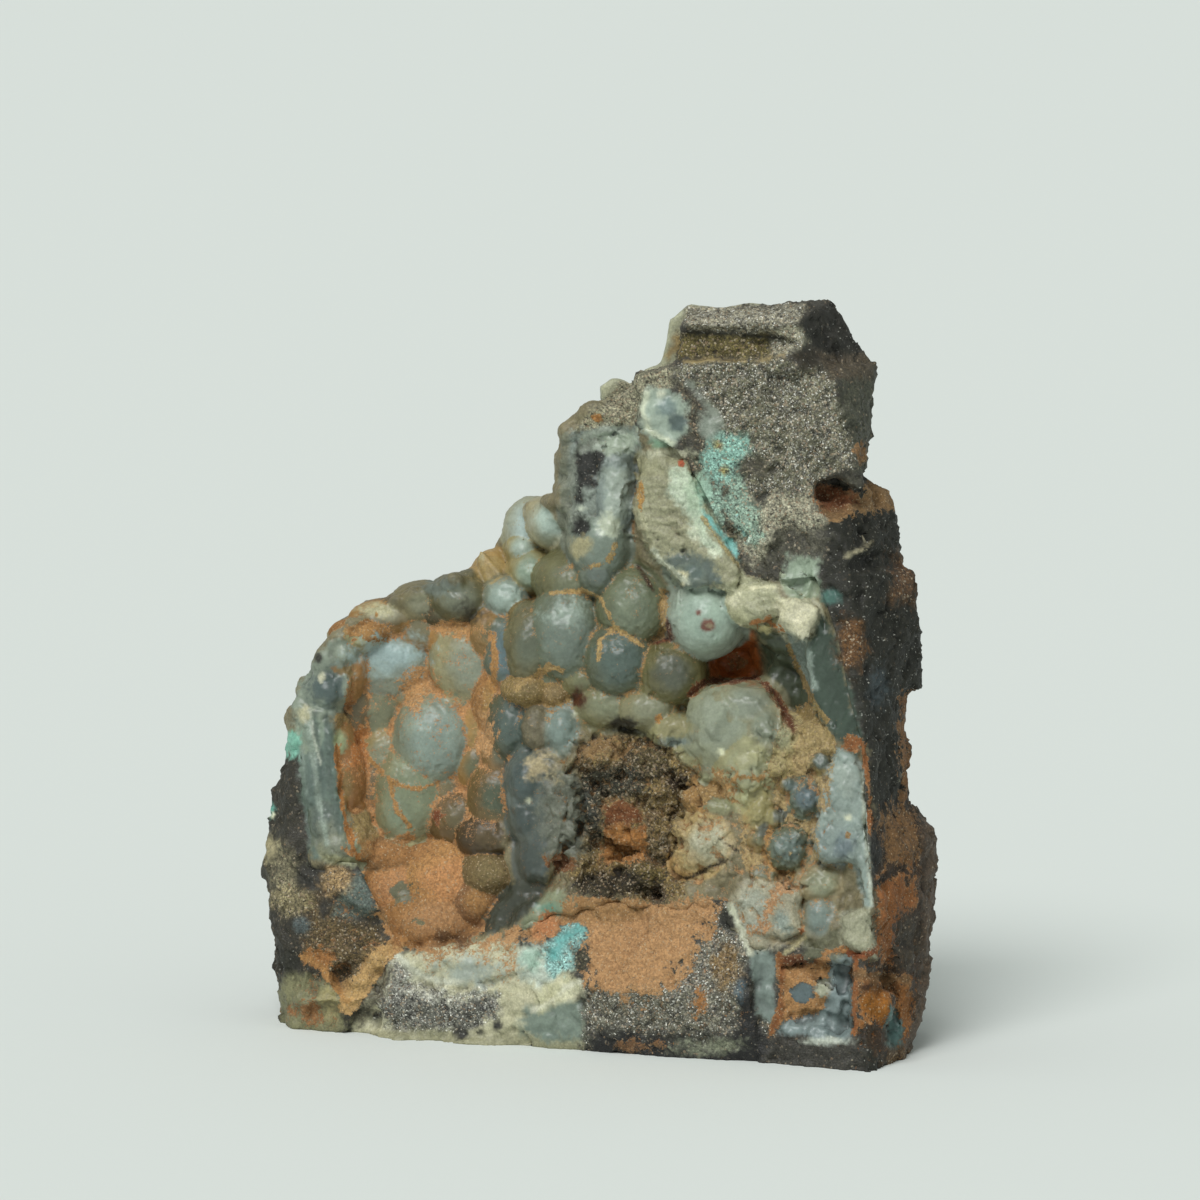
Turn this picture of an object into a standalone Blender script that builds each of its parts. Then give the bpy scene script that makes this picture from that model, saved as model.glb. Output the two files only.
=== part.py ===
"""Shattuckite on matrix: a hand-sized miniature of dark iron-rich rock with a
botryoidal chalcedony crust, and a crumbly turquoise seam of shattuckite.

The forms are laid out as they are seen from the front. Each is given by how far
across it is (u, to the right), how high (v, above the base) and how deep it lies,
in millimetres, and seen() carries it along the line of sight to its depth. The
front of the rock is a plane that leans back and turns away to the left; face()
gives its depth, and most forms are set back from it by a stated distance.
"""

import math

import bmesh
import bpy
from mathutils import Matrix, Vector, noise

# Driving dimensions, in millimetres and degrees.
MM = 0.001
VIEW_DISTANCE = 450.0
VIEW_RISE = 6.5
VIEW_LEAN = 1.2
VIEW_AIM = Vector((0.0, 0.0, 26.3))
VIEW_MIDDLE_UP = 28.2

ARRIS_ACROSS = 16.0
ARRIS_DEPTH = -11.0
FACE_TURN = 0.28
FACE_LEAN = 0.08

TOUCHING_GAP = 0.35
BED_SET_BACK = 1.8
CRUST_THICKNESS = 1.4
BED_STEP = 1.3
SHEET_STEP = 0.7
EDGE_MARGIN = 2.0
STEEPEST = 3.0
SLOPE_REACH = 0.1
FAR_FRONT = -30.0
FAR_BACK = 12.0
WALL_DEPTHS = (-26.0, 30.0)

ROCK_VOXEL = 0.4
ROCK_FACES = 4100
ROCK_ROUGHNESS = 0.26
ROCK_GRAIN = 2.6
CRUST_VOXEL = 0.36
CRUST_FACES = 3700
CRUST_ROUGHNESS = 0.07
CRUST_GRAIN = 1.6
SEAM_VOXEL = 0.3
SEAM_FACES = 460
SEAM_ROUGHNESS = 0.08
SEAM_GRAIN = 0.8
REAR_FACES = 420
FRACTAL = (0.8, 2.1, 3)
SHARP_ANGLE = 35.0
MERGE_DISTANCE = 0.0001

# Chunks of rock as the corners of a convex block: across, up, depth.
ROCK_BLOCKS = {
    "column": [
        (3, -1.5, -7.0), (16.0, -1.5, -11.6), (16.3, 14, -10.6), (15.6, 26, -9.0), (14.6, 33.2, -8.0),
        (5, 33, -5.0), (3, 15, -5.8), (18.2, 1, -3.5), (18.5, 18, -3.0), (18.2, 30.5, -2.5),
        (17.5, 34.6, -1.6), (16.3, 35.4, -0.6), (17.2, 2, 5.5), (17.8, 16, 7.5), (16.6, 33, 5.5),
        (5, -1.5, 10.5), (6, 15, 13.0), (6, 34, 10.0),
    ],
    "foot": [
        (16.4, -1, -11.2), (16.6, 13.5, -9.6), (18.5, 0.9, -5.5), (19.3, 3, -4.5), (19.8, 6.6, -3.0),
        (20.1, 10, -2.6), (20.2, 12.6, -2.6), (19.9, 14.4, -2.8), (19.0, 15.9, -3.0), (19.0, 3, 3.5),
        (19.2, 12, 4.5), (18.2, 15.6, 4.0), (10, 0, 0), (10, 14, 0),
    ],
    "shoulder": [
        (18.9, 30, -2.8), (19.0, 28.8, -3.5), (19.1, 25.8, -3.5), (19.4, 25, -3.0), (19.3, 22.8, -3.0),
        (15.9, 30, -8.2), (16.0, 22.8, -8.9), (18.4, 29, 4.5), (18.6, 23.2, 4.5), (10, 30, 0), (10, 22.8, 0),
    ],
    "left_block": [
        (-18.4, -1.5, -0.8), (-19.2, 10, -0.4), (-18.2, 20, 0.3), (-16.2, 24, 1.4), (4, -1.5, -6.4),
        (4, 25, -4.4), (-19.2, 3.2, 2.5), (-20.2, 13.2, 2.5), (-19.8, 16.4, 2.5), (-18.3, 21.0, 2.8),
        (-16.6, 24.6, 3.4), (-15.0, 26.2, 4.4), (-12.6, 27.4, 6.0), (-8.4, 28.6, 6.6), (4, 32, 4.0),
        (-17.0, 2, 8.5), (-17.4, 14, 9.5), (-13.5, 25, 10.0), (4, -1.5, 12.0), (4, 15, 13.4), (4, 31, 10.0),
    ],
    "upper_neck": [
        (-0.2, 29, -1.0), (-0.2, 39.0, -1.2), (2.2, 41.6, -3.8), (5.4, 30, -4.6), (5.4, 42, -4.6),
        (-0.6, 30, 5.0), (0.6, 39.0, 5.0), (5.4, 42, 6.0), (5.4, 30, 9.0),
    ],
    "cap": [
        (2.0, 41.8, -4.6), (5.2, 42.6, -5.0), (11.2, 42.8, -6.2), (14.2, 41.3, -6.8), (15.4, 36.4, -7.0),
        (12.6, 33.0, -7.4), (5, 32, -5.8), (3, 36, -5.0), (16.3, 42.4, -2.0), (16.0, 40.5, -2.0),
        (16.2, 38.4, -2.5), (16.0, 36.2, -2.5), (15.6, 42, 5.0), (15.4, 35, 5.0), (3, 41, 6.5),
        (3, 33, 7.5), (10, 43, 7.0),
    ],
    "cap_back": [
        (4.7, 42, -3.2), (5.0, 44.8, -3.4), (11.6, 44.8, -4.6), (11.7, 42.3, -5.9), (11.8, 44.9, -5.6),
        (14.0, 46.1, -2.6), (15.5, 43.5, -1.5), (16.3, 42.4, -1.6), (13.6, 46.0, 4.0), (15.4, 43, 4.0),
        (5.4, 45.4, 5.0), (5, 42, 6.5),
    ],
    "cap_lip": [
        (4.9, 44.6, -4.6), (5.3, 45.3, -3.8), (11.9, 44.7, -6.2), (12.0, 45.4, -5.0), (13.8, 46.1, -3.2),
        (5.4, 45.2, 3.0), (13.6, 45.8, 3.0), (5.1, 44.3, 1.0), (12, 44.4, 1.0),
    ],
    "front_face": [
        (-0.8, 10.2, -4.5), (3.2, 10.0, -5.4), (8.4, 10.2, -6.9), (9.0, 7.5, -8.8), (-1.0, 5.2, -6.9),
        (4.0, 4.6, -8.5), (9.2, 4.2, -9.7), (-1.0, 1.2, -6.6), (4.4, 0.4, -8.0), (9.6, -0.4, -9.2),
        (-1.0, 0, 0), (9.6, 0, 0), (9, 9, 0), (-0.8, 9, 0),
    ],
    "front_sill": [
        (-13.0, 6.8, -2.6), (-9.0, 7.6, -3.4), (-5.6, 7.6, -4.6), (-0.4, 9.4, -5.0), (-13.2, 1.4, -2.4),
        (-9.0, 1.2, -4.2), (-0.8, 1.0, -6.4), (-12.8, 3.6, -3.2), (-0.6, 5.6, -6.8), (-13, 1, 4), (0, 1, 4),
        (0, 7, 4), (-13, 6.6, 4),
    ],
    "corner": [
        (-18.6, 2.0, -0.8), (-19.1, 5.4, -0.6), (-18.2, 11.0, -1.2), (-14.8, 12.0, -1.2), (-13.4, 8.8, -1.8),
        (-14.8, 3.0, -2.6), (-16.2, 0.8, -1.8), (-18.4, 8, 3), (-18, 2.4, 3), (-13, 2, 3), (-13.6, 9, 3),
    ],
    "back_swell": [
        (-10, 4, 8), (-11, 14, 9), (-7, 22, 9), (2, 26, 9), (10, 22, 9), (12, 8, 9), (2, 2, 9),
        (-5, 9, 13.8), (1, 17, 14.6), (6, 10, 14.0), (-3, 18, 13.6), (7, 17, 13.6),
    ],
    "back_ridge": [
        (3, 26, 8), (13, 26, 8), (14, 34, 6), (5, 36, 6), (6, 28, 12.4), (11, 29, 11.8), (8, 34, 9.6),
    ],
}

# Rounded chunks added to the rock: across, up, depth, and the three half-sizes.
ROCK_KNOBS = {
    "back_knob_low": (-8.0, 8.0, 9.0, 6.0, 6.5, 4.2),
    "back_knob_side": (13.5, 12.0, 6.0, 4.2, 8.0, 3.6),
    "back_knob_top": (-4.0, 24.0, 8.4, 7.0, 5.0, 3.6),
}

# Hollows cut into the rock: the same six numbers.
ROCK_HOLLOWS = {
    "side_pocket": (17.6, 4.3, -8.4, 1.3, 3.0, 1.6),
    "back_pit": (-1.0, 6.0, 14.6, 3.2, 2.6, 1.8),
    "back_scoop": (12.0, 21.0, 12.6, 4.0, 5.0, 2.6),
    "rim_notch": (-14.8, 5.4, -2.6, 1.7, 1.2, 1.4),
    "band_recess": (8.2, 43.7, -5.6, 3.6, 0.8, 1.2),
}

# Flat-sided gaps cut into the rock: front depth, back depth and the outline.
ROCK_SLOTS = {
    "gap_under_cap": (-14.0, -2.4, [(12.9, 35.2), (14.0, 35.6), (17.4, 36.0), (17.6, 34.1), (13.0, 34.1)]),
    "corner_recess": (-14.0, -8.4, [(10.9, 6.6), (15.0, 6.5), (15.2, 2.6), (14.6, 1.9), (12, 2.1),
                                    (10.8, 3.6)]),
    "notch_right": (-14.0, 10.0, [(18.7, 22.6), (21, 22.6), (21, 16.9), (18.8, 16.9)]),
}

# The edge of the crust where it meets the rock, clockwise from its top.
CRUST_EDGE = [
    (0.6, 39.6), (1.2, 39.2), (2.6, 38.4), (4.6, 37.2), (6.0, 35.2), (8.2, 30.6), (8.6, 29.4), (10.8, 29.4),
    (12.9, 29.6), (13.5, 28.2), (14.3, 25.8), (15.0, 22.2), (15.7, 19.8), (15.9, 16.2), (16.1, 12.6),
    (16.4, 7.0), (15.0, 6.9), (12.0, 7.5), (9.0, 7.6), (7.6, 10.2), (3.0, 10.2), (0, 10.4), (-2.4, 10.0),
    (-6.0, 7.8), (-9.6, 7.4), (-12.0, 7.3), (-13.5, 10.2), (-14.6, 12.4), (-16.9, 12.6), (-17.6, 16.2),
    (-18.0, 19.4),
]

# Its skyline, where nothing of the rock stands in front or beside it, and a wider
# line that leaves the forms along the skyline free.
CRUST_SKYLINE = [
    (-18.1, 21.2), (-17.2, 23.6), (-15.2, 26.2), (-13.0, 27.4), (-10.6, 28.4), (-7.6, 29.4), (-5.4, 31.4),
    (-3.6, 33.6), (-2.0, 34.2), (-1.7, 38.2), (-0.6, 39.5),
]
CRUST_CLEARANCE = [
    (-20.4, 20.6), (-19.2, 25.2), (-16.0, 29.2), (-11.4, 31.8), (-8.8, 33.6), (-6.8, 36), (-4.0, 37),
    (-3.8, 41), (-1.8, 42.4), (0.4, 41.4),
]

# Bowls in the bed under the crust: across, up, half-width, half-height, depth.
BED_BOWLS = [
    (-10.3, 20.5, 5.7, 10.5, 7.2),
    (-5.0, 30.6, 4.2, 5.0, 6.6),
    (-9.6, 11.0, 5.8, 4.2, 4.2),
    (8.2, 24.4, 3.7, 2.8, 6.6),
    (11.6, 23.0, 3.2, 4.0, 3.6),
    (2.2, 24.6, 7.2, 8.2, 2.0),
    (1.0, 34.4, 4.2, 5.4, 1.6),
    (4.0, 14.2, 5.6, 4.6, 2.0),
    (11.8, 14.0, 4.4, 6.8, 1.0),
    (9.6, 28.0, 3.4, 1.6, 1.6),
    (-3.6, 15.0, 3.0, 5.0, 2.4),
]

# Rounded growths of the crust: across, up, set back, and the three half-sizes.
DOMES = {
    "cluster_main": (-1.8, 26.9, -0.3, 2.1, 3.0, 3.6),
    "cluster_top": (-2.2, 29.0, 0.5, 1.7, 1.5, 3.4),
    "cluster_upper_right": (1.9, 27.7, -0.4, 2.1, 2.1, 2.8),
    "cluster_low": (1.1, 24.7, -0.5, 2.5, 2.0, 2.8),
    "cluster_low_right": (4.1, 23.9, -0.5, 1.8, 1.8, 2.6),
    "cluster_tail": (5.5, 24.4, 0.8, 1.0, 1.2, 1.8),
    "spot_ball": (6.2, 27.4, -0.6, 2.4, 2.5, 2.6),
    "pale_lobe_left": (1.5, 22.0, 0.3, 2.2, 1.2, 2.0),
    "pale_lobe_right": (3.9, 21.3, 0.4, 1.6, 1.2, 2.0),
    "lobe_column": (0.2, 34.8, -0.8, 2.1, 5.2, 3.4),
    "lobe_foot": (0.1, 31.4, -1.0, 2.2, 2.9, 3.2),
    "lobe_outer": (-1.1, 35.6, 0.6, 1.0, 4.2, 3.0),
    "hollow_blue": (-13.5, 24.9, 4.2, 1.9, 1.5, 2.6),
    "hollow_drop": (-13.7, 21.9, 3.9, 1.6, 1.9, 3.0),
    "hollow_middle": (-9.6, 19.9, 4.6, 2.1, 2.4, 2.8),
    "hollow_great": (-12.0, 16.6, 3.2, 2.5, 3.1, 4.0),
    "hollow_pale": (-7.5, 24.9, 5.4, 1.6, 1.7, 2.4),
    "hollow_small": (-9.9, 23.8, 6.0, 0.8, 0.9, 1.6),
    "hollow_brown": (-9.4, 26.6, 5.8, 1.4, 1.1, 2.0),
    "hollow_low": (-8.2, 15.3, 4.8, 1.4, 1.3, 2.6),
    "hollow_shade": (-6.6, 16.2, 3.6, 1.7, 1.9, 3.4),
    "hollow_step": (-7.9, 21.9, 5.8, 1.0, 1.1, 1.8),
    "upper_blue": (-5.6, 28.2, 4.8, 1.3, 1.2, 2.4),
    "upper_pale": (-3.6, 30.6, 6.3, 1.3, 1.2, 2.0),
    "dark_tall": (-4.8, 25.0, 2.4, 1.5, 2.2, 4.0),
    "dark_lower": (-4.7, 20.6, 2.0, 1.7, 2.3, 4.0),
    "blue_side": (-2.1, 20.2, 0.7, 1.2, 1.7, 3.0),
    "dusty_saddle": (-2.6, 23.2, 1.4, 1.5, 1.1, 2.2),
    "basin_dome": (-11.0, 11.2, 3.0, 2.4, 2.2, 2.6),
    "basin_dome_right": (-8.2, 11.4, 3.4, 2.0, 2.0, 2.4),
    "basin_step": (-13.2, 9.8, 2.0, 1.6, 2.0, 2.4),
    "ridge_left": (-12.6, 27.0, 5.0, 1.7, 1.2, 2.6),
    "ridge_middle": (-10.3, 28.0, 5.2, 1.9, 1.3, 2.6),
    "ridge_right": (-7.8, 28.4, 5.2, 1.6, 1.4, 2.6),
    "far_lobe_left": (-6.1, 30.6, 6.6, 1.4, 1.3, 2.2),
    "far_lobe": (-4.6, 32.3, 7.0, 1.5, 1.6, 2.2),
    "far_lobe_right": (-2.9, 33.0, 6.6, 1.6, 1.5, 2.2),
    "middle_ridge": (-4.1, 16.6, -0.1, 1.5, 2.6, 3.4),
    "middle_ridge_low": (-3.8, 13.0, 0.1, 1.2, 2.0, 3.4),
    "lump_crown": (7.7, 20.0, -0.9, 2.5, 2.7, 2.6),
    "lump_upper": (8.9, 21.6, -0.1, 1.9, 1.5, 2.2),
    "lump_toe": (9.2, 16.0, 0.1, 1.3, 1.7, 1.8),
    "dusty_dome": (6.3, 13.6, -0.1, 1.8, 1.9, 2.0),
    "disc": (11.3, 13.3, -0.4, 1.3, 1.6, 1.6),
    "disc_upper": (12.4, 16.1, -0.2, 1.0, 1.8, 1.6),
    "disc_small": (10.8, 17.0, 0.1, 1.0, 0.8, 1.4),
    "patch_grey": (12.8, 10.0, -0.1, 1.8, 2.2, 1.8),
}

# Broken plates of the crust: front set back, back set back, how far the front
# edge is worn in, and the outline.
PLATES = {
    "plate": (-0.8, 3.0, 0.35, [
        (2.4, 35.4), (1.9, 33.6), (2.6, 31.8), (3.6, 30.4), (5.2, 29.0), (8.0, 28.8), (8.4, 30.0),
        (6.2, 34.2), (5.2, 36.6), (3.4, 37.0)]),
    "rim_head": (0.1, 5.0, 0.3, [
        (-18.0, 20.8), (-18.2, 22.4), (-16.6, 25.0), (-15.2, 24.8), (-14.9, 23.6), (-15.1, 22.4),
        (-15.9, 21.9), (-16.4, 21.0), (-15.7, 20.0), (-16.2, 19.4)]),
    "rim_band": (-0.2, 6.0, 0.3, [
        (-18.1, 22.0), (-16.4, 21.7), (-15.9, 19.8), (-15.6, 16.2), (-14.9, 13.2), (-14.6, 12.6),
        (-16.8, 12.8), (-17.5, 16.2), (-18.0, 19.6)]),
    "shell_edge": (0.0, 5.0, 0.5, [
        (-3.6, 19.3), (-4.8, 18.5), (-5.5, 17.1), (-5.6, 15.9), (-5.3, 14.7), (-4.8, 13.7), (-4.7, 12.0),
        (-4.5, 11.4), (-3.3, 11.1), (-2.4, 12.6), (-1.5, 14.4), (-1.3, 16.8), (-1.8, 18.3), (-2.5, 18.9)]),
    "leaf_edge": (1.0, 5.0, 0.4, [
        (-7.0, 8.2), (-6.3, 9.9), (-4.8, 11.3), (-3.3, 11.4), (-2.4, 10.4), (-3.3, 9.5), (-5.1, 8.5)]),
    "lump": (-0.3, 4.0, 0.9, [
        (5.4, 22.2), (6.2, 22.8), (7.8, 23.2), (9.9, 22.8), (10.8, 21.6), (11.2, 20.1), (10.8, 18.9),
        (10.2, 18.3), (9.9, 16.8), (8.7, 16.0), (7.5, 16.8), (6.3, 18.3), (5.3, 18.9), (5.0, 20.1)]),
    "lip": (-0.4, 2.6, 0.4, [
        (7.8, 28.9), (9.3, 29.0), (11.1, 29.0), (11.0, 27.5), (9.9, 26.9), (8.4, 26.7), (7.5, 27.1),
        (7.2, 28.2)]),
    "tooth": (-0.9, 2.6, 0.3, [
        (10.6, 28.2), (12.0, 28.4), (13.1, 27.6), (13.1, 26.9), (12.3, 26.1), (12.2, 25.8), (11.6, 26.0),
        (11.3, 26.3), (10.8, 26.9)]),
    "cut_band": (0.1, 4.0, 0.3, [
        (13.2, 27.2), (14.1, 25.8), (14.7, 22.8), (15.6, 19.9), (15.4, 18.6), (14.1, 19.8), (13.2, 21.0),
        (12.7, 22.8), (12.3, 25.2)]),
    "dusty_sill": (0.3, 3.0, 0.5, [
        (11.6, 20.5), (12.4, 20.9), (13.5, 20.9), (14.3, 20.1), (13.8, 18.9), (12, 18.6), (11.0, 19.0)]),
    "blue_slab": (-0.6, 2.6, 0.3, [
        (14.4, 19.3), (15.5, 18.5), (15.8, 16.2), (16.0, 13.2), (16.2, 10.2), (16.3, 7.2), (15.6, 7.1),
        (14.9, 7.9), (14.5, 10.2), (14.1, 12.0), (13.7, 13.2), (13.3, 15.0), (13.6, 16.8), (13.9, 18.3)]),
    "pale_strip": (-0.3, 2.6, 0.4, [
        (8.0, 10.2), (9.6, 11.6), (12, 10.8), (12, 8.4), (10.8, 7.8), (9.9, 7.8), (9.0, 8.0)]),
}

# The turquoise seam: the lens that it fills, and the crumbs that stand out of it.
SEAM_OUTLINE = [
    (6.5, 37.6), (7.2, 38.1), (8.6, 38.1), (9.1, 37.3), (8.4, 35.8), (8.6, 34.4), (9.3, 33.0), (9.5, 32.0),
    (8.9, 31.5), (8.1, 32.4), (7.4, 33.8), (6.7, 35.2), (6.2, 36.4),
]
SEAM_SET_BACK = -0.3
SEAM_DEPTH = 1.7
SEAM_WORN = 0.15
POCKET_FRONT = -8.0
SEAM_CRUMBS = {
    "crumb_top": (7.6, 37.3, -0.5, 1.0, 0.7, 0.8),
    "crumb_top_right": (8.5, 37.4, -0.4, 0.6, 0.6, 0.7),
    "crumb_upper": (7.1, 36.2, -0.5, 0.7, 0.7, 0.7),
    "crumb_middle": (7.9, 35.2, -0.5, 0.7, 0.8, 0.8),
    "crumb_lower": (8.2, 33.9, -0.4, 0.6, 0.8, 0.7),
    "crumb_foot": (8.8, 32.6, -0.4, 0.6, 0.7, 0.7),
}

# The crust on the back of the cap, whose pale edge shows past its top and side.
REAR_OUTLINE = [
    (1.6, 39.2), (0.1, 40.2), (0.0, 41.0), (0.8, 41.5), (2.2, 41.0), (3.6, 42.2), (4.0, 43.6), (4.2, 45.0),
    (5.4, 45.9), (7.2, 45.7), (9.0, 46.0), (10.4, 45.8), (12.4, 46.1), (13.6, 45.8), (14.6, 43.6),
    (14.4, 39.0), (9.0, 37.4), (3.4, 38.0),
]
REAR_DEPTHS = (4.3, 5.9)
REAR_CLEARANCE = 2.0
REAR_DOMES = {
    "rear_knob_left": (1.0, 40.5, 6.6, 1.0, 1.0, 1.2),
    "rear_left": (3.6, 40.6, 6.8, 2.2, 1.9, 1.6),
    "rear_corner": (5.7, 44.0, 6.7, 1.6, 1.8, 1.5),
    "rear_top": (9.0, 43.9, 6.9, 2.4, 2.0, 1.7),
    "rear_top_right": (12.4, 44.2, 6.7, 2.0, 1.9, 1.5),
    "rear_middle": (7.4, 40.4, 7.2, 2.5, 2.2, 1.9),
    "rear_right": (11.8, 40.6, 7.0, 2.4, 2.2, 1.8),
}


def seen(across, up, depth):
    """The point at this depth on the line of sight through (across, up), in millimetres."""
    rise = math.radians(VIEW_RISE)
    lean = math.radians(VIEW_LEAN)
    level = Vector((1.0, 0.0, 0.0))
    upward = Vector((0.0, math.sin(rise), math.cos(rise)))
    right = level * math.cos(lean) + upward * math.sin(lean)
    top = upward * math.cos(lean) - level * math.sin(lean)
    eye = VIEW_AIM + Vector((0.0, -math.cos(rise), math.sin(rise))) * VIEW_DISTANCE
    through = VIEW_AIM + right * across + top * (up - VIEW_MIDDLE_UP)
    share = (depth - eye.y) / (through.y - eye.y)
    return eye + (through - eye) * share


def face(across, up):
    """Depth of the front plane of the rock."""
    return ARRIS_DEPTH + FACE_TURN * (ARRIS_ACROSS - across) + FACE_LEAN * up


def set_back(across, up, distance):
    return seen(across, up, face(across, up) + distance)


def bed(across, up):
    """How far the bed under the crust is set back: shallow, with steep-sided bowls."""
    deepest = 0.0
    for centre_u, centre_v, half_width, half_height, depth in BED_BOWLS:
        reach = ((across - centre_u) / half_width) ** 2 + ((up - centre_v) / half_height) ** 2
        if reach < 1.0:
            deepest = max(deepest, depth * (1.0 - reach * reach))
    return BED_SET_BACK + deepest


def add_block(bm, corners):
    """Add the convex block that has these corners."""
    verts = [bm.verts.new(seen(*corner)) for corner in corners]
    hull = bmesh.ops.convex_hull(bm, input=verts)
    inner = [element for element in hull["geom_interior"] if isinstance(element, bmesh.types.BMVert)]
    unused = [element for element in hull["geom_unused"] if isinstance(element, bmesh.types.BMVert)]
    bmesh.ops.delete(bm, geom=list(set(inner + unused)), context="VERTS")


def add_ball(bm, centre, half_sizes, fineness=3):
    """Add an egg-shaped ball."""
    shape = Matrix.Translation(centre) @ Matrix.Diagonal(Vector(half_sizes).to_4d())
    bmesh.ops.create_icosphere(bm, subdivisions=fineness, radius=1.0, matrix=shape)


def add_dome(bm, across, up, crown, half_width, half_height, half_depth):
    """Add a ball whose nearest point is set back by crown."""
    centre = set_back(across, up, crown + half_depth)
    add_ball(bm, centre, (half_width, half_depth, half_height))


def inset(outline, distance):
    """Move an outline's points inwards, along the middle of each corner."""
    turn = sum(a[0] * b[1] - b[0] * a[1] for a, b in zip(outline, outline[1:] + outline[:1]))
    side = 1.0 if turn > 0 else -1.0
    moved = []
    for before, point, after in zip(outline[-1:] + outline[:-1], outline, outline[1:] + outline[:1]):
        into = Vector((point[0] - before[0], point[1] - before[1])).normalized()
        out = Vector((after[0] - point[0], after[1] - point[1])).normalized()
        normal = (Vector((-into.y, into.x)) + Vector((-out.y, out.x))).normalized() * side
        moved.append((point[0] + normal.x * distance, point[1] + normal.y * distance))
    return moved


def add_loft(bm, rings):
    """Join closed rings of points of equal length into one solid."""
    loops = [[bm.verts.new(point) for point in ring] for ring in rings]
    for near, far in zip(loops, loops[1:]):
        for index, vert in enumerate(near):
            after = (index + 1) % len(near)
            bm.faces.new((vert, near[after], far[after], far[index]))
    bm.faces.new(loops[0][::-1])
    bm.faces.new(loops[-1])


def add_plate(bm, front, back, worn, outline):
    """Add a broken plate: its front edge is worn in, and its sides run back."""
    front_ring = [set_back(u, v, front) for u, v in inset(outline, worn)]
    edge_ring = [set_back(u, v, front + worn) for u, v in outline]
    back_ring = [set_back(u, v, back) for u, v in outline]
    add_loft(bm, [front_ring, edge_ring, back_ring])


def add_slot(bm, front, back, outline):
    """Add a straight-sided cutter between two depths."""
    add_loft(bm, [[seen(u, v, depth) for u, v in outline] for depth in (front, back)])


def grid_range(low, high, step):
    count = math.ceil((high - low) / step)
    return [low + (high - low) * index / count for index in range(count + 1)]


def add_bed_block(bm, surface, far, step):
    """Add the block between a surface over the crust's outline and a flat far side."""
    across = [point[0] for point in CRUST_EDGE + CRUST_CLEARANCE]
    up = [point[1] for point in CRUST_EDGE + CRUST_CLEARANCE]
    columns = grid_range(min(across) - EDGE_MARGIN, max(across) + EDGE_MARGIN, step)
    rows = grid_range(min(up) - EDGE_MARGIN, max(up) + EDGE_MARGIN, step)
    near = [[bm.verts.new(surface(u, v)) for u in columns] for v in rows]
    away = [[bm.verts.new(seen(u, v, far)) for u in columns] for v in rows]
    for row in range(len(rows) - 1):
        for column in range(len(columns) - 1):
            for sheet in (near, away):
                corner = sheet[row][column]
                opposite = sheet[row + 1][column + 1]
                bm.faces.new((corner, sheet[row][column + 1], opposite))
                bm.faces.new((corner, opposite, sheet[row + 1][column]))
    border = [(0, column) for column in range(len(columns))]
    border += [(row, len(columns) - 1) for row in range(1, len(rows))]
    border += [(len(rows) - 1, column) for column in range(len(columns) - 2, -1, -1)]
    border += [(row, 0) for row in range(len(rows) - 2, 0, -1)]
    for here, there in zip(border, border[1:] + border[:1]):
        bm.faces.new((near[here[0]][here[1]], near[there[0]][there[1]],
                      away[there[0]][there[1]], away[here[0]][here[1]]))


def bed_surface(lift):
    """The bed's surface, brought forward by lift, and by more where it is steep."""
    def surface(across, up):
        reach = SLOPE_REACH
        rise_u = (bed(across + reach, up) - bed(across - reach, up)) / (2 * reach)
        rise_v = (bed(across, up + reach) - bed(across, up - reach)) / (2 * reach)
        steepness = min(STEEPEST, math.sqrt(1.0 + rise_u ** 2 + rise_v ** 2))
        return set_back(across, up, bed(across, up) - lift * steepness)
    return surface


def make_object(name, bm):
    bmesh.ops.recalc_face_normals(bm, faces=bm.faces)
    mesh = bpy.data.meshes.new(name)
    bm.to_mesh(mesh)
    bm.free()
    item = bpy.data.objects.new(name, mesh)
    bpy.context.scene.collection.objects.link(item)
    return item


def drop(item):
    mesh = item.data
    bpy.data.objects.remove(item)
    bpy.data.meshes.remove(mesh)


def apply_modifiers(item):
    """Keep the object's evaluated mesh as its own."""
    graph = bpy.context.evaluated_depsgraph_get()
    mesh = bpy.data.meshes.new_from_object(item.evaluated_get(graph))
    old = item.data
    item.modifiers.clear()
    item.data = mesh
    bpy.data.meshes.remove(old)


def fuse(item, voxel):
    """Fuse overlapping solids into one skin."""
    remesh = item.modifiers.new("Fuse", "REMESH")
    remesh.mode = "VOXEL"
    remesh.voxel_size = voxel
    apply_modifiers(item)


def thin_out(item, faces):
    """Thin the mesh to about this many triangles."""
    item.data.calc_loop_triangles()
    decimate = item.modifiers.new("Thin", "DECIMATE")
    decimate.ratio = min(1.0, faces / len(item.data.loop_triangles))
    decimate.use_collapse_triangulate = True
    apply_modifiers(item)


def cut(item, cutter, operation="DIFFERENCE"):
    boolean = item.modifiers.new("Cut", "BOOLEAN")
    boolean.operation = operation
    boolean.solver = "EXACT"
    boolean.object = cutter
    apply_modifiers(item)


def roughen(item, depth, grain):
    """Push the surface in and out by a fixed noise of the given grain."""
    normals = [vert.normal.copy() for vert in item.data.vertices]
    for vert, normal in zip(item.data.vertices, normals):
        vert.co += normal * noise.fractal(vert.co / grain, *FRACTAL) * depth


def cut_base(item):
    """Cut the stone flat at the height of its base."""
    bm = bmesh.new()
    bm.from_mesh(item.data)
    plane = bmesh.ops.bisect_plane(bm, geom=bm.verts[:] + bm.edges[:] + bm.faces[:], dist=MERGE_DISTANCE,
                                   plane_co=(0, 0, 0), plane_no=(0, 0, -1), clear_outer=True)
    edges = [element for element in plane["geom_cut"] if isinstance(element, bmesh.types.BMEdge)]
    bmesh.ops.contextual_create(bm, geom=edges)
    bmesh.ops.triangulate(bm, faces=bm.faces)
    bm.to_mesh(item.data)
    bm.free()


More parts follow.
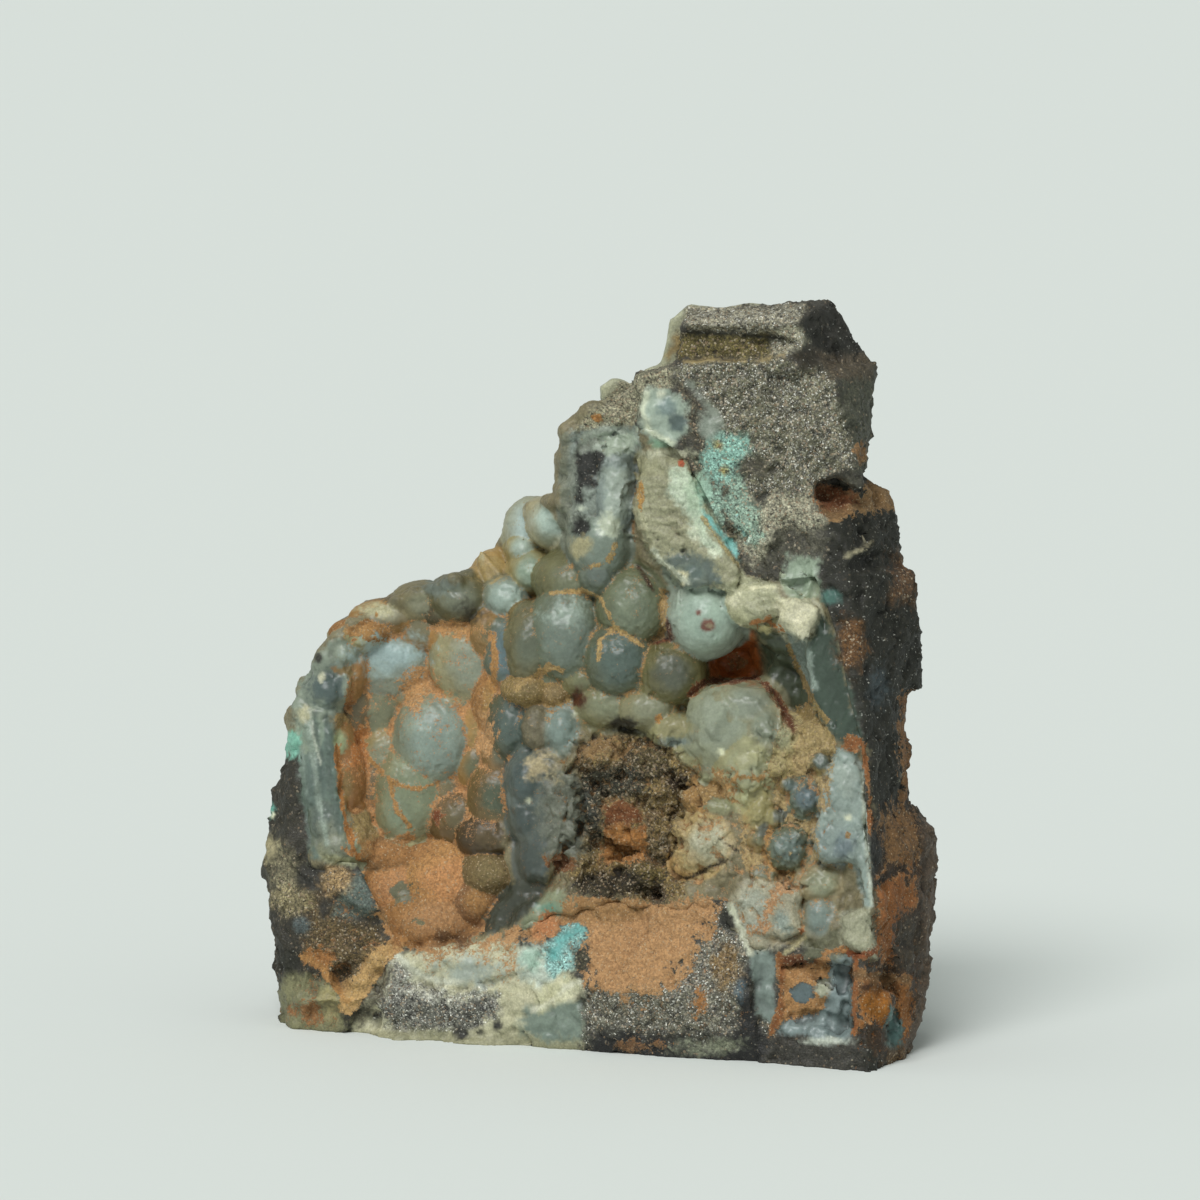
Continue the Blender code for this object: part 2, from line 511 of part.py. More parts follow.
def keep_largest(item):
    """Leave out the small loose crumbs that a cut has made."""
    bm = bmesh.new()
    bm.from_mesh(item.data)
    bm.verts.ensure_lookup_table()
    waiting = set(bm.verts)
    bodies = []
    while waiting:
        body = set()
        edge_of_search = [waiting.pop()]
        while edge_of_search:
            vert = edge_of_search.pop()
            body.add(vert)
            for edge in vert.link_edges:
                other = edge.other_vert(vert)
                if other in waiting:
                    waiting.remove(other)
                    edge_of_search.append(other)
        bodies.append(body)
    largest = max(bodies, key=len)
    loose = [vert for vert in bm.verts if vert not in largest]
    bmesh.ops.delete(bm, geom=loose, context="VERTS")
    bm.to_mesh(item.data)
    bm.free()


def finish_solid(item, material):
    """Turn the finished solid to metres, shade it and give it its material."""
    keep_largest(item)
    item.data.transform(Matrix.Scale(MM, 4))
    item.data.shade_smooth()
    item.data.set_sharp_from_angle(angle=math.radians(SHARP_ANGLE))
    item.data.materials.clear()
    item.data.materials.append(material)


def make_material(name, colour, roughness, metallic=0.0):
    material = bpy.data.materials.new(name)
    material.use_nodes = True
    shader = material.node_tree.nodes["Principled BSDF"]
    shader.inputs["Base Color"].default_value = (*colour, 1.0)
    shader.inputs["Roughness"].default_value = roughness
    shader.inputs["Metallic"].default_value = metallic
    return material


def make_bed_solid(name, surface, far, outline, step=BED_STEP):
    """The solid between a surface and a flat far side, inside an outline."""
    block = bmesh.new()
    add_bed_block(block, surface, far, step)
    solid = make_object(name, block)
    walls = bmesh.new()
    add_slot(walls, *WALL_DEPTHS, outline)
    fence = make_object("fence", walls)
    cut(solid, fence, "INTERSECT")
    drop(fence)
    return solid


def make_crust_space(name, lift, shrink):
    """The space in front of the bed, inside the crust's edge."""
    outline = inset(CRUST_EDGE + CRUST_CLEARANCE, shrink)
    return make_bed_solid(name, bed_surface(lift), FAR_FRONT, outline)


def make_matrix():
    bm = bmesh.new()
    for corners in ROCK_BLOCKS.values():
        add_block(bm, corners)
    for across, up, depth, half_width, half_height, half_depth in ROCK_KNOBS.values():
        add_ball(bm, seen(across, up, depth), (half_width, half_depth, half_height))
    rock = make_object("matrix", bm)
    fuse(rock, ROCK_VOXEL)
    cutters = bmesh.new()
    for across, up, depth, half_width, half_height, half_depth in ROCK_HOLLOWS.values():
        add_ball(cutters, seen(across, up, depth), (half_width, half_depth, half_height))
    for front, back, outline in ROCK_SLOTS.values():
        add_slot(cutters, front, back, outline)
    hollows = make_object("hollows", cutters)
    cut(rock, hollows)
    drop(hollows)
    fuse(rock, ROCK_VOXEL)
    roughen(rock, ROCK_ROUGHNESS, ROCK_GRAIN)
    thin_out(rock, ROCK_FACES)
    cut_base(rock)
    return rock


def make_crust():
    crust = make_bed_solid("chalcedony_crust", bed_surface(CRUST_THICKNESS), FAR_BACK,
                           CRUST_EDGE + CRUST_SKYLINE, step=SHEET_STEP)
    bm = bmesh.new()
    bm.from_mesh(crust.data)
    for form in DOMES.values():
        add_dome(bm, *form)
    for plate in PLATES.values():
        add_plate(bm, *plate)
    bm.to_mesh(crust.data)
    bm.free()
    fuse(crust, CRUST_VOXEL)
    roughen(crust, CRUST_ROUGHNESS, CRUST_GRAIN)
    return crust


def make_seam():
    bm = bmesh.new()
    add_plate(bm, SEAM_SET_BACK, SEAM_DEPTH, SEAM_WORN, SEAM_OUTLINE)
    for form in SEAM_CRUMBS.values():
        add_dome(bm, *form)
    seam = make_object("shattuckite", bm)
    fuse(seam, SEAM_VOXEL)
    roughen(seam, SEAM_ROUGHNESS, SEAM_GRAIN)
    thin_out(seam, SEAM_FACES)
    return seam


def make_seam_pocket():
    """The pocket in the rock that holds the seam, a gap wider all round."""
    bm = bmesh.new()
    around = inset(SEAM_OUTLINE, -TOUCHING_GAP)
    add_loft(bm, [[set_back(u, v, depth) for u, v in around]
                  for depth in (POCKET_FRONT, SEAM_DEPTH + TOUCHING_GAP)])
    return make_object("seam_pocket", bm)


def make_rear_crust():
    bm = bmesh.new()
    add_slot(bm, *REAR_DEPTHS, REAR_OUTLINE)
    for across, up, crown, half_width, half_height, half_depth in REAR_DOMES.values():
        add_ball(bm, seen(across, up, crown - half_depth), (half_width, half_depth, half_height))
    crust = make_object("rear_crust", bm)
    fuse(crust, CRUST_VOXEL)
    roughen(crust, CRUST_ROUGHNESS, CRUST_GRAIN)
    thin_out(crust, REAR_FACES)
    return crust


def part_rear_crust(matrix, rear):
    """Cut the cap's back and the front of the crust behind it to planes a gap apart."""
    around = inset(REAR_OUTLINE, -REAR_CLEARANCE)
    meeting = REAR_DEPTHS[0]
    behind = (meeting - TOUCHING_GAP, WALL_DEPTHS[1])
    in_front = (WALL_DEPTHS[0], meeting)
    for solid, depths in ((matrix, behind), (rear, in_front)):
        bm = bmesh.new()
        add_slot(bm, *depths, around)
        cutter = make_object("flat_side", bm)
        cut(solid, cutter)
        drop(cutter)


def build():
    for item in list(bpy.data.objects):
        bpy.data.objects.remove(item)

    rock_grey = make_material("matrix_rock", (0.055, 0.048, 0.042), 0.55, 0.35)
    chalcedony = make_material("chalcedony", (0.30, 0.34, 0.31), 0.28)
    rear_chalcedony = make_material("rear_chalcedony", (0.46, 0.48, 0.42), 0.3)
    turquoise = make_material("shattuckite_blue", (0.16, 0.47, 0.50), 0.6)

    matrix = make_matrix()
    crust = make_crust()
    seam = make_seam()
    rear = make_rear_crust()

    space = make_crust_space("crust_space", 0.0, 0.0)
    cut(matrix, space)
    drop(space)
    pocket = make_seam_pocket()
    cut(matrix, pocket)
    drop(pocket)
    part_rear_crust(matrix, rear)

    thin_out(crust, CRUST_FACES)
    inner = make_crust_space("inner_space", TOUCHING_GAP, TOUCHING_GAP)
    cut(crust, inner, "INTERSECT")
    drop(inner)

    finish_solid(matrix, rock_grey)
    finish_solid(crust, chalcedony)
    finish_solid(seam, turquoise)
    finish_solid(rear, rear_chalcedony)


build()
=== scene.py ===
import math
import random

import bmesh
import bpy
import numpy as np
from mathutils import Matrix, Vector, noise


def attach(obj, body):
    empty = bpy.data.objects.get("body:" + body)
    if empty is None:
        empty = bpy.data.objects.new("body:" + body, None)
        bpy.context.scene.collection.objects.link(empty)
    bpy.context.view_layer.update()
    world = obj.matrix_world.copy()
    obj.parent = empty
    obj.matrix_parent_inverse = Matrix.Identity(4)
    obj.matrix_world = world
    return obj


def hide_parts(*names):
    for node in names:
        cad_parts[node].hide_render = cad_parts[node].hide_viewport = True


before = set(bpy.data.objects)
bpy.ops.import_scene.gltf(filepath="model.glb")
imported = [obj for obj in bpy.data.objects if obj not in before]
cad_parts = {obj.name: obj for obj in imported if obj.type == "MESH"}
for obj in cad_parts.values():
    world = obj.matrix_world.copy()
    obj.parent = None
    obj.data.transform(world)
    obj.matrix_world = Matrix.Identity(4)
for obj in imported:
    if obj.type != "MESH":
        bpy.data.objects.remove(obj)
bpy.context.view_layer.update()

# Placing, in millimetres and degrees. Forms and colours are laid out as they are
# seen from the front: across (u, to the right), up (v, above the base) and depth.
MM = 0.001
VIEW_DISTANCE = 450.0
VIEW_RISE = 6.5
VIEW_LEAN = 1.2
VIEW_AIM = Vector((0.0, 0.0, 26.3))
VIEW_MIDDLE_UP = 28.2
VIEW_WIDTH = 72.0
ARRIS_ACROSS = 16.0
ARRIS_DEPTH = -11.0
FACE_TURN = 0.28
FACE_LEAN = 0.08

BED_SET_BACK = 1.8
CRUST_THICKNESS = 1.4
CRUST_ROOT = 0.8
STEEPEST = 3.0
SLOPE_REACH = 0.1
FAR_FRONT = -30.0
FAR_BACK = 12.0
WALL_DEPTHS = (-26.0, 30.0)

ROCK_VOXEL = 0.19
CRUST_VOXEL = 0.13
SHEET_VOXEL = 0.22
SEAM_VOXEL = 0.12
REAR_VOXEL = 0.22
SHEET_STEP = 0.45
MOST_TRIANGLES = 190000
HIDDEN_FAVOUR = 60.0
FORM_REACH = 0.22
CRUST_SPREAD = 0.35
EDGE_RAGGED = 0.22
OVERLAP = 1.4
LEAST_PROUD = 0.85
PLATE_RAGGED = 0.2
RIDGE_STRETCH = 7.0
GROOVE_SHADE = 0.5
FULL_DUST = 1.1
CRUMB_SIZE = 0.12
SPARK_SIZE = 0.08
WARMTH = (0.975, 0.97, 0.925)

ROCK_BLOCKS = {
    "column": [
        (3, -1.5, -7.0), (16.0, -1.5, -11.6), (16.3, 14, -10.6), (15.6, 26, -9.0), (14.6, 33.2, -8.0),
        (5, 33, -5.0), (3, 15, -5.8), (18.2, 1, -3.5), (18.5, 18, -3.0), (18.2, 30.5, -2.5),
        (17.5, 34.6, -1.6), (16.3, 35.4, -0.6), (17.2, 2, 5.5), (17.8, 16, 7.5), (16.6, 33, 5.5),
        (5, -1.5, 10.5), (6, 15, 13.0), (6, 34, 10.0),
    ],
    "foot": [
        (16.4, -1, -11.2), (16.6, 13.5, -9.6), (18.5, 0.9, -5.5), (19.3, 3, -4.5), (19.8, 6.6, -3.0),
        (20.1, 10, -2.6), (20.2, 12.6, -2.6), (19.9, 14.4, -2.8), (19.0, 15.9, -3.0), (19.0, 3, 3.5),
        (19.2, 12, 4.5), (18.2, 15.6, 4.0), (10, 0, 0), (10, 14, 0),
    ],
    "shoulder": [
        (18.9, 30, -2.8), (19.0, 28.8, -3.5), (19.1, 25.8, -3.5), (19.4, 25, -3.0), (19.3, 22.8, -3.0),
        (15.9, 30, -8.2), (16.0, 22.8, -8.9), (18.4, 29, 4.5), (18.6, 23.2, 4.5), (10, 30, 0), (10, 22.8, 0),
    ],
    "left_block": [
        (-18.4, -1.5, -0.8), (-19.2, 10, -0.4), (-18.2, 20, 0.3), (-16.2, 24, 1.4), (4, -1.5, -6.4),
        (4, 25, -4.4), (-19.2, 3.2, 2.5), (-20.2, 13.2, 2.5), (-19.8, 16.4, 2.5), (-18.3, 21.0, 2.8),
        (-16.6, 24.6, 3.4), (-15.0, 26.2, 4.4), (-12.6, 27.4, 6.0), (-8.4, 28.6, 6.6), (4, 32, 4.0),
        (-17.0, 2, 8.5), (-17.4, 14, 9.5), (-13.5, 25, 10.0), (4, -1.5, 12.0), (4, 15, 13.4), (4, 31, 10.0),
    ],
    "upper_neck": [
        (-0.2, 29, -1.0), (-0.2, 39.0, -1.2), (2.2, 41.6, -3.8), (5.4, 30, -4.6), (5.4, 42, -4.6),
        (-0.6, 30, 5.0), (0.6, 39.0, 5.0), (5.4, 42, 6.0), (5.4, 30, 9.0),
    ],
    "cap": [
        (2.0, 41.8, -4.6), (5.2, 42.6, -5.0), (11.2, 42.8, -6.2), (14.2, 41.3, -6.8), (15.4, 36.4, -7.0),
        (12.6, 33.0, -7.4), (5, 32, -5.8), (3, 36, -5.0), (16.3, 42.4, -2.0), (16.0, 40.5, -2.0),
        (16.2, 38.4, -2.5), (16.0, 36.2, -2.5), (15.6, 42, 5.0), (15.4, 35, 5.0), (3, 41, 6.5),
        (3, 33, 7.5), (10, 43, 7.0),
    ],
    "cap_back": [
        (4.7, 42, -3.2), (5.0, 44.8, -3.4), (11.6, 44.8, -4.6), (11.7, 42.3, -5.9), (11.8, 44.9, -5.6),
        (14.0, 46.1, -2.6), (15.5, 43.5, -1.5), (16.3, 42.4, -1.6), (13.6, 46.0, 4.0), (15.4, 43, 4.0),
        (5.4, 45.4, 5.0), (5, 42, 6.5),
    ],
    "cap_lip": [
        (4.9, 44.6, -4.6), (5.3, 45.3, -3.8), (11.9, 44.7, -6.2), (12.0, 45.4, -5.0), (13.8, 46.1, -3.2),
        (5.4, 45.2, 3.0), (13.6, 45.8, 3.0), (5.1, 44.3, 1.0), (12, 44.4, 1.0),
    ],
    "front_face": [
        (-0.8, 10.2, -4.5), (3.2, 10.0, -5.4), (8.4, 10.2, -6.9), (9.0, 7.5, -8.8), (-1.0, 5.2, -6.9),
        (4.0, 4.6, -8.5), (9.2, 4.2, -9.7), (-1.0, 1.2, -6.6), (4.4, 0.4, -8.0), (9.6, -0.4, -9.2),
        (-1.0, 0, 0), (9.6, 0, 0), (9, 9, 0), (-0.8, 9, 0),
    ],
    "front_sill": [
        (-13.0, 6.8, -2.6), (-9.0, 7.6, -3.4), (-5.6, 7.6, -4.6), (-0.4, 9.4, -5.0), (-13.2, 1.4, -2.4),
        (-9.0, 1.2, -4.2), (-0.8, 1.0, -6.4), (-12.8, 3.6, -3.2), (-0.6, 5.6, -6.8), (-13, 1, 4), (0, 1, 4),
        (0, 7, 4), (-13, 6.6, 4),
    ],
    "corner": [
        (-18.6, 2.0, -0.8), (-19.1, 5.4, -0.6), (-18.2, 11.0, -1.2), (-14.8, 12.0, -1.2), (-13.4, 8.8, -1.8),
        (-14.8, 3.0, -2.6), (-16.2, 0.8, -1.8), (-18.4, 8, 3), (-18, 2.4, 3), (-13, 2, 3), (-13.6, 9, 3),
    ],
    "back_swell": [
        (-10, 4, 8), (-11, 14, 9), (-7, 22, 9), (2, 26, 9), (10, 22, 9), (12, 8, 9), (2, 2, 9),
        (-5, 9, 13.8), (1, 17, 14.6), (6, 10, 14.0), (-3, 18, 13.6), (7, 17, 13.6),
    ],
    "back_ridge": [
        (3, 26, 8), (13, 26, 8), (14, 34, 6), (5, 36, 6), (6, 28, 12.4), (11, 29, 11.8), (8, 34, 9.6),
    ],
}

ROCK_KNOBS = {
    "back_knob_low": (-8.0, 8.0, 9.0, 6.0, 6.5, 4.2),
    "back_knob_side": (13.5, 12.0, 6.0, 4.2, 8.0, 3.6),
    "back_knob_top": (-4.0, 24.0, 8.4, 7.0, 5.0, 3.6),
    "back_seam": (5.0, 22.5, 9.0, 3.4, 6.5, 4.0),
    "back_seam_low": (4.8, 5.4, 8.0, 2.8, 5.0, 4.2),
}

ROCK_HOLLOWS = {
    "side_pocket": (17.6, 4.3, -8.4, 1.3, 3.0, 1.6),
    "back_pit": (-1.0, 6.0, 14.6, 3.2, 2.6, 1.8),
    "back_scoop": (12.0, 21.0, 12.6, 4.0, 5.0, 2.6),
    "rim_notch": (-14.8, 5.4, -2.6, 1.7, 1.2, 1.4),
    "band_recess": (8.2, 43.7, -5.6, 3.6, 0.8, 1.2),
}

# Swells and angular lumps on the front of the rock: middle, crown's set back, half-sizes.
ROCK_SWELLS = {
    "ridge_low": (-15.3, 4.0, -0.7, 0.8, 1.1, 1.4),
    "ridge_middle": (-14.3, 5.4, -0.6, 0.9, 1.2, 1.4),
    "ridge_high": (-13.2, 6.8, -0.4, 1.0, 1.0, 1.4),
    "sill_left": (-10.8, 6.4, -0.6, 1.6, 1.0, 1.6),
    "sill_middle": (-8.2, 6.7, -0.7, 1.8, 1.1, 1.6),
    "sill_right": (-5.4, 6.5, -0.6, 1.8, 1.2, 1.6),
    "sill_foot_left": (-11.6, 1.9, -1.2, 2.4, 0.8, 2.0),
    "sill_foot": (-6.8, 1.7, -0.9, 3.0, 0.8, 2.0),
    "sill_foot_right": (-2.6, 2.0, -0.5, 1.8, 1.0, 1.8),
    "sand_swell": (1.2, 8.2, 0.3, 2.6, 1.8, 2.0),
    "sand_swell_right": (4.0, 7.4, 0.1, 1.8, 2.0, 2.0),
    "recess_sand": (12.3, 5.6, 0.2, 1.3, 0.6, 1.4),
    "recess_floor": (12.9, 2.4, -0.1, 2.1, 0.9, 1.4),
    "side_mass": (16.9, 3.9, 0.4, 0.9, 1.0, 1.6),
    "sand_crest_left": (-1.2, 8.9, 0.6, 2.6, 1.5, 1.6),
    "sand_crest": (1.6, 9.2, 0.4, 3.0, 1.6, 1.8),
    "sand_crest_right": (5.2, 9.2, 0.4, 2.8, 1.6, 1.8),
    "recess_fill": (12.9, 4.5, 0.45, 2.7, 2.9, 1.8),
    "gap_fill": (14.4, 34.5, 2.4, 2.0, 1.2, 1.6),
    "recess_fill_right": (14.2, 4.4, 0.5, 1.5, 2.9, 1.6),
}
ROCK_CHUNKS = {
    "sill_streak": (-2.4, 4.6, -0.7, 1.4, 0.8, 1.6),
    "sill_lump": (-3.9, 2.9, -0.4, 1.4, 0.9, 1.6),
    "turquoise": (-2.4, 6.9, -0.5, 1.0, 1.1, 1.4),
    "turquoise_top": (-1.3, 8.2, -0.1, 0.8, 0.7, 1.2),
    "blue_panel": (-14.8, 10.6, -0.7, 1.2, 1.5, 1.6),
    "left_tan": (-16.0, 11.4, -0.6, 1.1, 1.0, 1.6),
    "corner_lump": (-17.6, 4.4, -0.6, 1.3, 1.3, 1.6),
    "recess_stone": (12.2, 4.6, 0.0, 0.75, 0.75, 1.4),
    "recess_chip": (13.4, 5.0, -0.1, 0.55, 0.7, 1.4),
    "strip_blue": (9.9, 5.1, -0.5, 0.8, 2.2, 1.6),
    "panel_blue": (14.5, 4.8, -0.15, 0.7, 2.2, 1.4),
    "neck_low": (10.4, 31.6, -0.4, 1.6, 1.2, 2.0),
    "neck_high": (11.2, 33.6, -0.5, 1.8, 1.1, 2.0),
    "neck_left": (8.8, 33.2, -0.3, 1.0, 1.4, 1.8),
    "wall_ledge": (15.4, 31.2, 0.6, 1.2, 0.5, 1.6),
    "shoulder_bits": (15.9, 34.6, 1.2, 1.2, 0.7, 1.8),
    "cap_hook": (14.6, 36.2, -0.2, 0.9, 0.8, 1.8),
}

ROCK_SLOTS = {
    "gap_under_cap": (-14.0, -2.4, [(12.9, 35.2), (14.0, 35.6), (17.4, 36.0), (17.6, 34.1), (13.0, 34.1)]),
    "corner_recess": (-14.0, -8.4, [(10.9, 6.6), (15.0, 6.5), (15.2, 2.6), (14.6, 1.9), (12, 2.1), (10.8, 3.6)]),
    "notch_right": (-14.0, 10.0, [(18.7, 22.6), (21, 22.6), (21, 16.9), (18.8, 16.9)]),
}

CRUST_EDGE = [
    (0.6, 39.6), (1.2, 39.2), (2.6, 38.4), (4.6, 37.2), (6.0, 35.2), (8.2, 30.6), (8.6, 29.4), (10.8, 29.4),
    (12.9, 29.6), (13.5, 28.2), (14.3, 25.8), (15.0, 22.2), (15.7, 19.8), (15.9, 16.2), (16.1, 12.6),
    (16.4, 7.0), (15.0, 6.9), (12.0, 7.5), (9.0, 7.6), (7.6, 10.2), (3.0, 10.2), (0, 10.4), (-2.4, 10.0),
    (-6.0, 7.8), (-9.6, 7.4), (-12.0, 7.3), (-13.5, 10.2), (-14.6, 12.4), (-16.9, 12.6), (-17.6, 16.2),
    (-18.0, 19.4),
]
CRUST_SKYLINE = [
    (-18.1, 21.2), (-17.2, 23.6), (-15.2, 26.2), (-13.0, 27.4), (-10.6, 28.4), (-7.6, 29.3), (-5.6, 30.6),
    (-5.0, 32.2), (-3.9, 33.5), (-2.2, 34.0), (-1.7, 38.2), (-0.6, 39.5),
]
CRUST_CLEARANCE = [
    (-20.4, 20.6), (-19.2, 25.2), (-16.0, 29.2), (-11.4, 31.8), (-8.8, 33.6), (-6.8, 36), (-4.0, 37),
    (-3.8, 41), (-1.8, 42.4), (0.4, 41.4),
]

# Bowls of the bed: middle, half-sizes, depth, and the share the growth leaves open.
BED_BOWLS = [
    (-10.1, 20.3, 6.1, 10.4, 7.2, 0.80),
    (-5.0, 30.6, 4.2, 5.0, 6.6, 0.80),
    (-9.6, 11.0, 5.8, 4.2, 4.2, 0.85),
    (8.2, 24.4, 3.7, 2.8, 6.6, 0.80),
    (11.6, 23.0, 3.2, 4.0, 3.6, 0.85),
    (2.2, 24.6, 7.2, 8.2, 2.0, 1.0),
    (1.0, 34.4, 4.2, 5.4, 1.6, 1.0),
    (3.0, 15.0, 5.6, 5.0, 2.6, 1.0),
    (11.8, 14.0, 4.4, 6.8, 1.0, 1.0),
    (9.6, 28.0, 3.4, 1.6, 1.6, 1.0),
    (-3.6, 15.0, 3.0, 5.0, 2.4, 1.0),
]

# Small pits in the crust: across, up, half-width, half-height, depth.
CRUST_PITS = [
    (1.5, 20.6, 0.8, 0.7, 1.6),
    (3.2, 10.7, 0.9, 0.8, 1.6),
    (1.3, 14.8, 2.1, 2.4, 0.9),
    (4.6, 17.5, 0.7, 0.5, 0.9),
    (0.6, 11.8, 2.2, 1.1, 0.6),
    (-1.4, 22.4, 0.6, 0.6, 1.6),
    (2.6, 29.6, 0.5, 0.9, 1.2),
    (-14.3, 20.2, 0.8, 1.3, 2.2),
    (-15.2, 22.6, 0.5, 1.2, 1.6),
    (-12.3, 13.3, 1.6, 0.5, 1.6),
    (-9.8, 13.9, 0.9, 0.5, 1.2),
    (-7.0, 12.9, 1.6, 0.45, 1.6),
]

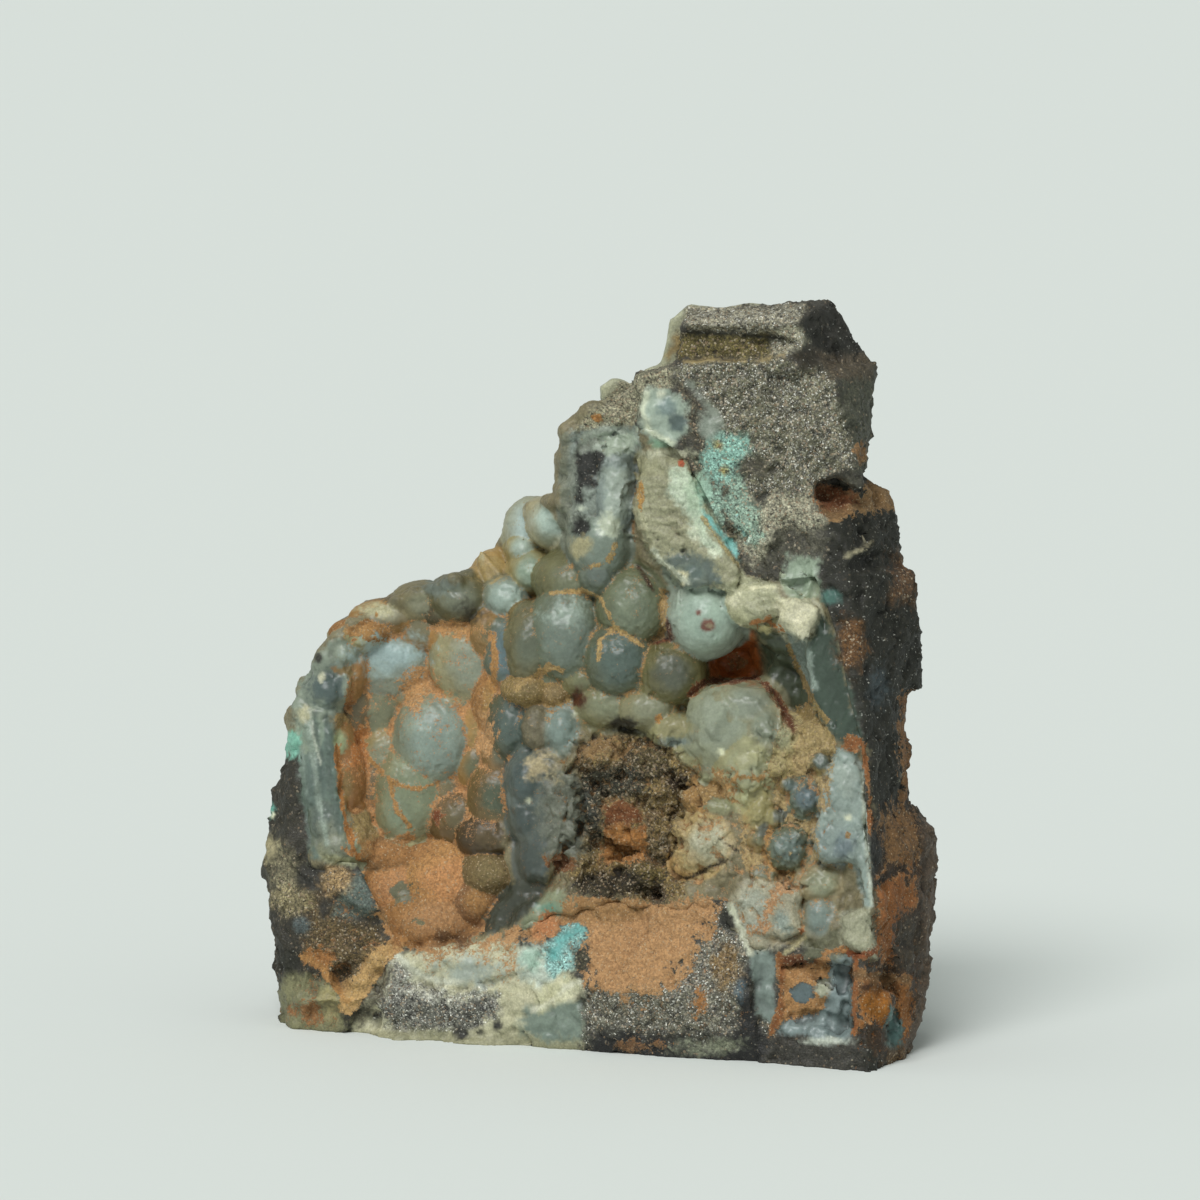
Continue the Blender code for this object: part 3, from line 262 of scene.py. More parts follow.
# Round forms: middle (across, up), crown's set back, half-sizes, then the surface,
# the colour of the middle, its share and the colour of the rim. The middle is the clean
# crown's own colour and also painted light: mostly lighter than the rim, as painted glow
# through the stone and painted highlight.
DOMES = {
    "cluster_main": (-2.0, 26.2, -0.4, 2.4, 3.3, 2.9, "gem", "#717D74", 0.80, "#646A54"),
    "cluster_top": (-1.7, 29.4, 0.5, 2.4, 1.9, 2.9, "gem", "#6E725C", 0.60, "#6A6848"),
    "cluster_upper_right": (2.0, 27.8, -0.3, 2.3, 2.6, 2.7, "gem", "#727B68", 0.75, "#6A6E54"),
    "cluster_low": (1.2, 24.7, -0.5, 2.3, 2.5, 2.7, "gem", "#56655F", 0.75, "#5E634F"),
    "cluster_low_right": (4.3, 23.9, -0.3, 2.1, 2.1, 2.5, "gem", "#55594C", 0.65, "#6A6644"),
    "cluster_under": (-0.9, 23.6, 0.6, 2, 1.5, 2.3, "gem", "#74765A", 0.60, "#746E4A"),
    "spot_ball": (6.3, 27.2, -0.7, 2.5, 2.6, 3.2, "gem", "#9CAEA2", 0.80, "#949E92"),
    "pale_lobe_left": (0.6, 22.0, 0.5, 2.2, 1.7, 2, "gem", "#80846C", 0.60, "#7E7B5C"),
    "pale_lobe_right": (3.0, 21.7, 0.2, 2.1, 1.5, 2, "gem", "#848670", 0.60, "#807D60"),
    "pale_lobe_low": (4.6, 20.6, 0.3, 1.8, 1.1, 1.8, "gem", "#949272", 0.60, "#8E8A66"),
    "lobe_outer": (-0.3, 34.3, 0.1, 2.0, 4.8, 3.0, "frost", "#868F88", 0.60, "#7A8076"),
    "lobe_column": (0.8, 34.6, -0.3, 1.5, 3.9, 2.6, "gem", "#8A9692", 0.60, "#78827E"),
    "lobe_foot": (0.0, 31.6, -0.6, 2.1, 2.5, 3.0, "gem", "#7C887E", 0.75, "#6C7468"),
    "lobe_tip": (-0.1, 29.9, -0.2, 1.4, 1.6, 2.4, "gem", "#66706A", 0.70, "#606858"),
    "hollow_blue": (-12.8, 24.6, 2, 3.42, 2.78, 1.88, "gem", "#9AABA8", 0.42, "#84897A"),
    "hollow_drop": (-13.3, 21.6, 2.5, 2.14, 2.89, 1.88, "gem", "#7A7C64", 0.60, "#787456"),
    "hollow_drop_left": (-14.7, 21.9, 2.6, 1.6, 2.78, 1.65, "gem", "#6A6048", 0.60, "#765834"),
    "great_shell": (-13.0, 17.1, 2.3, 3.1, 4.1, 2.4, "gem", "#746850", 0.60, "#8A6C44"),
    "hollow_great": (-11.2, 16.7, 1.7, 2.9, 4.0, 3, "gem", "#808870", 0.70, "#7E7A5C"),
    "hollow_middle": (-9.75, 19.8, 1.5, 2.78, 3.1, 2.4, "gem", "#88968E", 0.85, "#828670"),
    "hollow_pale": (-7.7, 24.4, 2.1, 2.57, 2.89, 1.8, "gem", "#8E9484", 0.60, "#928C6C"),
    "hollow_disc_top": (-10.1, 23.7, 3.6, 1.5, 1.6, 1.27, "gem", "#747C6A", 0.60, "#957847"),
    "hollow_disc_left": (-11.7, 22.7, 3, 1.6, 1.28, 1.27, "gem", "#828670", 0.60, "#957847"),
    "hollow_disc_pale": (-10.5, 22.4, 3, 1.6, 1.28, 1.27, "gem", "#979A7C", 0.60, "#A37E42"),
    "hollow_disc_right": (-8.1, 22.2, 2.7, 1.93, 1.82, 1.42, "gem", "#7A826C", 0.60, "#9F824E"),
    "hollow_step": (-7.1, 20.2, 2.6, 1.93, 2.78, 1.5, "gem", "#9A8454", 0.50, "#AB844E"),
    "hollow_roof_left": (-10.6, 26.5, 2.6, 2.35, 1.82, 1.42, "gem", "#767058", 0.60, "#86683A"),
    "hollow_roof_right": (-8.8, 26, 2.7, 1.93, 1.6, 1.42, "gem", "#827E60", 0.60, "#9B7541"),
    "hollow_roof_far": (-12.8, 27, 2.4, 2.35, 1.28, 1.42, "gem", "#7C6034", 0.60, "#956F3A"),
    "hollow_wall_low": (-15.4, 17.2, 0.9, 1.39, 2.78, 1.5, "gem", "#80683E", 0.50, "#8A6238"),
    "hollow_wall_high": (-15.6, 19.6, 0.5, 0.96, 1.39, 1.65, "gem", "#92977A", 0.60, "#8E7048"),
    "hollow_low": (-8.1, 15.1, 2.1, 2.35, 2.03, 1.8, "gem", "#635A40", 0.60, "#675232"),
    "hollow_shade": (-6.2, 16.3, 1.3, 1.82, 2.46, 1.8, "gem", "#58604E", 0.55, "#6C5A38"),
    "hollow_shade_high": (-7.3, 18.3, 2.4, 1.6, 1.93, 1.5, "gem", "#63644C", 0.60, "#957544"),
    "hollow_shade_low": (-6.5, 14, 1.6, 2.14, 1.6, 1.65, "gem", "#57492F", 0.60, "#4A3C28"),
    "upper_blue": (-5.6, 28.35, 1.8, 1.6, 1.5, 2.3, "gem", "#9AAAA2", 0.85, "#6B6D5A"),
    "upper_brown": (-6.4, 29.5, 3.4, 1.4, 1.8, 2.2, "gem", "#827A52", 0.60, "#9F824E"),
    "upper_pale": (-4.2, 29.9, 2.4, 1.4, 1.5, 2.2, "gem", "#8B9B8B", 0.75, "#958A5F"),
    "far_lobe": (-4.0, 32.5, 3.8, 1.8, 2, 2.3, "gem", "#ACBCBA", 0.85, "#98977E"),
    "far_lobe_right": (-2.8, 32.9, 3.4, 1.7, 1.7, 2.2, "gem", "#A4B4AC", 0.80, "#9E977A"),
    "ridge_far_left": (-14.6, 26.0, 3.6, 1.8, 1.1, 2.3, "gem", "#9B9874", 0.60, "#86784E"),
    "ridge_left": (-12.8, 27.3, 3.2, 2.2, 1, 2.3, "gem", "#94917C", 0.60, "#7A6C4E"),
    "ridge_middle": (-10.6, 28.0, 3.6, 2, 1.4, 2.3, "gem", "#80806A", 0.60, "#70684A"),
    "ridge_right": (-8.4, 28.3, 3.6, 2, 1.6, 2.3, "gem", "#747866", 0.60, "#625E44"),
    "dark_tall": (-5.6, 25.0, 0.9, 1.4, 2.5, 2.4, "gem", "#667A80", 0.75, "#646C5E"),
    "dark_tall_right": (-4.2, 25.5, 0.5, 1.6, 2.7, 2.4, "gem", "#646A5A", 0.60, "#6A664A"),
    "dark_high": (-4.6, 27.3, 1.0, 1, 1, 2.2, "gem", "#67674E", 0.60, "#74653F"),
    "dark_lower": (-5.2, 20.8, 0.7, 1.8, 2.9, 3.2, "gem", "#525F5A", 0.75, "#575842"),
    "blue_side": (-2.3, 20.5, 0.1, 1.3, 2.0, 2.8, "gem", "#7B8A85", 0.80, "#747A6D"),
    "dusty_saddle": (-2.7, 22.7, 0.9, 1.3, 1.0, 2.4, "sand", "#857250", 0.60, "#8E7448"),
    "basin_left": (-12.0, 10.8, 1.5, 3, 3, 2.5, "sand", "#B4845A", 0.60, "#AB7C4B"),
    "basin_right": (-9.0, 11.3, 1.4, 3.1, 2.8, 2.5, "sand", "#BC885A", 0.60, "#AC804F"),
    "basin_low": (-9.8, 9.0, 1.0, 3.7, 2.3, 2.3, "sand", "#A87E56", 0.60, "#976D40"),
    "basin_corner": (-6.6, 12.0, 0.9, 1.8, 1.6, 2.2, "sand", "#7A6B49", 0.60, "#6E5C3A"),
    "basin_shade": (-7.3, 10.2, 1.2, 1.7, 1.7, 2, "sand", "#976F43", 0.60, "#815C3C"),
    "basin_step": (-12.9, 8.6, 1.2, 1.8, 1.7, 2, "sand", "#8B6F4B", 0.60, "#7D5D3C"),
    "rim_top": (-15.3, 25.2, 0.5, 1.2, 1.2, 2.6, "gem", "#8B9486", 0.70, "#767E72"),
    "rim_brow": (-16.3, 22.9, -0.3, 1.3, 1.6, 2.4, "gem", "#5C6964", 0.70, "#869083"),
    "rim_brow_lip": (-15.5, 23.2, 0.6, 0.9, 1.1, 1.8, "gem", "#717C75", 0.60, "#869083"),
    "rim_upper": (-17.2, 20.3, -0.4, 1.1, 1.8, 2.2, "gem", "#7A887C", 0.70, "#8F9988"),
    "rim_middle": (-17.0, 17.5, -0.5, 1.2, 2.6, 2.2, "gem", "#63726C", 0.80, "#707E74"),
    "rim_lower": (-16.5, 15.0, -0.3, 1.3, 1.9, 2.2, "gem", "#616C66", 0.80, "#6A7466"),
    "rim_foot": (-15.6, 13.5, 0.0, 1.4, 1.2, 1.8, "gem", "#787E6E", 0.80, "#86886D"),
    "shell_upper": (-4.4, 17.4, -0.5, 1.4, 2.1, 2.8, "gem", "#485453", 0.85, "#636B66"),
    "shell_middle": (-4.3, 15.2, -0.2, 1.3, 1.6, 2.6, "gem", "#444E4C", 0.85, "#5B615A"),
    "shell_lower": (-4.0, 12.8, 0.0, 1.2, 1.9, 2.4, "gem", "#48504C", 0.85, "#5D615A"),
    "middle_mottle": (-2.4, 16.0, 0.6, 1.5, 2.4, 2.6, "grit", "#5C5E54", 0.60, "#544A38"),
    "middle_mottle_low": (-2.4, 13.2, 0.8, 1.3, 1.8, 2.4, "grit", "#5A4A36", 0.60, "#50402B"),
    "middle_tan": (0.2, 18.8, 1.2, 1.8, 1.2, 2.0, "grit", "#7E6E4A", 0.60, "#5A4C32"),
    "middle_grit_high": (3.0, 18.6, 1.4, 1.8, 1.4, 2.2, "grit", "#5E5338", 0.60, "#4E442F"),
    "middle_grit_low": (3.0, 11.9, 1.0, 1.7, 1.3, 2.0, "grit", "#60532F", 0.60, "#4E442A"),
    "dusted_lobe": (10.9, 20.0, 0.1, 1.4, 1.4, 2.2, "sand", "#979577", 0.60, "#A5976E"),
    "dusted_lobe_low": (10.7, 18.4, 0.5, 1.2, 1.1, 2.0, "sand", "#9D916A", 0.60, "#A59366"),
    "olive_lobe": (9.5, 15.5, 0.5, 1.2, 1.5, 2.2, "gem", "#979168", 0.70, "#9B8457"),
    "disc": (11.3, 13.35, -0.2, 1.35, 1.35, 1.4, "gem", "#6E7C77", 0.85, "#66684F"),
    "disc_upper": (12.3, 16.4, 0.0, 1.0, 1.25, 1.4, "gem", "#66757A", 0.80, "#6D7666"),
    "disc_top": (13.2, 18.5, 0.2, 0.8, 0.8, 1.6, "gem", "#636A61", 0.60, "#82744C"),
    "disc_small": (11.3, 17.2, 0.4, 0.7, 0.7, 1.4, "gem", "#636B5E", 0.60, "#86734B"),
    "disc_left": (10.4, 15.2, 0.5, 0.8, 0.8, 1.4, "gem", "#696D5A", 0.60, "#86734B"),
    "disc_left_low": (9.5, 13.9, 0.5, 0.8, 0.9, 1.4, "gem", "#71715A", 0.60, "#86734B"),
    "disc_low": (9.9, 11.8, 0.6, 1.2, 0.9, 1.6, "gem", "#7A7E6D", 0.60, "#867A58"),
    "olive_low": (13.3, 11.2, 0.0, 1.6, 1.3, 1.5, "gem", "#8C8F78", 0.70, "#94886A"),
    "hollow_edge_left": (-15.3, 24, 1.2, 1.39, 2.14, 1.42, "gem", "#7E6C48", 0.50, "#9A7448"),
    "hollow_top_left": (-14.5, 26.2, 1.6, 1.82, 0.96, 1.27, "sand", "#9C7448", 0.50, "#8A6238"),
    "hollow_top": (-11.4, 27.5, 2.6, 2.46, 1.07, 1.42, "gem", "#7E7656", 0.50, "#5E5236"),
    "hollow_top_right": (-8.8, 27.5, 2.8, 2.14, 1.07, 1.42, "gem", "#6C6850", 0.50, "#4E462E"),
    "hollow_corner": (-6.6, 26.2, 2.2, 1.28, 1.6, 1.42, "gem", "#6E684C", 0.50, "#8A6E44"),
    "hollow_edge_right": (-6.5, 22.1, 2, 1.28, 2.46, 1.65, "sand", "#A58454", 0.50, "#946A3E"),
    "hollow_edge_low": (-5.9, 19, 1.6, 1.28, 2.03, 1.5, "gem", "#6A6A58", 0.50, "#8A6E48"),
    "hollow_floor": (-12.6, 12.8, 2.7, 2.57, 1.28, 1.42, "sand", "#A0764C", 0.50, "#8A6844"),
    "hollow_bay": (-9.2, 16.9, 2.6, 1.6, 1.6, 1.42, "gem", "#7A7054", 0.50, "#8A6A42"),
    "grey_low": (13.2, 9.2, -0.1, 1.2, 1.6, 1.6, "gem", "#76837E", 0.80, "#85806A"),
    "hollow_great_left": (-12.9, 18.7, 2.3, 2.03, 2.46, 1.8, "gem", "#848670", 0.60, "#8E8058"),
    "hollow_great_low": (-11.9, 15.6, 1.6, 1.7, 2.3, 1.8, "gem", "#808A74", 0.75, "#868264"),
    "upper_mid": (-4.6, 31.2, 3.2, 1.1, 1.3, 2, "gem", "#9CAAA0", 0.75, "#958A5F"),
    "dark_bridge": (-4.4, 22.9, 0.5, 1.6, 1, 2.2, "sand", "#7C6C4A", 0.60, "#8A7448"),
}

# Angular broken forms, written as the round ones are.
CHUNKS = {
    "lump_crown": (7.2, 20.9, -0.9, 2.5, 2.5, 3.0, "gem", "#8B9282", 0.80, "#8D9078"),
    "lump_brow": (8.7, 22.0, -0.5, 2.3, 1.6, 2.6, "gem", "#838A7C", 0.70, "#86846A"),
    "lump_right": (9.9, 20.6, -0.3, 1.5, 2.0, 2.6, "gem", "#868D7C", 0.70, "#8D8669"),
    "lump_low": (8.8, 18.4, -0.7, 1.9, 2.3, 2.6, "gem", "#9C9F84", 0.70, "#98946F"),
    "lump_toe": (8.9, 16.6, 0.0, 1.2, 1.3, 2.0, "gem", "#A2A380", 0.70, "#9C9670"),
    "lump_left": (6.0, 19.8, -0.1, 1.5, 1.5, 2.2, "gem", "#888C78", 0.70, "#8D8A68"),
    "dusty_chunk": (6.5, 13.6, -0.4, 2.1, 2.1, 2.4, "frost", "#A3A18A", 0.70, "#A79165"),
    "dusty_chunk_low": (5.4, 12.6, 0.2, 1.3, 1.2, 2.0, "frost", "#A09168", 0.60, "#A08254"),
    "mossy_chunk": (6.6, 16.5, 0.3, 1.6, 1.3, 2.0, "sand", "#938660", 0.50, "#97784B"),
    "pale_piece": (9.3, 9.6, -0.5, 1.6, 2.3, 2.4, "frost", "#9C9F92", 0.80, "#A49E88"),
    "pale_piece_right": (11.1, 9.0, -0.1, 1.4, 1.9, 2.2, "frost", "#8A948C", 0.70, "#988A6C"),
    "tooth_chunk": (12.1, 27.0, -1.2, 1.3, 1.5, 2.4, "frost", "#C1BEA5", 0.80, "#B5B39A"),
    "lip_chunk": (9.3, 28.0, -0.6, 1.9, 1.3, 2.4, "frost", "#A8A88D", 0.80, "#9A9A7B"),
    "shoulder_chunk": (12.0, 29.4, -0.2, 1.3, 1.5, 2.2, "gem", "#98A896", 0.80, "#A3AC94"),
    "lobe_shard": (0.9, 34.2, -0.5, 0.8, 2.0, 1.8, "gem", "#98A49E", 0.85, "#86918C"),
    "lobe_shard_low": (0.6, 32.5, -0.5, 0.7, 0.9, 1.6, "gem", "#A8B2A6", 0.80, "#8A9690"),
    "lobe_cap": (0.6, 37.8, 0.2, 1.9, 1.2, 2.2, "frost", "#9EA69D", 0.80, "#8E9689"),
    "blue_white_chunk": (3.9, 39.2, -0.7, 1.6, 1.9, 2.4, "gem", "#93A299", 0.70, "#B2BBAA"),
    "plate_head": (3.5, 36.2, -0.5, 1.5, 1.1, 2.2, "frost", "#A09F82", 0.70, "#949173"),
    "plate_foot_chunk": (5.8, 30.0, -0.6, 1.8, 1.2, 2.2, "gem", "#616F6B", 0.60, "#868F80"),
    "middle_crag": (1.4, 17.3, 0.9, 1.7, 1.3, 2.0, "grit", "#5E5338", 0.60, "#6A5C40"),
    "middle_crag_right": (4.2, 16.6, 1.1, 1.3, 1.4, 2.0, "grit", "#665738", 0.60, "#74623F"),
    "sky_spike": (-7.1, 30.5, 3.6, 0.35, 0.8, 0.5, "frost", "#9C9678", 0.80, "#A58A58"),
    "middle_left": (-0.6, 15.8, 0.9, 1.2, 2.0, 1.6, "grit", "#454B50", 0.60, "#56503F"),
    "middle_right": (3.6, 14.2, 0.9, 1.2, 1.8, 1.6, "grit", "#5E5238", 0.60, "#6A5A40"),
}

# Fine ridges: height, width, rise to the right in degrees, outline.
STRIAE = {
    "cap_front": (0.22, 0.42, 38, [
        (4.4, 41.8), (11, 42.7), (14.2, 41.6), (15.0, 38.7), (15.4, 36.4), (12.4, 34.8), (8.8, 34.6), (6.6, 39.4)]),
    "cap_band": (0.20, 0.30, 2, [(4.8, 44.2), (10.2, 44.2), (10.8, 43.0), (4.8, 42.8)]),
    "plate": (0.15, 0.34, -4, [(2.2, 35.6), (4.6, 35.4), (5.6, 32.6), (4.6, 30.4), (3.0, 30.8), (2.2, 33.0)]),
    "slab": (0.10, 0.60, 62, [(13.2, 19.6), (16.0, 19.6), (16.4, 7.2), (14.6, 7.2)]),
    "cut_band": (0.08, 0.40, 70, [(11.4, 26.6), (14.2, 26.6), (15.6, 19.6), (12.6, 21.6)]),
    "rim_band": (0.08, 0.50, 84, [(-18.4, 21.0), (-15.8, 21.0), (-14.4, 12.4), (-17.4, 12.4)]),
    "right_wall": (0.14, 0.50, 78, [(15.6, 33.6), (18.6, 33.4), (19.4, 22.8), (18.6, 16.6), (16.2, 15.6)]),
}

# Broken faces of the crust: depth of the relief, its grain, outline.
BROKEN = {
    "lobe": (0.28, 1.7, [(-2.4, 38.8), (1.0, 39.4), (2.4, 37), (2.0, 33.6), (1.4, 32.4), (-2.2, 32.2)]),
    "blue_white": (0.40, 1.2, [(2.2, 41.0), (5.6, 41.0), (5.6, 37.6), (2.4, 37.4)]),
    "plate_low": (0.25, 0.9, [(2.2, 33.4), (5.0, 33.0), (8.4, 30.2), (8.2, 28.6), (4.6, 28.6), (2.6, 30.6)]),
    "plate_high": (0.12, 0.7, [(2.0, 37.4), (5.2, 37.2), (7.4, 32.4), (5.0, 33.0), (2.2, 33.4)]),
    "lips": (0.14, 1.9, [(7.2, 29.6), (13.4, 30.6), (13.4, 25.6), (11.0, 25.8), (7.2, 26.6)]),
    "pale_pieces": (0.22, 1.6, [(7.8, 11.8), (12.6, 11.4), (12.6, 7.0), (8.4, 7.0)]),
    "slab": (0.20, 1.5, [(13.2, 19.6), (16.0, 19.6), (16.6, 6.8), (14.2, 7.0)]),
    "rim_head": (0.14, 2.0, [(-18.8, 20.4), (-18.4, 24.6), (-15.0, 26.8), (-14.8, 22.4), (-16.2, 20.4)]),
    "rim_band": (0.12, 1.2, [(-18.4, 20.4), (-15.8, 20.4), (-14.4, 12.2), (-17.4, 12.2)]),
    "middle": (0.45, 1.0, [(-1.8, 20.0), (4.6, 20.4), (6.2, 16.6), (4.6, 13.2), (5.0, 10.2), (-2.6, 10.6)]),
    "mottle": (0.30, 0.9, [(-3.6, 18.4), (-1.2, 18.4), (-0.8, 12), (-3.0, 11.6)]),
    "dusty": (0.22, 1.0, [(4.4, 17.6), (9.2, 18.0), (9.2, 11.4), (4.4, 11.4)]),
    "right_ground": (0.25, 0.8, [(9.0, 20.8), (14.2, 20.8), (13.6, 10.8), (9.0, 10.8)]),
    "cluster_dust": (0.05, 0.5, [(-6, 30), (5, 30), (6, 20), (-6, 18)]),
}

PLATES = {
    "plate": (-0.8, 3.0, 0.35, [
        (2.4, 35.4), (1.9, 33.6), (2.6, 31.8), (3.6, 30.4), (5.2, 29.0), (8.0, 28.8), (8.4, 30.0),
        (6.2, 34.2), (5.2, 36.6), (3.4, 37.0)]),
    "rim_head": (0.1, 5.0, 0.3, [
        (-18.0, 20.8), (-18.2, 22.4), (-16.6, 25.0), (-15.2, 24.8), (-14.9, 23.6), (-15.1, 22.4),
        (-15.9, 21.9), (-16.4, 21.0), (-15.7, 20.0), (-16.2, 19.4)]),
    "rim_band": (-0.2, 6.0, 0.3, [
        (-18.1, 22.0), (-16.4, 21.7), (-15.9, 19.8), (-15.6, 16.2), (-14.9, 13.2), (-14.6, 12.6),
        (-16.8, 12.8), (-17.5, 16.2), (-18.0, 19.6)]),
    "shell_edge": (0.0, 5.0, 0.5, [
        (-3.6, 19.3), (-4.8, 18.5), (-5.5, 17.1), (-5.6, 15.9), (-5.3, 14.7), (-4.8, 13.7), (-4.7, 12.0),
        (-4.5, 11.4), (-3.3, 11.1), (-2.4, 12.6), (-1.5, 14.4), (-1.3, 16.8), (-1.8, 18.3), (-2.5, 18.9)]),
    "leaf_edge": (1.0, 5.0, 0.4, [
        (-7.0, 8.2), (-6.3, 9.9), (-4.8, 11.3), (-3.3, 11.4), (-2.4, 10.4), (-3.3, 9.5), (-5.1, 8.5)]),
    "lump": (-0.3, 4.0, 0.9, [
        (5.4, 22.2), (6.2, 22.8), (7.8, 23.2), (9.9, 22.8), (10.8, 21.6), (11.2, 20.1), (10.8, 18.9),
        (10.2, 18.3), (9.9, 16.8), (8.7, 16.0), (7.5, 16.8), (6.3, 18.3), (5.3, 18.9), (5.0, 20.1)]),
    "lip": (-0.4, 2.6, 0.4, [
        (7.8, 28.9), (9.3, 29.0), (11.1, 29.0), (11.0, 27.5), (9.9, 26.9), (8.4, 26.7), (7.5, 27.1),
        (7.2, 28.2)]),
    "tooth": (-0.9, 2.6, 0.3, [
        (10.6, 28.2), (12.0, 28.4), (13.1, 27.6), (13.1, 26.9), (12.3, 26.1), (12.2, 25.8), (11.6, 26.0),
        (11.3, 26.3), (10.8, 26.9)]),
    "cut_band": (0.1, 4.0, 0.3, [
        (13.2, 27.2), (14.1, 25.8), (14.7, 22.8), (15.6, 19.9), (15.4, 18.6), (14.1, 19.8), (13.2, 21.0),
        (12.7, 22.8), (12.3, 25.2)]),
    "dusty_sill": (0.3, 3.0, 0.5, [
        (11.6, 20.5), (12.4, 20.9), (13.5, 20.9), (14.3, 20.1), (13.8, 18.9), (12, 18.6), (11.0, 19.0)]),
    "blue_slab": (-0.6, 2.6, 0.3, [
        (14.3, 19.2), (15.0, 18.9), (15.6, 18.2), (15.75, 16.6), (15.85, 15.2), (15.6, 13.6), (15.3, 12.4),
        (14.6, 12.6), (13.8, 12.4), (13.0, 12.9), (12.8, 14.2), (13.2, 15.2), (13.1, 16.2), (13.5, 17.6)]),
    "slab_sliver": (-0.8, 2.6, 0.15, [
        (15.6, 14.6), (15.95, 14.4), (16.15, 12.4), (16.35, 10.2), (16.4, 9.4), (16.0, 9.4), (15.85, 10.8),
        (15.5, 12.4)]),
    "slab_foot": (-0.8, 2.6, 0.35, [
        (14.5, 9.3), (15.2, 9.7), (16.1, 9.6), (16.35, 8.4), (16.5, 6.8), (16.0, 6.9), (15.2, 7.2),
        (14.7, 7.6), (14.45, 8.4)]),
    "pale_strip": (-0.3, 2.6, 0.4, [
        (8.0, 10.2), (9.6, 11.6), (12, 10.8), (12, 8.4), (10.8, 7.8), (9.9, 7.8), (9.0, 8.0)]),
}

SEAM_OUTLINE = [
    (6.5, 37.6), (7.2, 38.1), (8.6, 38.1), (9.1, 37.3), (8.4, 35.8), (8.6, 34.4), (9.3, 33.0), (9.5, 32.0),
    (8.9, 31.5), (8.1, 32.4), (7.4, 33.8), (6.7, 35.2), (6.2, 36.4),
]
# Coats on the seam: surface, colour, cover, grain, and where the noise starts and ends.
SEAM_MOTTLE = [
    ("crumb", "#C6D8CC", 0.8, 0.9, 0.0, 0.6),
    ("crumb", "#5E9C9E", 0.8, 1.3, 0.1, 0.6),
    ("grit", "#6E6850", 0.9, 0.8, 0.15, 0.5),
]
SEAM_SET_BACK = 0.1
SEAM_DEPTH = 2.4

REAR_OUTLINE = [
    (1.6, 39.2), (0.1, 40.2), (0.0, 41.0), (0.8, 41.5), (2.2, 41.0), (3.6, 42.2), (4.0, 43.6), (4.2, 45.0),
    (5.4, 45.9), (7.2, 45.7), (9.0, 46.0), (10.4, 45.8), (12.4, 46.1), (13.6, 45.8), (14.6, 43.6),
    (14.4, 39.0), (9.0, 37.4), (3.4, 38.0),
]
REAR_DEPTHS = (3.4, 5.9)
REAR_DOMES = {
    "rear_knob_left": (1.0, 40.5, 6.6, 1.0, 1.0, 1.2),
    "rear_left": (3.6, 40.6, 7.2, 1.7, 1.7, 2.2),
    "rear_corner": (5.7, 44.0, 7.3, 1.4, 1.6, 2.2),
    "rear_top": (9.0, 43.9, 7.7, 1.7, 1.7, 2.4),
    "rear_top_right": (12.4, 44.2, 7.3, 1.5, 1.6, 2.2),
    "rear_middle": (7.4, 40.4, 7.9, 1.9, 1.9, 2.6),
    "rear_right": (11.8, 40.6, 7.6, 1.9, 1.9, 2.4),
}

# Kinds of surface: roughness, share of sparkle (painted glints, and clumps of lighter and darker tone), strength of
# grain.
SURFACES = {
    "gem": (0.40, 0.00, 0.05),
    "frost": (0.55, 0.04, 0.24),
    "crumb": (0.80, 0.10, 0.85),
    "sand": (0.95, 0.05, 0.45),
    "rock": (0.62, 0.09, 0.65),
    "glitter": (0.50, 1.00, 1.00),
    "grit": (0.85, 0.15, 1.10),
    "black": (0.70, 0.20, 0.45),
}

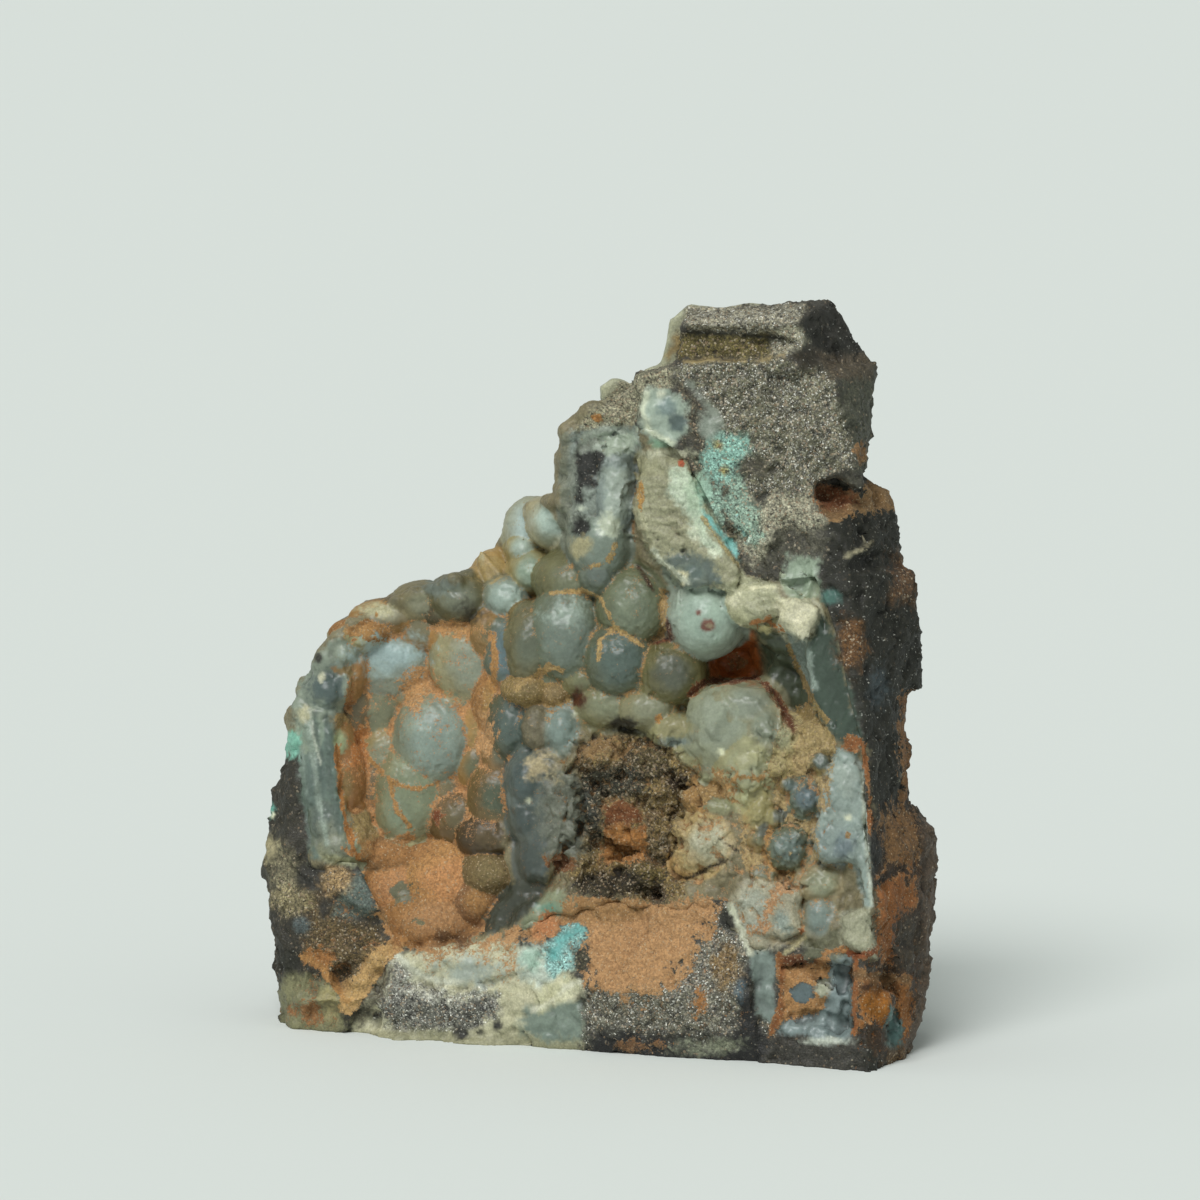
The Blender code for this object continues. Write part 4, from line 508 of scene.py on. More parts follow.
# Areas: surface, colour, cover, softness of the edge, outline.
AREAS = {
    "left_rock": ("rock", "#302D24", 1.0, 0.5, [
        (-20.6, 19.4), (-17.8, 19.4), (-17.6, 12.5), (-15, 12.3), (-13.6, 9.6), (-12.5, 7.2), (-14, 3),
        (-15, 0.5), (-18.6, 0.2), (-19.8, 4), (-20.6, 13)]),
    "left_brown": ("grit", "#5E4F34", 0.9, 0.6, [
        (-18.0, 10.6), (-16.6, 10.8), (-14.8, 9.0), (-13.6, 9.0), (-12.6, 7.2), (-14.4, 5.2), (-17.6, 6.4)]),
    "left_pale_corner": ("frost", "#807E5E", 0.9, 0.4, [
        (-19.6, 4.6), (-18.6, 6.0), (-16.4, 5.4), (-15.0, 4.2), (-15.2, 2.0), (-18.8, 2.0)]),
    "left_blue_panel": ("rock", "#59655F", 0.9, 0.3, [
        (-14.2, 12.1), (-13.9, 11.6), (-13.6, 10.3), (-13.2, 9.7), (-13.9, 9.2), (-15, 9), (-16, 9.2),
        (-15.9, 10), (-15.5, 11), (-14.8, 11.6)]),
    "sill": ("frost", "#B8B599", 1.0, 0.3, [
        (-12.4, 7.0), (-10.9, 7.2), (-9.2, 7.8), (-8, 7.7), (-6.9, 8.0), (-6, 8.0), (-2.8, 7.0), (-1.2, 5.2),
        (-0.8, 3), (-1, 1.0), (-10, 0.6), (-15, 0.8), (-14.8, 2.6), (-13.6, 4.6)]),
    "sill_dust": ("sand", "#B88C62", 0.55, 0.9, [
        (-11.4, 7.4), (-6.0, 8.0), (-3.8, 6.4), (-5.4, 5.0), (-8.6, 5.2), (-10.4, 5.8)]),
    "sill_upper": ("frost", "#BAC6BC", 0.9, 0.4, [
        (-5.0, 7.6), (-3.2, 7.6), (-2.6, 5.6), (-3.6, 4.8), (-4.8, 5.6)]),
    "sill_glitter": ("glitter", "#9C9C92", 1.0, 0.4, [
        (-12.4, 6.9), (-11.6, 6.3), (-11.0, 5.4), (-10.2, 4.9), (-9.0, 4.9), (-8.2, 4.6), (-7.2, 4.9),
        (-6.2, 4.4), (-5.8, 3.6), (-6.6, 3.0), (-7.2, 2.6), (-8.2, 2.5), (-9.2, 2.4), (-10.4, 2.5),
        (-11.6, 2.4), (-12.8, 2.6), (-13.4, 3.4), (-13.0, 4.8), (-12.7, 6.0)]),
    "sill_glitter_low": ("glitter", "#52524C", 0.95, 0.5, [
        (-12.7, 5.4), (-11.0, 4.3), (-9.4, 4.1), (-7.8, 4.3), (-6.2, 4.3), (-6.2, 3.2), (-7.2, 2.6), (-8.2, 2.4),
        (-10.4, 2.4), (-12.2, 2.5), (-13.3, 3.4)]),
    "sill_foot": ("frost", "#918F74", 0.9, 0.25, [
        (-14.2, 2.3), (-10, 2.3), (-5.8, 2.2), (-1, 2.4), (-0.8, 0.8), (-8, 0.6), (-14.6, 1.0)]),
    "sill_green": ("gem", "#6F8079", 0.9, 0.35, [
        (-4.6, 3.4), (-3.4, 4.0), (-1.0, 4.4), (-0.7, 2.8), (-1.0, 1.8), (-3.0, 1.8), (-4.8, 2.2)]),
    "sill_streak": ("frost", "#B8B797", 0.95, 0.2, [
        (-3.9, 4.3), (-3.5, 5), (-2.2, 5.4), (-1.2, 5.4), (-1, 4.9), (-1.8, 4.2), (-2.8, 3.9), (-3.6, 3.4)]),
    "orange_ridge": ("sand", "#BC9A68", 1.0, 0.25, [
        (-16.0, 3.6), (-15.2, 5.2), (-14.0, 6.8), (-12.6, 7.8), (-11.4, 7.6), (-12.4, 6.8), (-13.4, 5.4),
        (-14.4, 4.0), (-15.2, 3.0)]),
    "front_glitter": ("glitter", "#5A584C", 1.0, 0.45, [
        (-0.9, 5.2), (4.6, 5.4), (7.7, 10.2), (8.4, 8.8), (9.2, 6.5), (9.5, 4.2), (10.4, 2.6), (9.8, 0),
        (-1, 0.4)]),
    "front_sand": ("sand", "#B0875E", 0.95, 0.9, [
        (-0.5, 4.9), (1, 4.6), (3.3, 4.3), (4.6, 4.9), (5.2, 6.2), (6, 7.4), (6.3, 8.4), (7, 9.2), (7.7, 10.3),
        (3, 10.8), (-2, 10.5), (-4.2, 9.8), (-6.4, 8.6), (-7.4, 7.7), (-3.2, 7.6), (-1.2, 6.8)]),
    "bottom_black": ("rock", "#1C1C1B", 1.0, 0.5, [
        (-0.9, 0.4), (-0.7, 2.4), (4, 2.1), (7.6, 2.0), (8.2, 3.4), (8.6, 6.4), (9.3, 6.4), (9.5, 3.2),
        (10.4, 1.8), (15.5, 1.4), (15.6, -1.4), (9.5, -1)]),
    "bottom_band": ("rock", "#3A3832", 0.9, 0.3, [
        (9.4, 0.2), (10.2, 1.7), (15.6, 1.6), (15.8, -1.4), (9.4, -1)]),
    "recess_ground": ("sand", "#A87E52", 1.0, 0.3, [(10.6, 6.8), (13.9, 6.8), (14.0, 3.0), (10.8, 2.4)]),
    "strip_blue": ("gem", "#77847F", 1.0, 0.15, [
        (8.9, 7.2), (10.0, 7.3), (10.6, 6.6), (10.4, 5.2), (10.5, 3.6), (10.5, 2.9), (10.1, 2.9), (9.4, 3.4),
        (9.3, 4.6), (9.2, 5.6)]),
    "recess_blue": ("gem", "#7C8A8B", 1.0, 0.2, [
        (10.7, 2.2), (12.2, 2.1), (13.0, 1.6), (14.9, 1.6), (15.2, 3.4), (13.8, 3.6), (12.8, 3.3),
        (11.6, 3.2), (11.0, 2.9)]),
    "panel_blue": ("gem", "#7A888A", 1.0, 0.2, [(13.9, 6.8), (15.0, 6.9), (15.2, 3.2), (13.7, 3.2), (13.7, 4.8)]),
    "notch_rust": ("sand", "#582C15", 0.95, 0.2, [
        (10.6, 7.0), (12.2, 7.1), (13.2, 6.5), (11.6, 6.2), (10.8, 6.2)]),
    "lower_right_olive": ("frost", "#686954", 0.9, 0.3, [
        (11.9, 8.4), (14.6, 8.6), (14.7, 6.9), (12.2, 6.6)]),
    "right_wall": ("black", "#1F1F16", 1.0, 0.4, [
        (12.9, 34.6), (14.2, 35.0), (18, 36.0), (19.8, 31), (19.8, 22.5), (19.0, 17), (20.8, 15.5),
        (20.8, 3), (19.2, -1.8), (15.6, -1.8), (15.6, 1.6), (16.6, 7), (16.2, 12.6), (16.0, 16.2),
        (15.7, 19.9), (15.0, 22.4), (14.3, 26), (13.5, 28.4), (12.9, 30.5)]),
    "right_brown_ground": ("rock", "#37240E", 0.9, 0.5, [
        (16.2, 15.0), (18.4, 16.6), (20.0, 14.0), (19.6, 8.0), (19.2, 2.0), (17.0, 0.4), (15.8, 2.0),
        (16.4, 8.0)]),
    "right_rust_high": ("sand", "#5C3E20", 0.7, 0.8, [
        (16.4, 12.2), (16.6, 15.0), (18.0, 16.4), (19.4, 15.2), (19.9, 13.6), (19.2, 12.0), (17.4, 12.0)]),
    "right_rust": ("sand", "#824C22", 0.85, 0.6, [
        (16.2, 11.4), (17.4, 12.0), (18.4, 12.2), (19.0, 11.4), (19.1, 9.8), (18.5, 8.6), (18.7, 7.2),
        (17.8, 6.2), (16.4, 6.6)]),
    "right_black_patch": ("black", "#1C1C18", 1.0, 0.25, [
        (15.9, 15.4), (16.4, 14.4), (17.1, 13.2), (16.9, 12.2), (16.3, 11.6), (16.0, 12.8)]),
    "right_rust_low": ("sand", "#875528", 0.9, 0.4, [
        (15.6, 5.8), (18.2, 5.6), (19.2, 4.2), (18.8, 1.0), (17.8, 0.2), (17.6, 4.2), (15.6, 2.4)]),
    "right_upper_rust": ("grit", "#5F452D", 0.8, 0.5, [(17.4, 28), (17.6, 31), (18.9, 31), (19.0, 28)]),
    "right_margin": ("rock", "#57483A", 0.85, 0.35, [
        (19.2, 15.6), (19.8, 15.2), (20.8, 13.0), (20.9, 8.0), (20.4, 3.0), (18.8, -1.0), (17.8, 0.2),
        (18.8, 3.0), (19.2, 6.4), (19.3, 10.0), (19.5, 12.8)]),
    "right_edge_rust": ("sand", "#6A4830", 0.75, 0.4, [
        (17.9, 22.6), (19.2, 22.6), (19.2, 16.6), (18.4, 16.2), (18.0, 18.0)]),
    "shoulder_dust": ("sand", "#785E3E", 0.9, 0.4, [
        (12.6, 33.4), (14.2, 34.4), (15.6, 34.6), (16.0, 35.8), (17.6, 35.6), (18.2, 33.6), (15.4, 33.2),
        (14.0, 32.8)]),
    "rough_neck": ("grit", "#A09D8A", 0.95, 0.5, [
        (8.4, 34.8), (12.6, 35.2), (13.4, 33.2), (13.0, 30.9), (9.4, 30.2), (8.2, 31.4), (7.4, 34)]),
    "neck_dark": ("rock", "#3B392F", 0.9, 0.3, [
        (10.6, 32.4), (13.4, 32.5), (13.6, 30.6), (11.4, 30.4), (11.2, 29.2), (9.2, 29.0), (9.4, 30.2)]),
    "cap_front": ("glitter", "#5F5D4C", 1.0, 0.25, [
        (3.6, 41.8), (5, 42.5), (11, 42.9), (12, 42.2), (13, 42.2), (14.2, 41.8), (14.4, 40), (15.0, 38.7),
        (15.2, 37.5), (15.5, 36.2), (13.8, 35.8), (13, 35.2), (12.2, 34.6), (8.6, 34.4), (8.4, 36.6),
        (6.4, 39.6), (4.8, 41.3)]),
    "cap_side": ("rock", "#444538", 1.0, 0.3, [
        (14.2, 42.4), (16.6, 42.8), (16.6, 35.8), (15.4, 35.9), (15.2, 37.5), (14.8, 38.8), (14.3, 40.2)]),
    "cap_brown": ("rock", "#494032", 0.9, 0.3, [(12.8, 43.2), (16.4, 43.2), (16.5, 41.4), (13.8, 41.4)]),
    "cap_black": ("black", "#24231D", 1.0, 0.2, [
        (11.9, 44.8), (14, 46.3), (14.8, 45.2), (15.6, 43.8), (15.8, 43), (13.6, 43), (12.6, 43.6),
        (12.2, 44.2)]),
    "cap_band": ("grit", "#655C38", 1.0, 0.2, [(4.6, 44.3), (10.2, 44.2), (10.4, 42.8), (4.6, 42.7)]),
    "cap_block": ("glitter", "#8D8A78", 1.0, 0.2, [(10.2, 44.6), (11.9, 44.9), (12.5, 43.7), (11.2, 42.9), (10.2, 43)]),
    "cap_recess": ("black", "#2B2618", 1.0, 0.2, [(11.2, 42.9), (12, 42.0), (13.1, 42.3), (12.7, 43.1)]),
    "cap_strip": ("glitter", "#807C6C", 1.0, 0.2, [(5, 44.5), (5.2, 45.9), (12.4, 45.9), (11.9, 44.7), (8.5, 44.1)]),
    "speckled_head": ("grit", "#8F8C77", 0.95, 0.35, [
        (-1.8, 38.0), (-0.4, 39.6), (0.9, 40.8), (2.5, 42.0), (4.2, 42.2), (4.8, 41.0), (3.4, 40.2),
        (2.2, 39.0), (1.2, 38.3), (0.0, 38.0)]),
    "seam_ground": ("grit", "#4F4A3C", 0.9, 0.35, [
        (4.8, 41.3), (6.4, 39.6), (8.4, 36.6), (8.4, 34.4), (8.2, 31.6), (8.8, 29.6), (8.0, 30.4),
        (6.4, 33.8), (5.2, 36.8), (4.4, 38.2), (3.6, 39.6)]),
    "seam_upper": ("crumb", "#8FB9AE", 0.95, 0.3, [
        (6.2, 36.4), (6.4, 37.6), (7.2, 38.2), (8.7, 38.2), (9.2, 37.3), (8.4, 36.6), (8.0, 35.4), (6.9, 35.0)]),
    "seam_middle": ("crumb", "#8AA294", 0.95, 0.3, [
        (7.4, 33.9), (7.8, 35.2), (8.5, 35.8), (9.3, 33.6), (9.8, 32.0), (9.0, 31.4), (8.2, 32.4)]),
    "seam_low": ("crumb", "#93B2A4", 0.75, 0.3, [(6.2, 32.6), (6.4, 34.4), (7.2, 35.4), (7.5, 33.9), (7.3, 32.4)]),
    "lobe_face": ("frost", "#828C86", 1.0, 0.3, [
        (-1.9, 38.2), (0, 38.6), (2.2, 38.6), (2.5, 36.6), (2.0, 33.6), (1.6, 31.6), (0.6, 30.4), (-1.4, 30.8),
        (-2.1, 33), (-2.2, 36)]),
    "plate_face": ("frost", "#96957B", 1.0, 0.25, [
        (2.0, 36.9), (4.6, 37.2), (6.2, 34.4), (8.6, 29.8), (8.2, 28.6), (5.0, 28.8), (3.0, 30.8),
        (2.0, 33.0)]),
    "plate_foot": ("gem", "#5A6866", 0.9, 0.3, [(3.6, 30.6), (5.0, 31.2), (6.6, 30.6), (7.4, 29.2), (5.0, 28.6)]),
    "lip": ("frost", "#A8A88C", 1.0, 0.25, [
        (7.3, 28.9), (8.4, 29.6), (10.9, 29.2), (11.0, 27.5), (9.9, 26.8), (8.4, 26.6), (7.2, 27.2)]),
    "tooth": ("frost", "#C4C1A6", 1.0, 0.2, [
        (10.6, 28.3), (12.0, 28.5), (13.2, 27.7), (13.2, 26.8), (12.3, 26.0), (12.2, 25.7), (11.5, 25.9),
        (11.2, 26.3), (10.7, 26.9)]),
    "blue_shoulder": ("gem", "#98A896", 0.95, 0.25, [(10.9, 28.4), (11.2, 30.9), (12.9, 30.6), (13.4, 28.2), (12.0, 28.5)]),
    "cave": ("frost", "#A25826", 1.0, 0.4, [
        (5.4, 25.2), (6.6, 26.0), (9.2, 26.2), (9.8, 24.6), (9.4, 23.0), (6.6, 22.6), (5.4, 23.4)]),
    "cave_wall": ("gem", "#474F3F", 1.0, 0.3, [
        (9.4, 26.6), (12.2, 26.2), (12.8, 22.6), (12.6, 21.2), (11.0, 21.6), (10.0, 23.4)]),
    "dusty_sill": ("sand", "#87764B", 0.9, 0.3, [
        (11.0, 21.6), (13.4, 22.0), (14.6, 20.0), (13.8, 18.6), (10.8, 18.8)]),
    "right_slab": ("gem", "#8D9A95", 1.0, 0.15, [
        (14.2, 19.4), (15.1, 19.1), (15.8, 18.3), (15.9, 15.2), (16.2, 12.4), (16.4, 9.8), (15.9, 9.6),
        (15.3, 12.2), (14.6, 12.4), (13.8, 12.2), (12.9, 12.8), (12.6, 14.2), (13.0, 15.2), (12.9, 16.2),
        (13.4, 17.8)]),
    "lower_disc_ground": ("sand", "#A7936A", 0.9, 0.5, [
        (8.2, 19.0), (10.4, 20.8), (14.0, 20.6), (14.0, 17.6), (13.2, 15.0), (13.6, 12.6), (10.2, 11.0),
        (8.4, 12.4), (8.6, 15.0), (9.8, 17.0)]),
    "pale_strip": ("frost", "#A49F8A", 1.0, 0.3, [
        (8.0, 10.4), (9.6, 11.7), (12, 10.9), (12.4, 8.4), (10.8, 7.4), (9.0, 7.2), (8.4, 8.6)]),
    "lump": ("gem", "#8A907D", 1.0, 0.3, [
        (5.2, 22.2), (6.2, 22.9), (7.8, 23.3), (9.9, 22.9), (10.9, 21.6), (11.3, 20.1), (10.8, 18.7),
        (10.2, 18.1), (9.9, 16.6), (8.7, 15.8), (7.5, 16.6), (6.2, 18.1), (5.2, 18.9), (4.9, 20.1)]),
    "grit_middle": ("grit", "#76643F", 1.0, 0.4, [
        (-1.6, 18.4), (0.0, 20.2), (2.2, 20.6), (4.4, 20.0), (5.2, 18.8), (6.0, 17.4), (5.2, 15.8),
        (4.2, 13.0), (5.2, 10.6), (3.2, 9.9), (-0.4, 10.4), (-2.4, 11.8), (-1.4, 14.6)]),
    "shell": ("gem", "#4C5553", 1.0, 0.2, [
        (-3.3, 19.4), (-4.5, 19.2), (-5.3, 18.3), (-5.8, 17), (-5.9, 16.2), (-5.6, 15), (-5.2, 13.8),
        (-5.1, 12), (-4.7, 11.2), (-3.4, 11.3), (-3.0, 12.5), (-2.9, 14), (-3.0, 17), (-2.6, 18.6)]),
    "hollow_ground": ("sand", "#8E7A50", 1.0, 0.5, [
        (-15.6, 26.4), (-12.6, 27.2), (-8, 27.6), (-6.4, 26.6), (-6.2, 22), (-5.8, 14), (-9, 12.6), (-14.5, 12.8),
        (-16.0, 18), (-15.6, 22.5)]),
    "basin": ("sand", "#B88A5C", 1.0, 0.4, [
        (-14.6, 13.0), (-12.4, 13.2), (-9.0, 13.2), (-6.4, 13.0), (-5.6, 11.6), (-6.6, 9.8), (-7.4, 7.9),
        (-9.6, 7.8), (-11.0, 7.3), (-12.4, 7.4), (-13.4, 9.4), (-13.8, 11.4)]),
    "basin_low": ("sand", "#875E36", 0.8, 0.8, [(-12.4, 8.8), (-8.2, 9.4), (-7.6, 7.8), (-10.6, 7.3), (-12.4, 7.4)]),
    "rim_band": ("gem", "#66766E", 1.0, 0.2, [
        (-18.2, 19.6), (-17.9, 16.2), (-17.3, 12.6), (-14.4, 12.2), (-14.9, 14), (-15.6, 17), (-15.9, 19.9),
        (-16.4, 21.8), (-18.2, 21.8)]),
    "rim_head": ("gem", "#869083", 1.0, 0.25, [
        (-18.5, 20.6), (-18.4, 22.4), (-17.4, 24.4), (-15.6, 26.4), (-14.9, 25.2), (-14.9, 23.6),
        (-15.1, 22.4), (-15.9, 21.9), (-16.4, 20.8)]),
    "wall_ground": ("frost", "#6A6450", 1.0, 0.4, [
        (-6.6, 28), (-3.4, 28.6), (-3.4, 24), (-1.6, 22.4), (-1.2, 19), (-5, 18.8), (-6.6, 20)]),
    "crest_ground": ("frost", "#625E48", 1.0, 0.4, [
        (-15, 26.6), (-12, 28.4), (-9, 30), (-7.2, 31.2), (-6.6, 29.4), (-7.4, 27.4), (-10, 26.9), (-13, 26.3)]),
    "slope_ground": ("sand", "#857A54", 1.0, 0.4, [
        (-7.6, 29.6), (-7.4, 31.4), (-5.2, 31.4), (-4.6, 28.6), (-6.0, 27.0), (-7.2, 27.4)]),
}

# Areas laid over the forms, written as the others are.
FACES = {
    "strip_dust": ("sand", "#B08560", 0.75, 0.4, [
        (9.0, 7.5), (10.2, 8.6), (10.6, 10.0), (11.8, 10.8), (11.2, 11.6), (10.2, 11.0), (9.6, 9.2), (8.8, 8.2)]),
    "lobe_broken": ("gem", "#A0ABA2", 0.95, 0.25, [
        (0.2, 36.1), (1.7, 35.9), (1.8, 33.8), (1.2, 32.4), (0.2, 31.9), (-0.2, 32.8), (0.3, 33.8)]),
    "lobe_band": ("gem", "#A4B0A0", 0.9, 0.25, [(-0.4, 38.1), (2.0, 38.2), (2.1, 37.1), (0.2, 36.9)]),
    "blue_white_patch": ("gem", "#9AA89C", 1.0, 0.25, [
        (2.4, 39.9), (2.9, 40.9), (4.2, 41.0), (5.2, 40.0), (5.4, 38.4), (4.6, 37.5), (3.0, 37.7), (2.4, 38.7)]),
    "hematite_upper": ("black", "#22231F", 1.0, 0.15, [
        (-1.5, 37.8), (-1.2, 37), (-0.2, 37.2), (0.3, 36.9), (0.1, 36.1), (-0.4, 35.6), (-0.2, 35.1),
        (-1, 34.9), (-0.9, 34), (-1.5, 34), (-1.4, 35.8)]),
    "plate_white": ("frost", "#B8C4B0", 1.0, 0.2, [
        (4.2, 36.2), (5.2, 36.2), (6.2, 34.9), (6.1, 33.8), (6.4, 32.4), (7.3, 31.2), (7.2, 30.9),
        (6.1, 31.4), (5.4, 32.8), (4.8, 33.8), (4, 34.5)]),
    "plate_turquoise": ("frost", "#7CB8B4", 1.0, 0.15, [
        (6.1, 33.6), (6.6, 32.6), (7.3, 31.8), (8, 31), (8.4, 30.5), (7.9, 31.9), (7.2, 32.4), (6.5, 33.2)]),
    "leaf_pale": ("gem", "#868D74", 0.95, 0.25, [
        (-4.9, 8.9), (-4.2, 9.6), (-3.3, 10.7), (-2.2, 10.8), (-2.0, 9.6), (-3.0, 8.6), (-4.6, 8.5)]),
    "shell_mottle": ("frost", "#666A5F", 0.95, 0.4, [
        (-3.4, 17.8), (-2.4, 18.4), (-1.3, 17.8), (-0.7, 16.0), (-0.9, 13.0), (-2.2, 11.8), (-3.2, 12.8),
        (-3.8, 15.0)]),
    "grit_sand": ("sand", "#A2703E", 1.0, 0.3, [
        (0.1, 14.6), (1.2, 14.9), (2.7, 14.6), (2.9, 13.0), (1.8, 12.4), (0.2, 12.4)]),
    "grit_brown": ("sand", "#6A3E20", 1.0, 0.3, [
        (0.1, 15.9), (1.4, 16.3), (2.7, 15.5), (2.6, 14.6), (1.2, 14.9), (0.1, 14.4)]),
    "black_grit": ("grit", "#3A3A30", 0.9, 0.3, [
        (-1.2, 17.6), (0.2, 18.5), (2.2, 18.1), (2.6, 16.6), (0.2, 16.2), (0.1, 14.0), (-0.7, 13.4),
        (-0.9, 15.6)]),
    "cut_band": ("gem", "#3F4D43", 1.0, 0.2, [
        (13.2, 27.4), (14.3, 25.9), (15.0, 22.6), (15.8, 19.9), (15.4, 18.8), (14.1, 19.8), (13.2, 21.0),
        (12.5, 22.8), (12.1, 25.2)]),
    "cut_band_front": ("frost", "#85928B", 1.0, 0.2, [(11.2, 26.3), (12.5, 26.0), (13.0, 23.0), (12.6, 22.6), (11.7, 24.6)]),
    "right_slab_foot": ("frost", "#9C9C86", 1.0, 0.12, [
        (14.4, 9.4), (15.2, 9.8), (16.2, 9.7), (16.6, 6.7), (15.9, 6.8), (15.0, 7.2), (14.4, 7.6)]),
    "slab_lower": ("gem", "#7F8C8A", 0.8, 0.5, [(12.9, 14.4), (15.4, 14.6), (15.2, 12.6), (13.4, 12.4)]),
    "leaf": ("gem", "#41443A", 1.0, 0.2, [
        (-4.5, 11.5), (-5.2, 11.3), (-6.2, 10.5), (-6.9, 9.3), (-7.2, 8.0), (-6.3, 8.2), (-5.2, 8.6),
        (-4.2, 9.5), (-3.3, 10.6), (-3.2, 11.5)]),
}

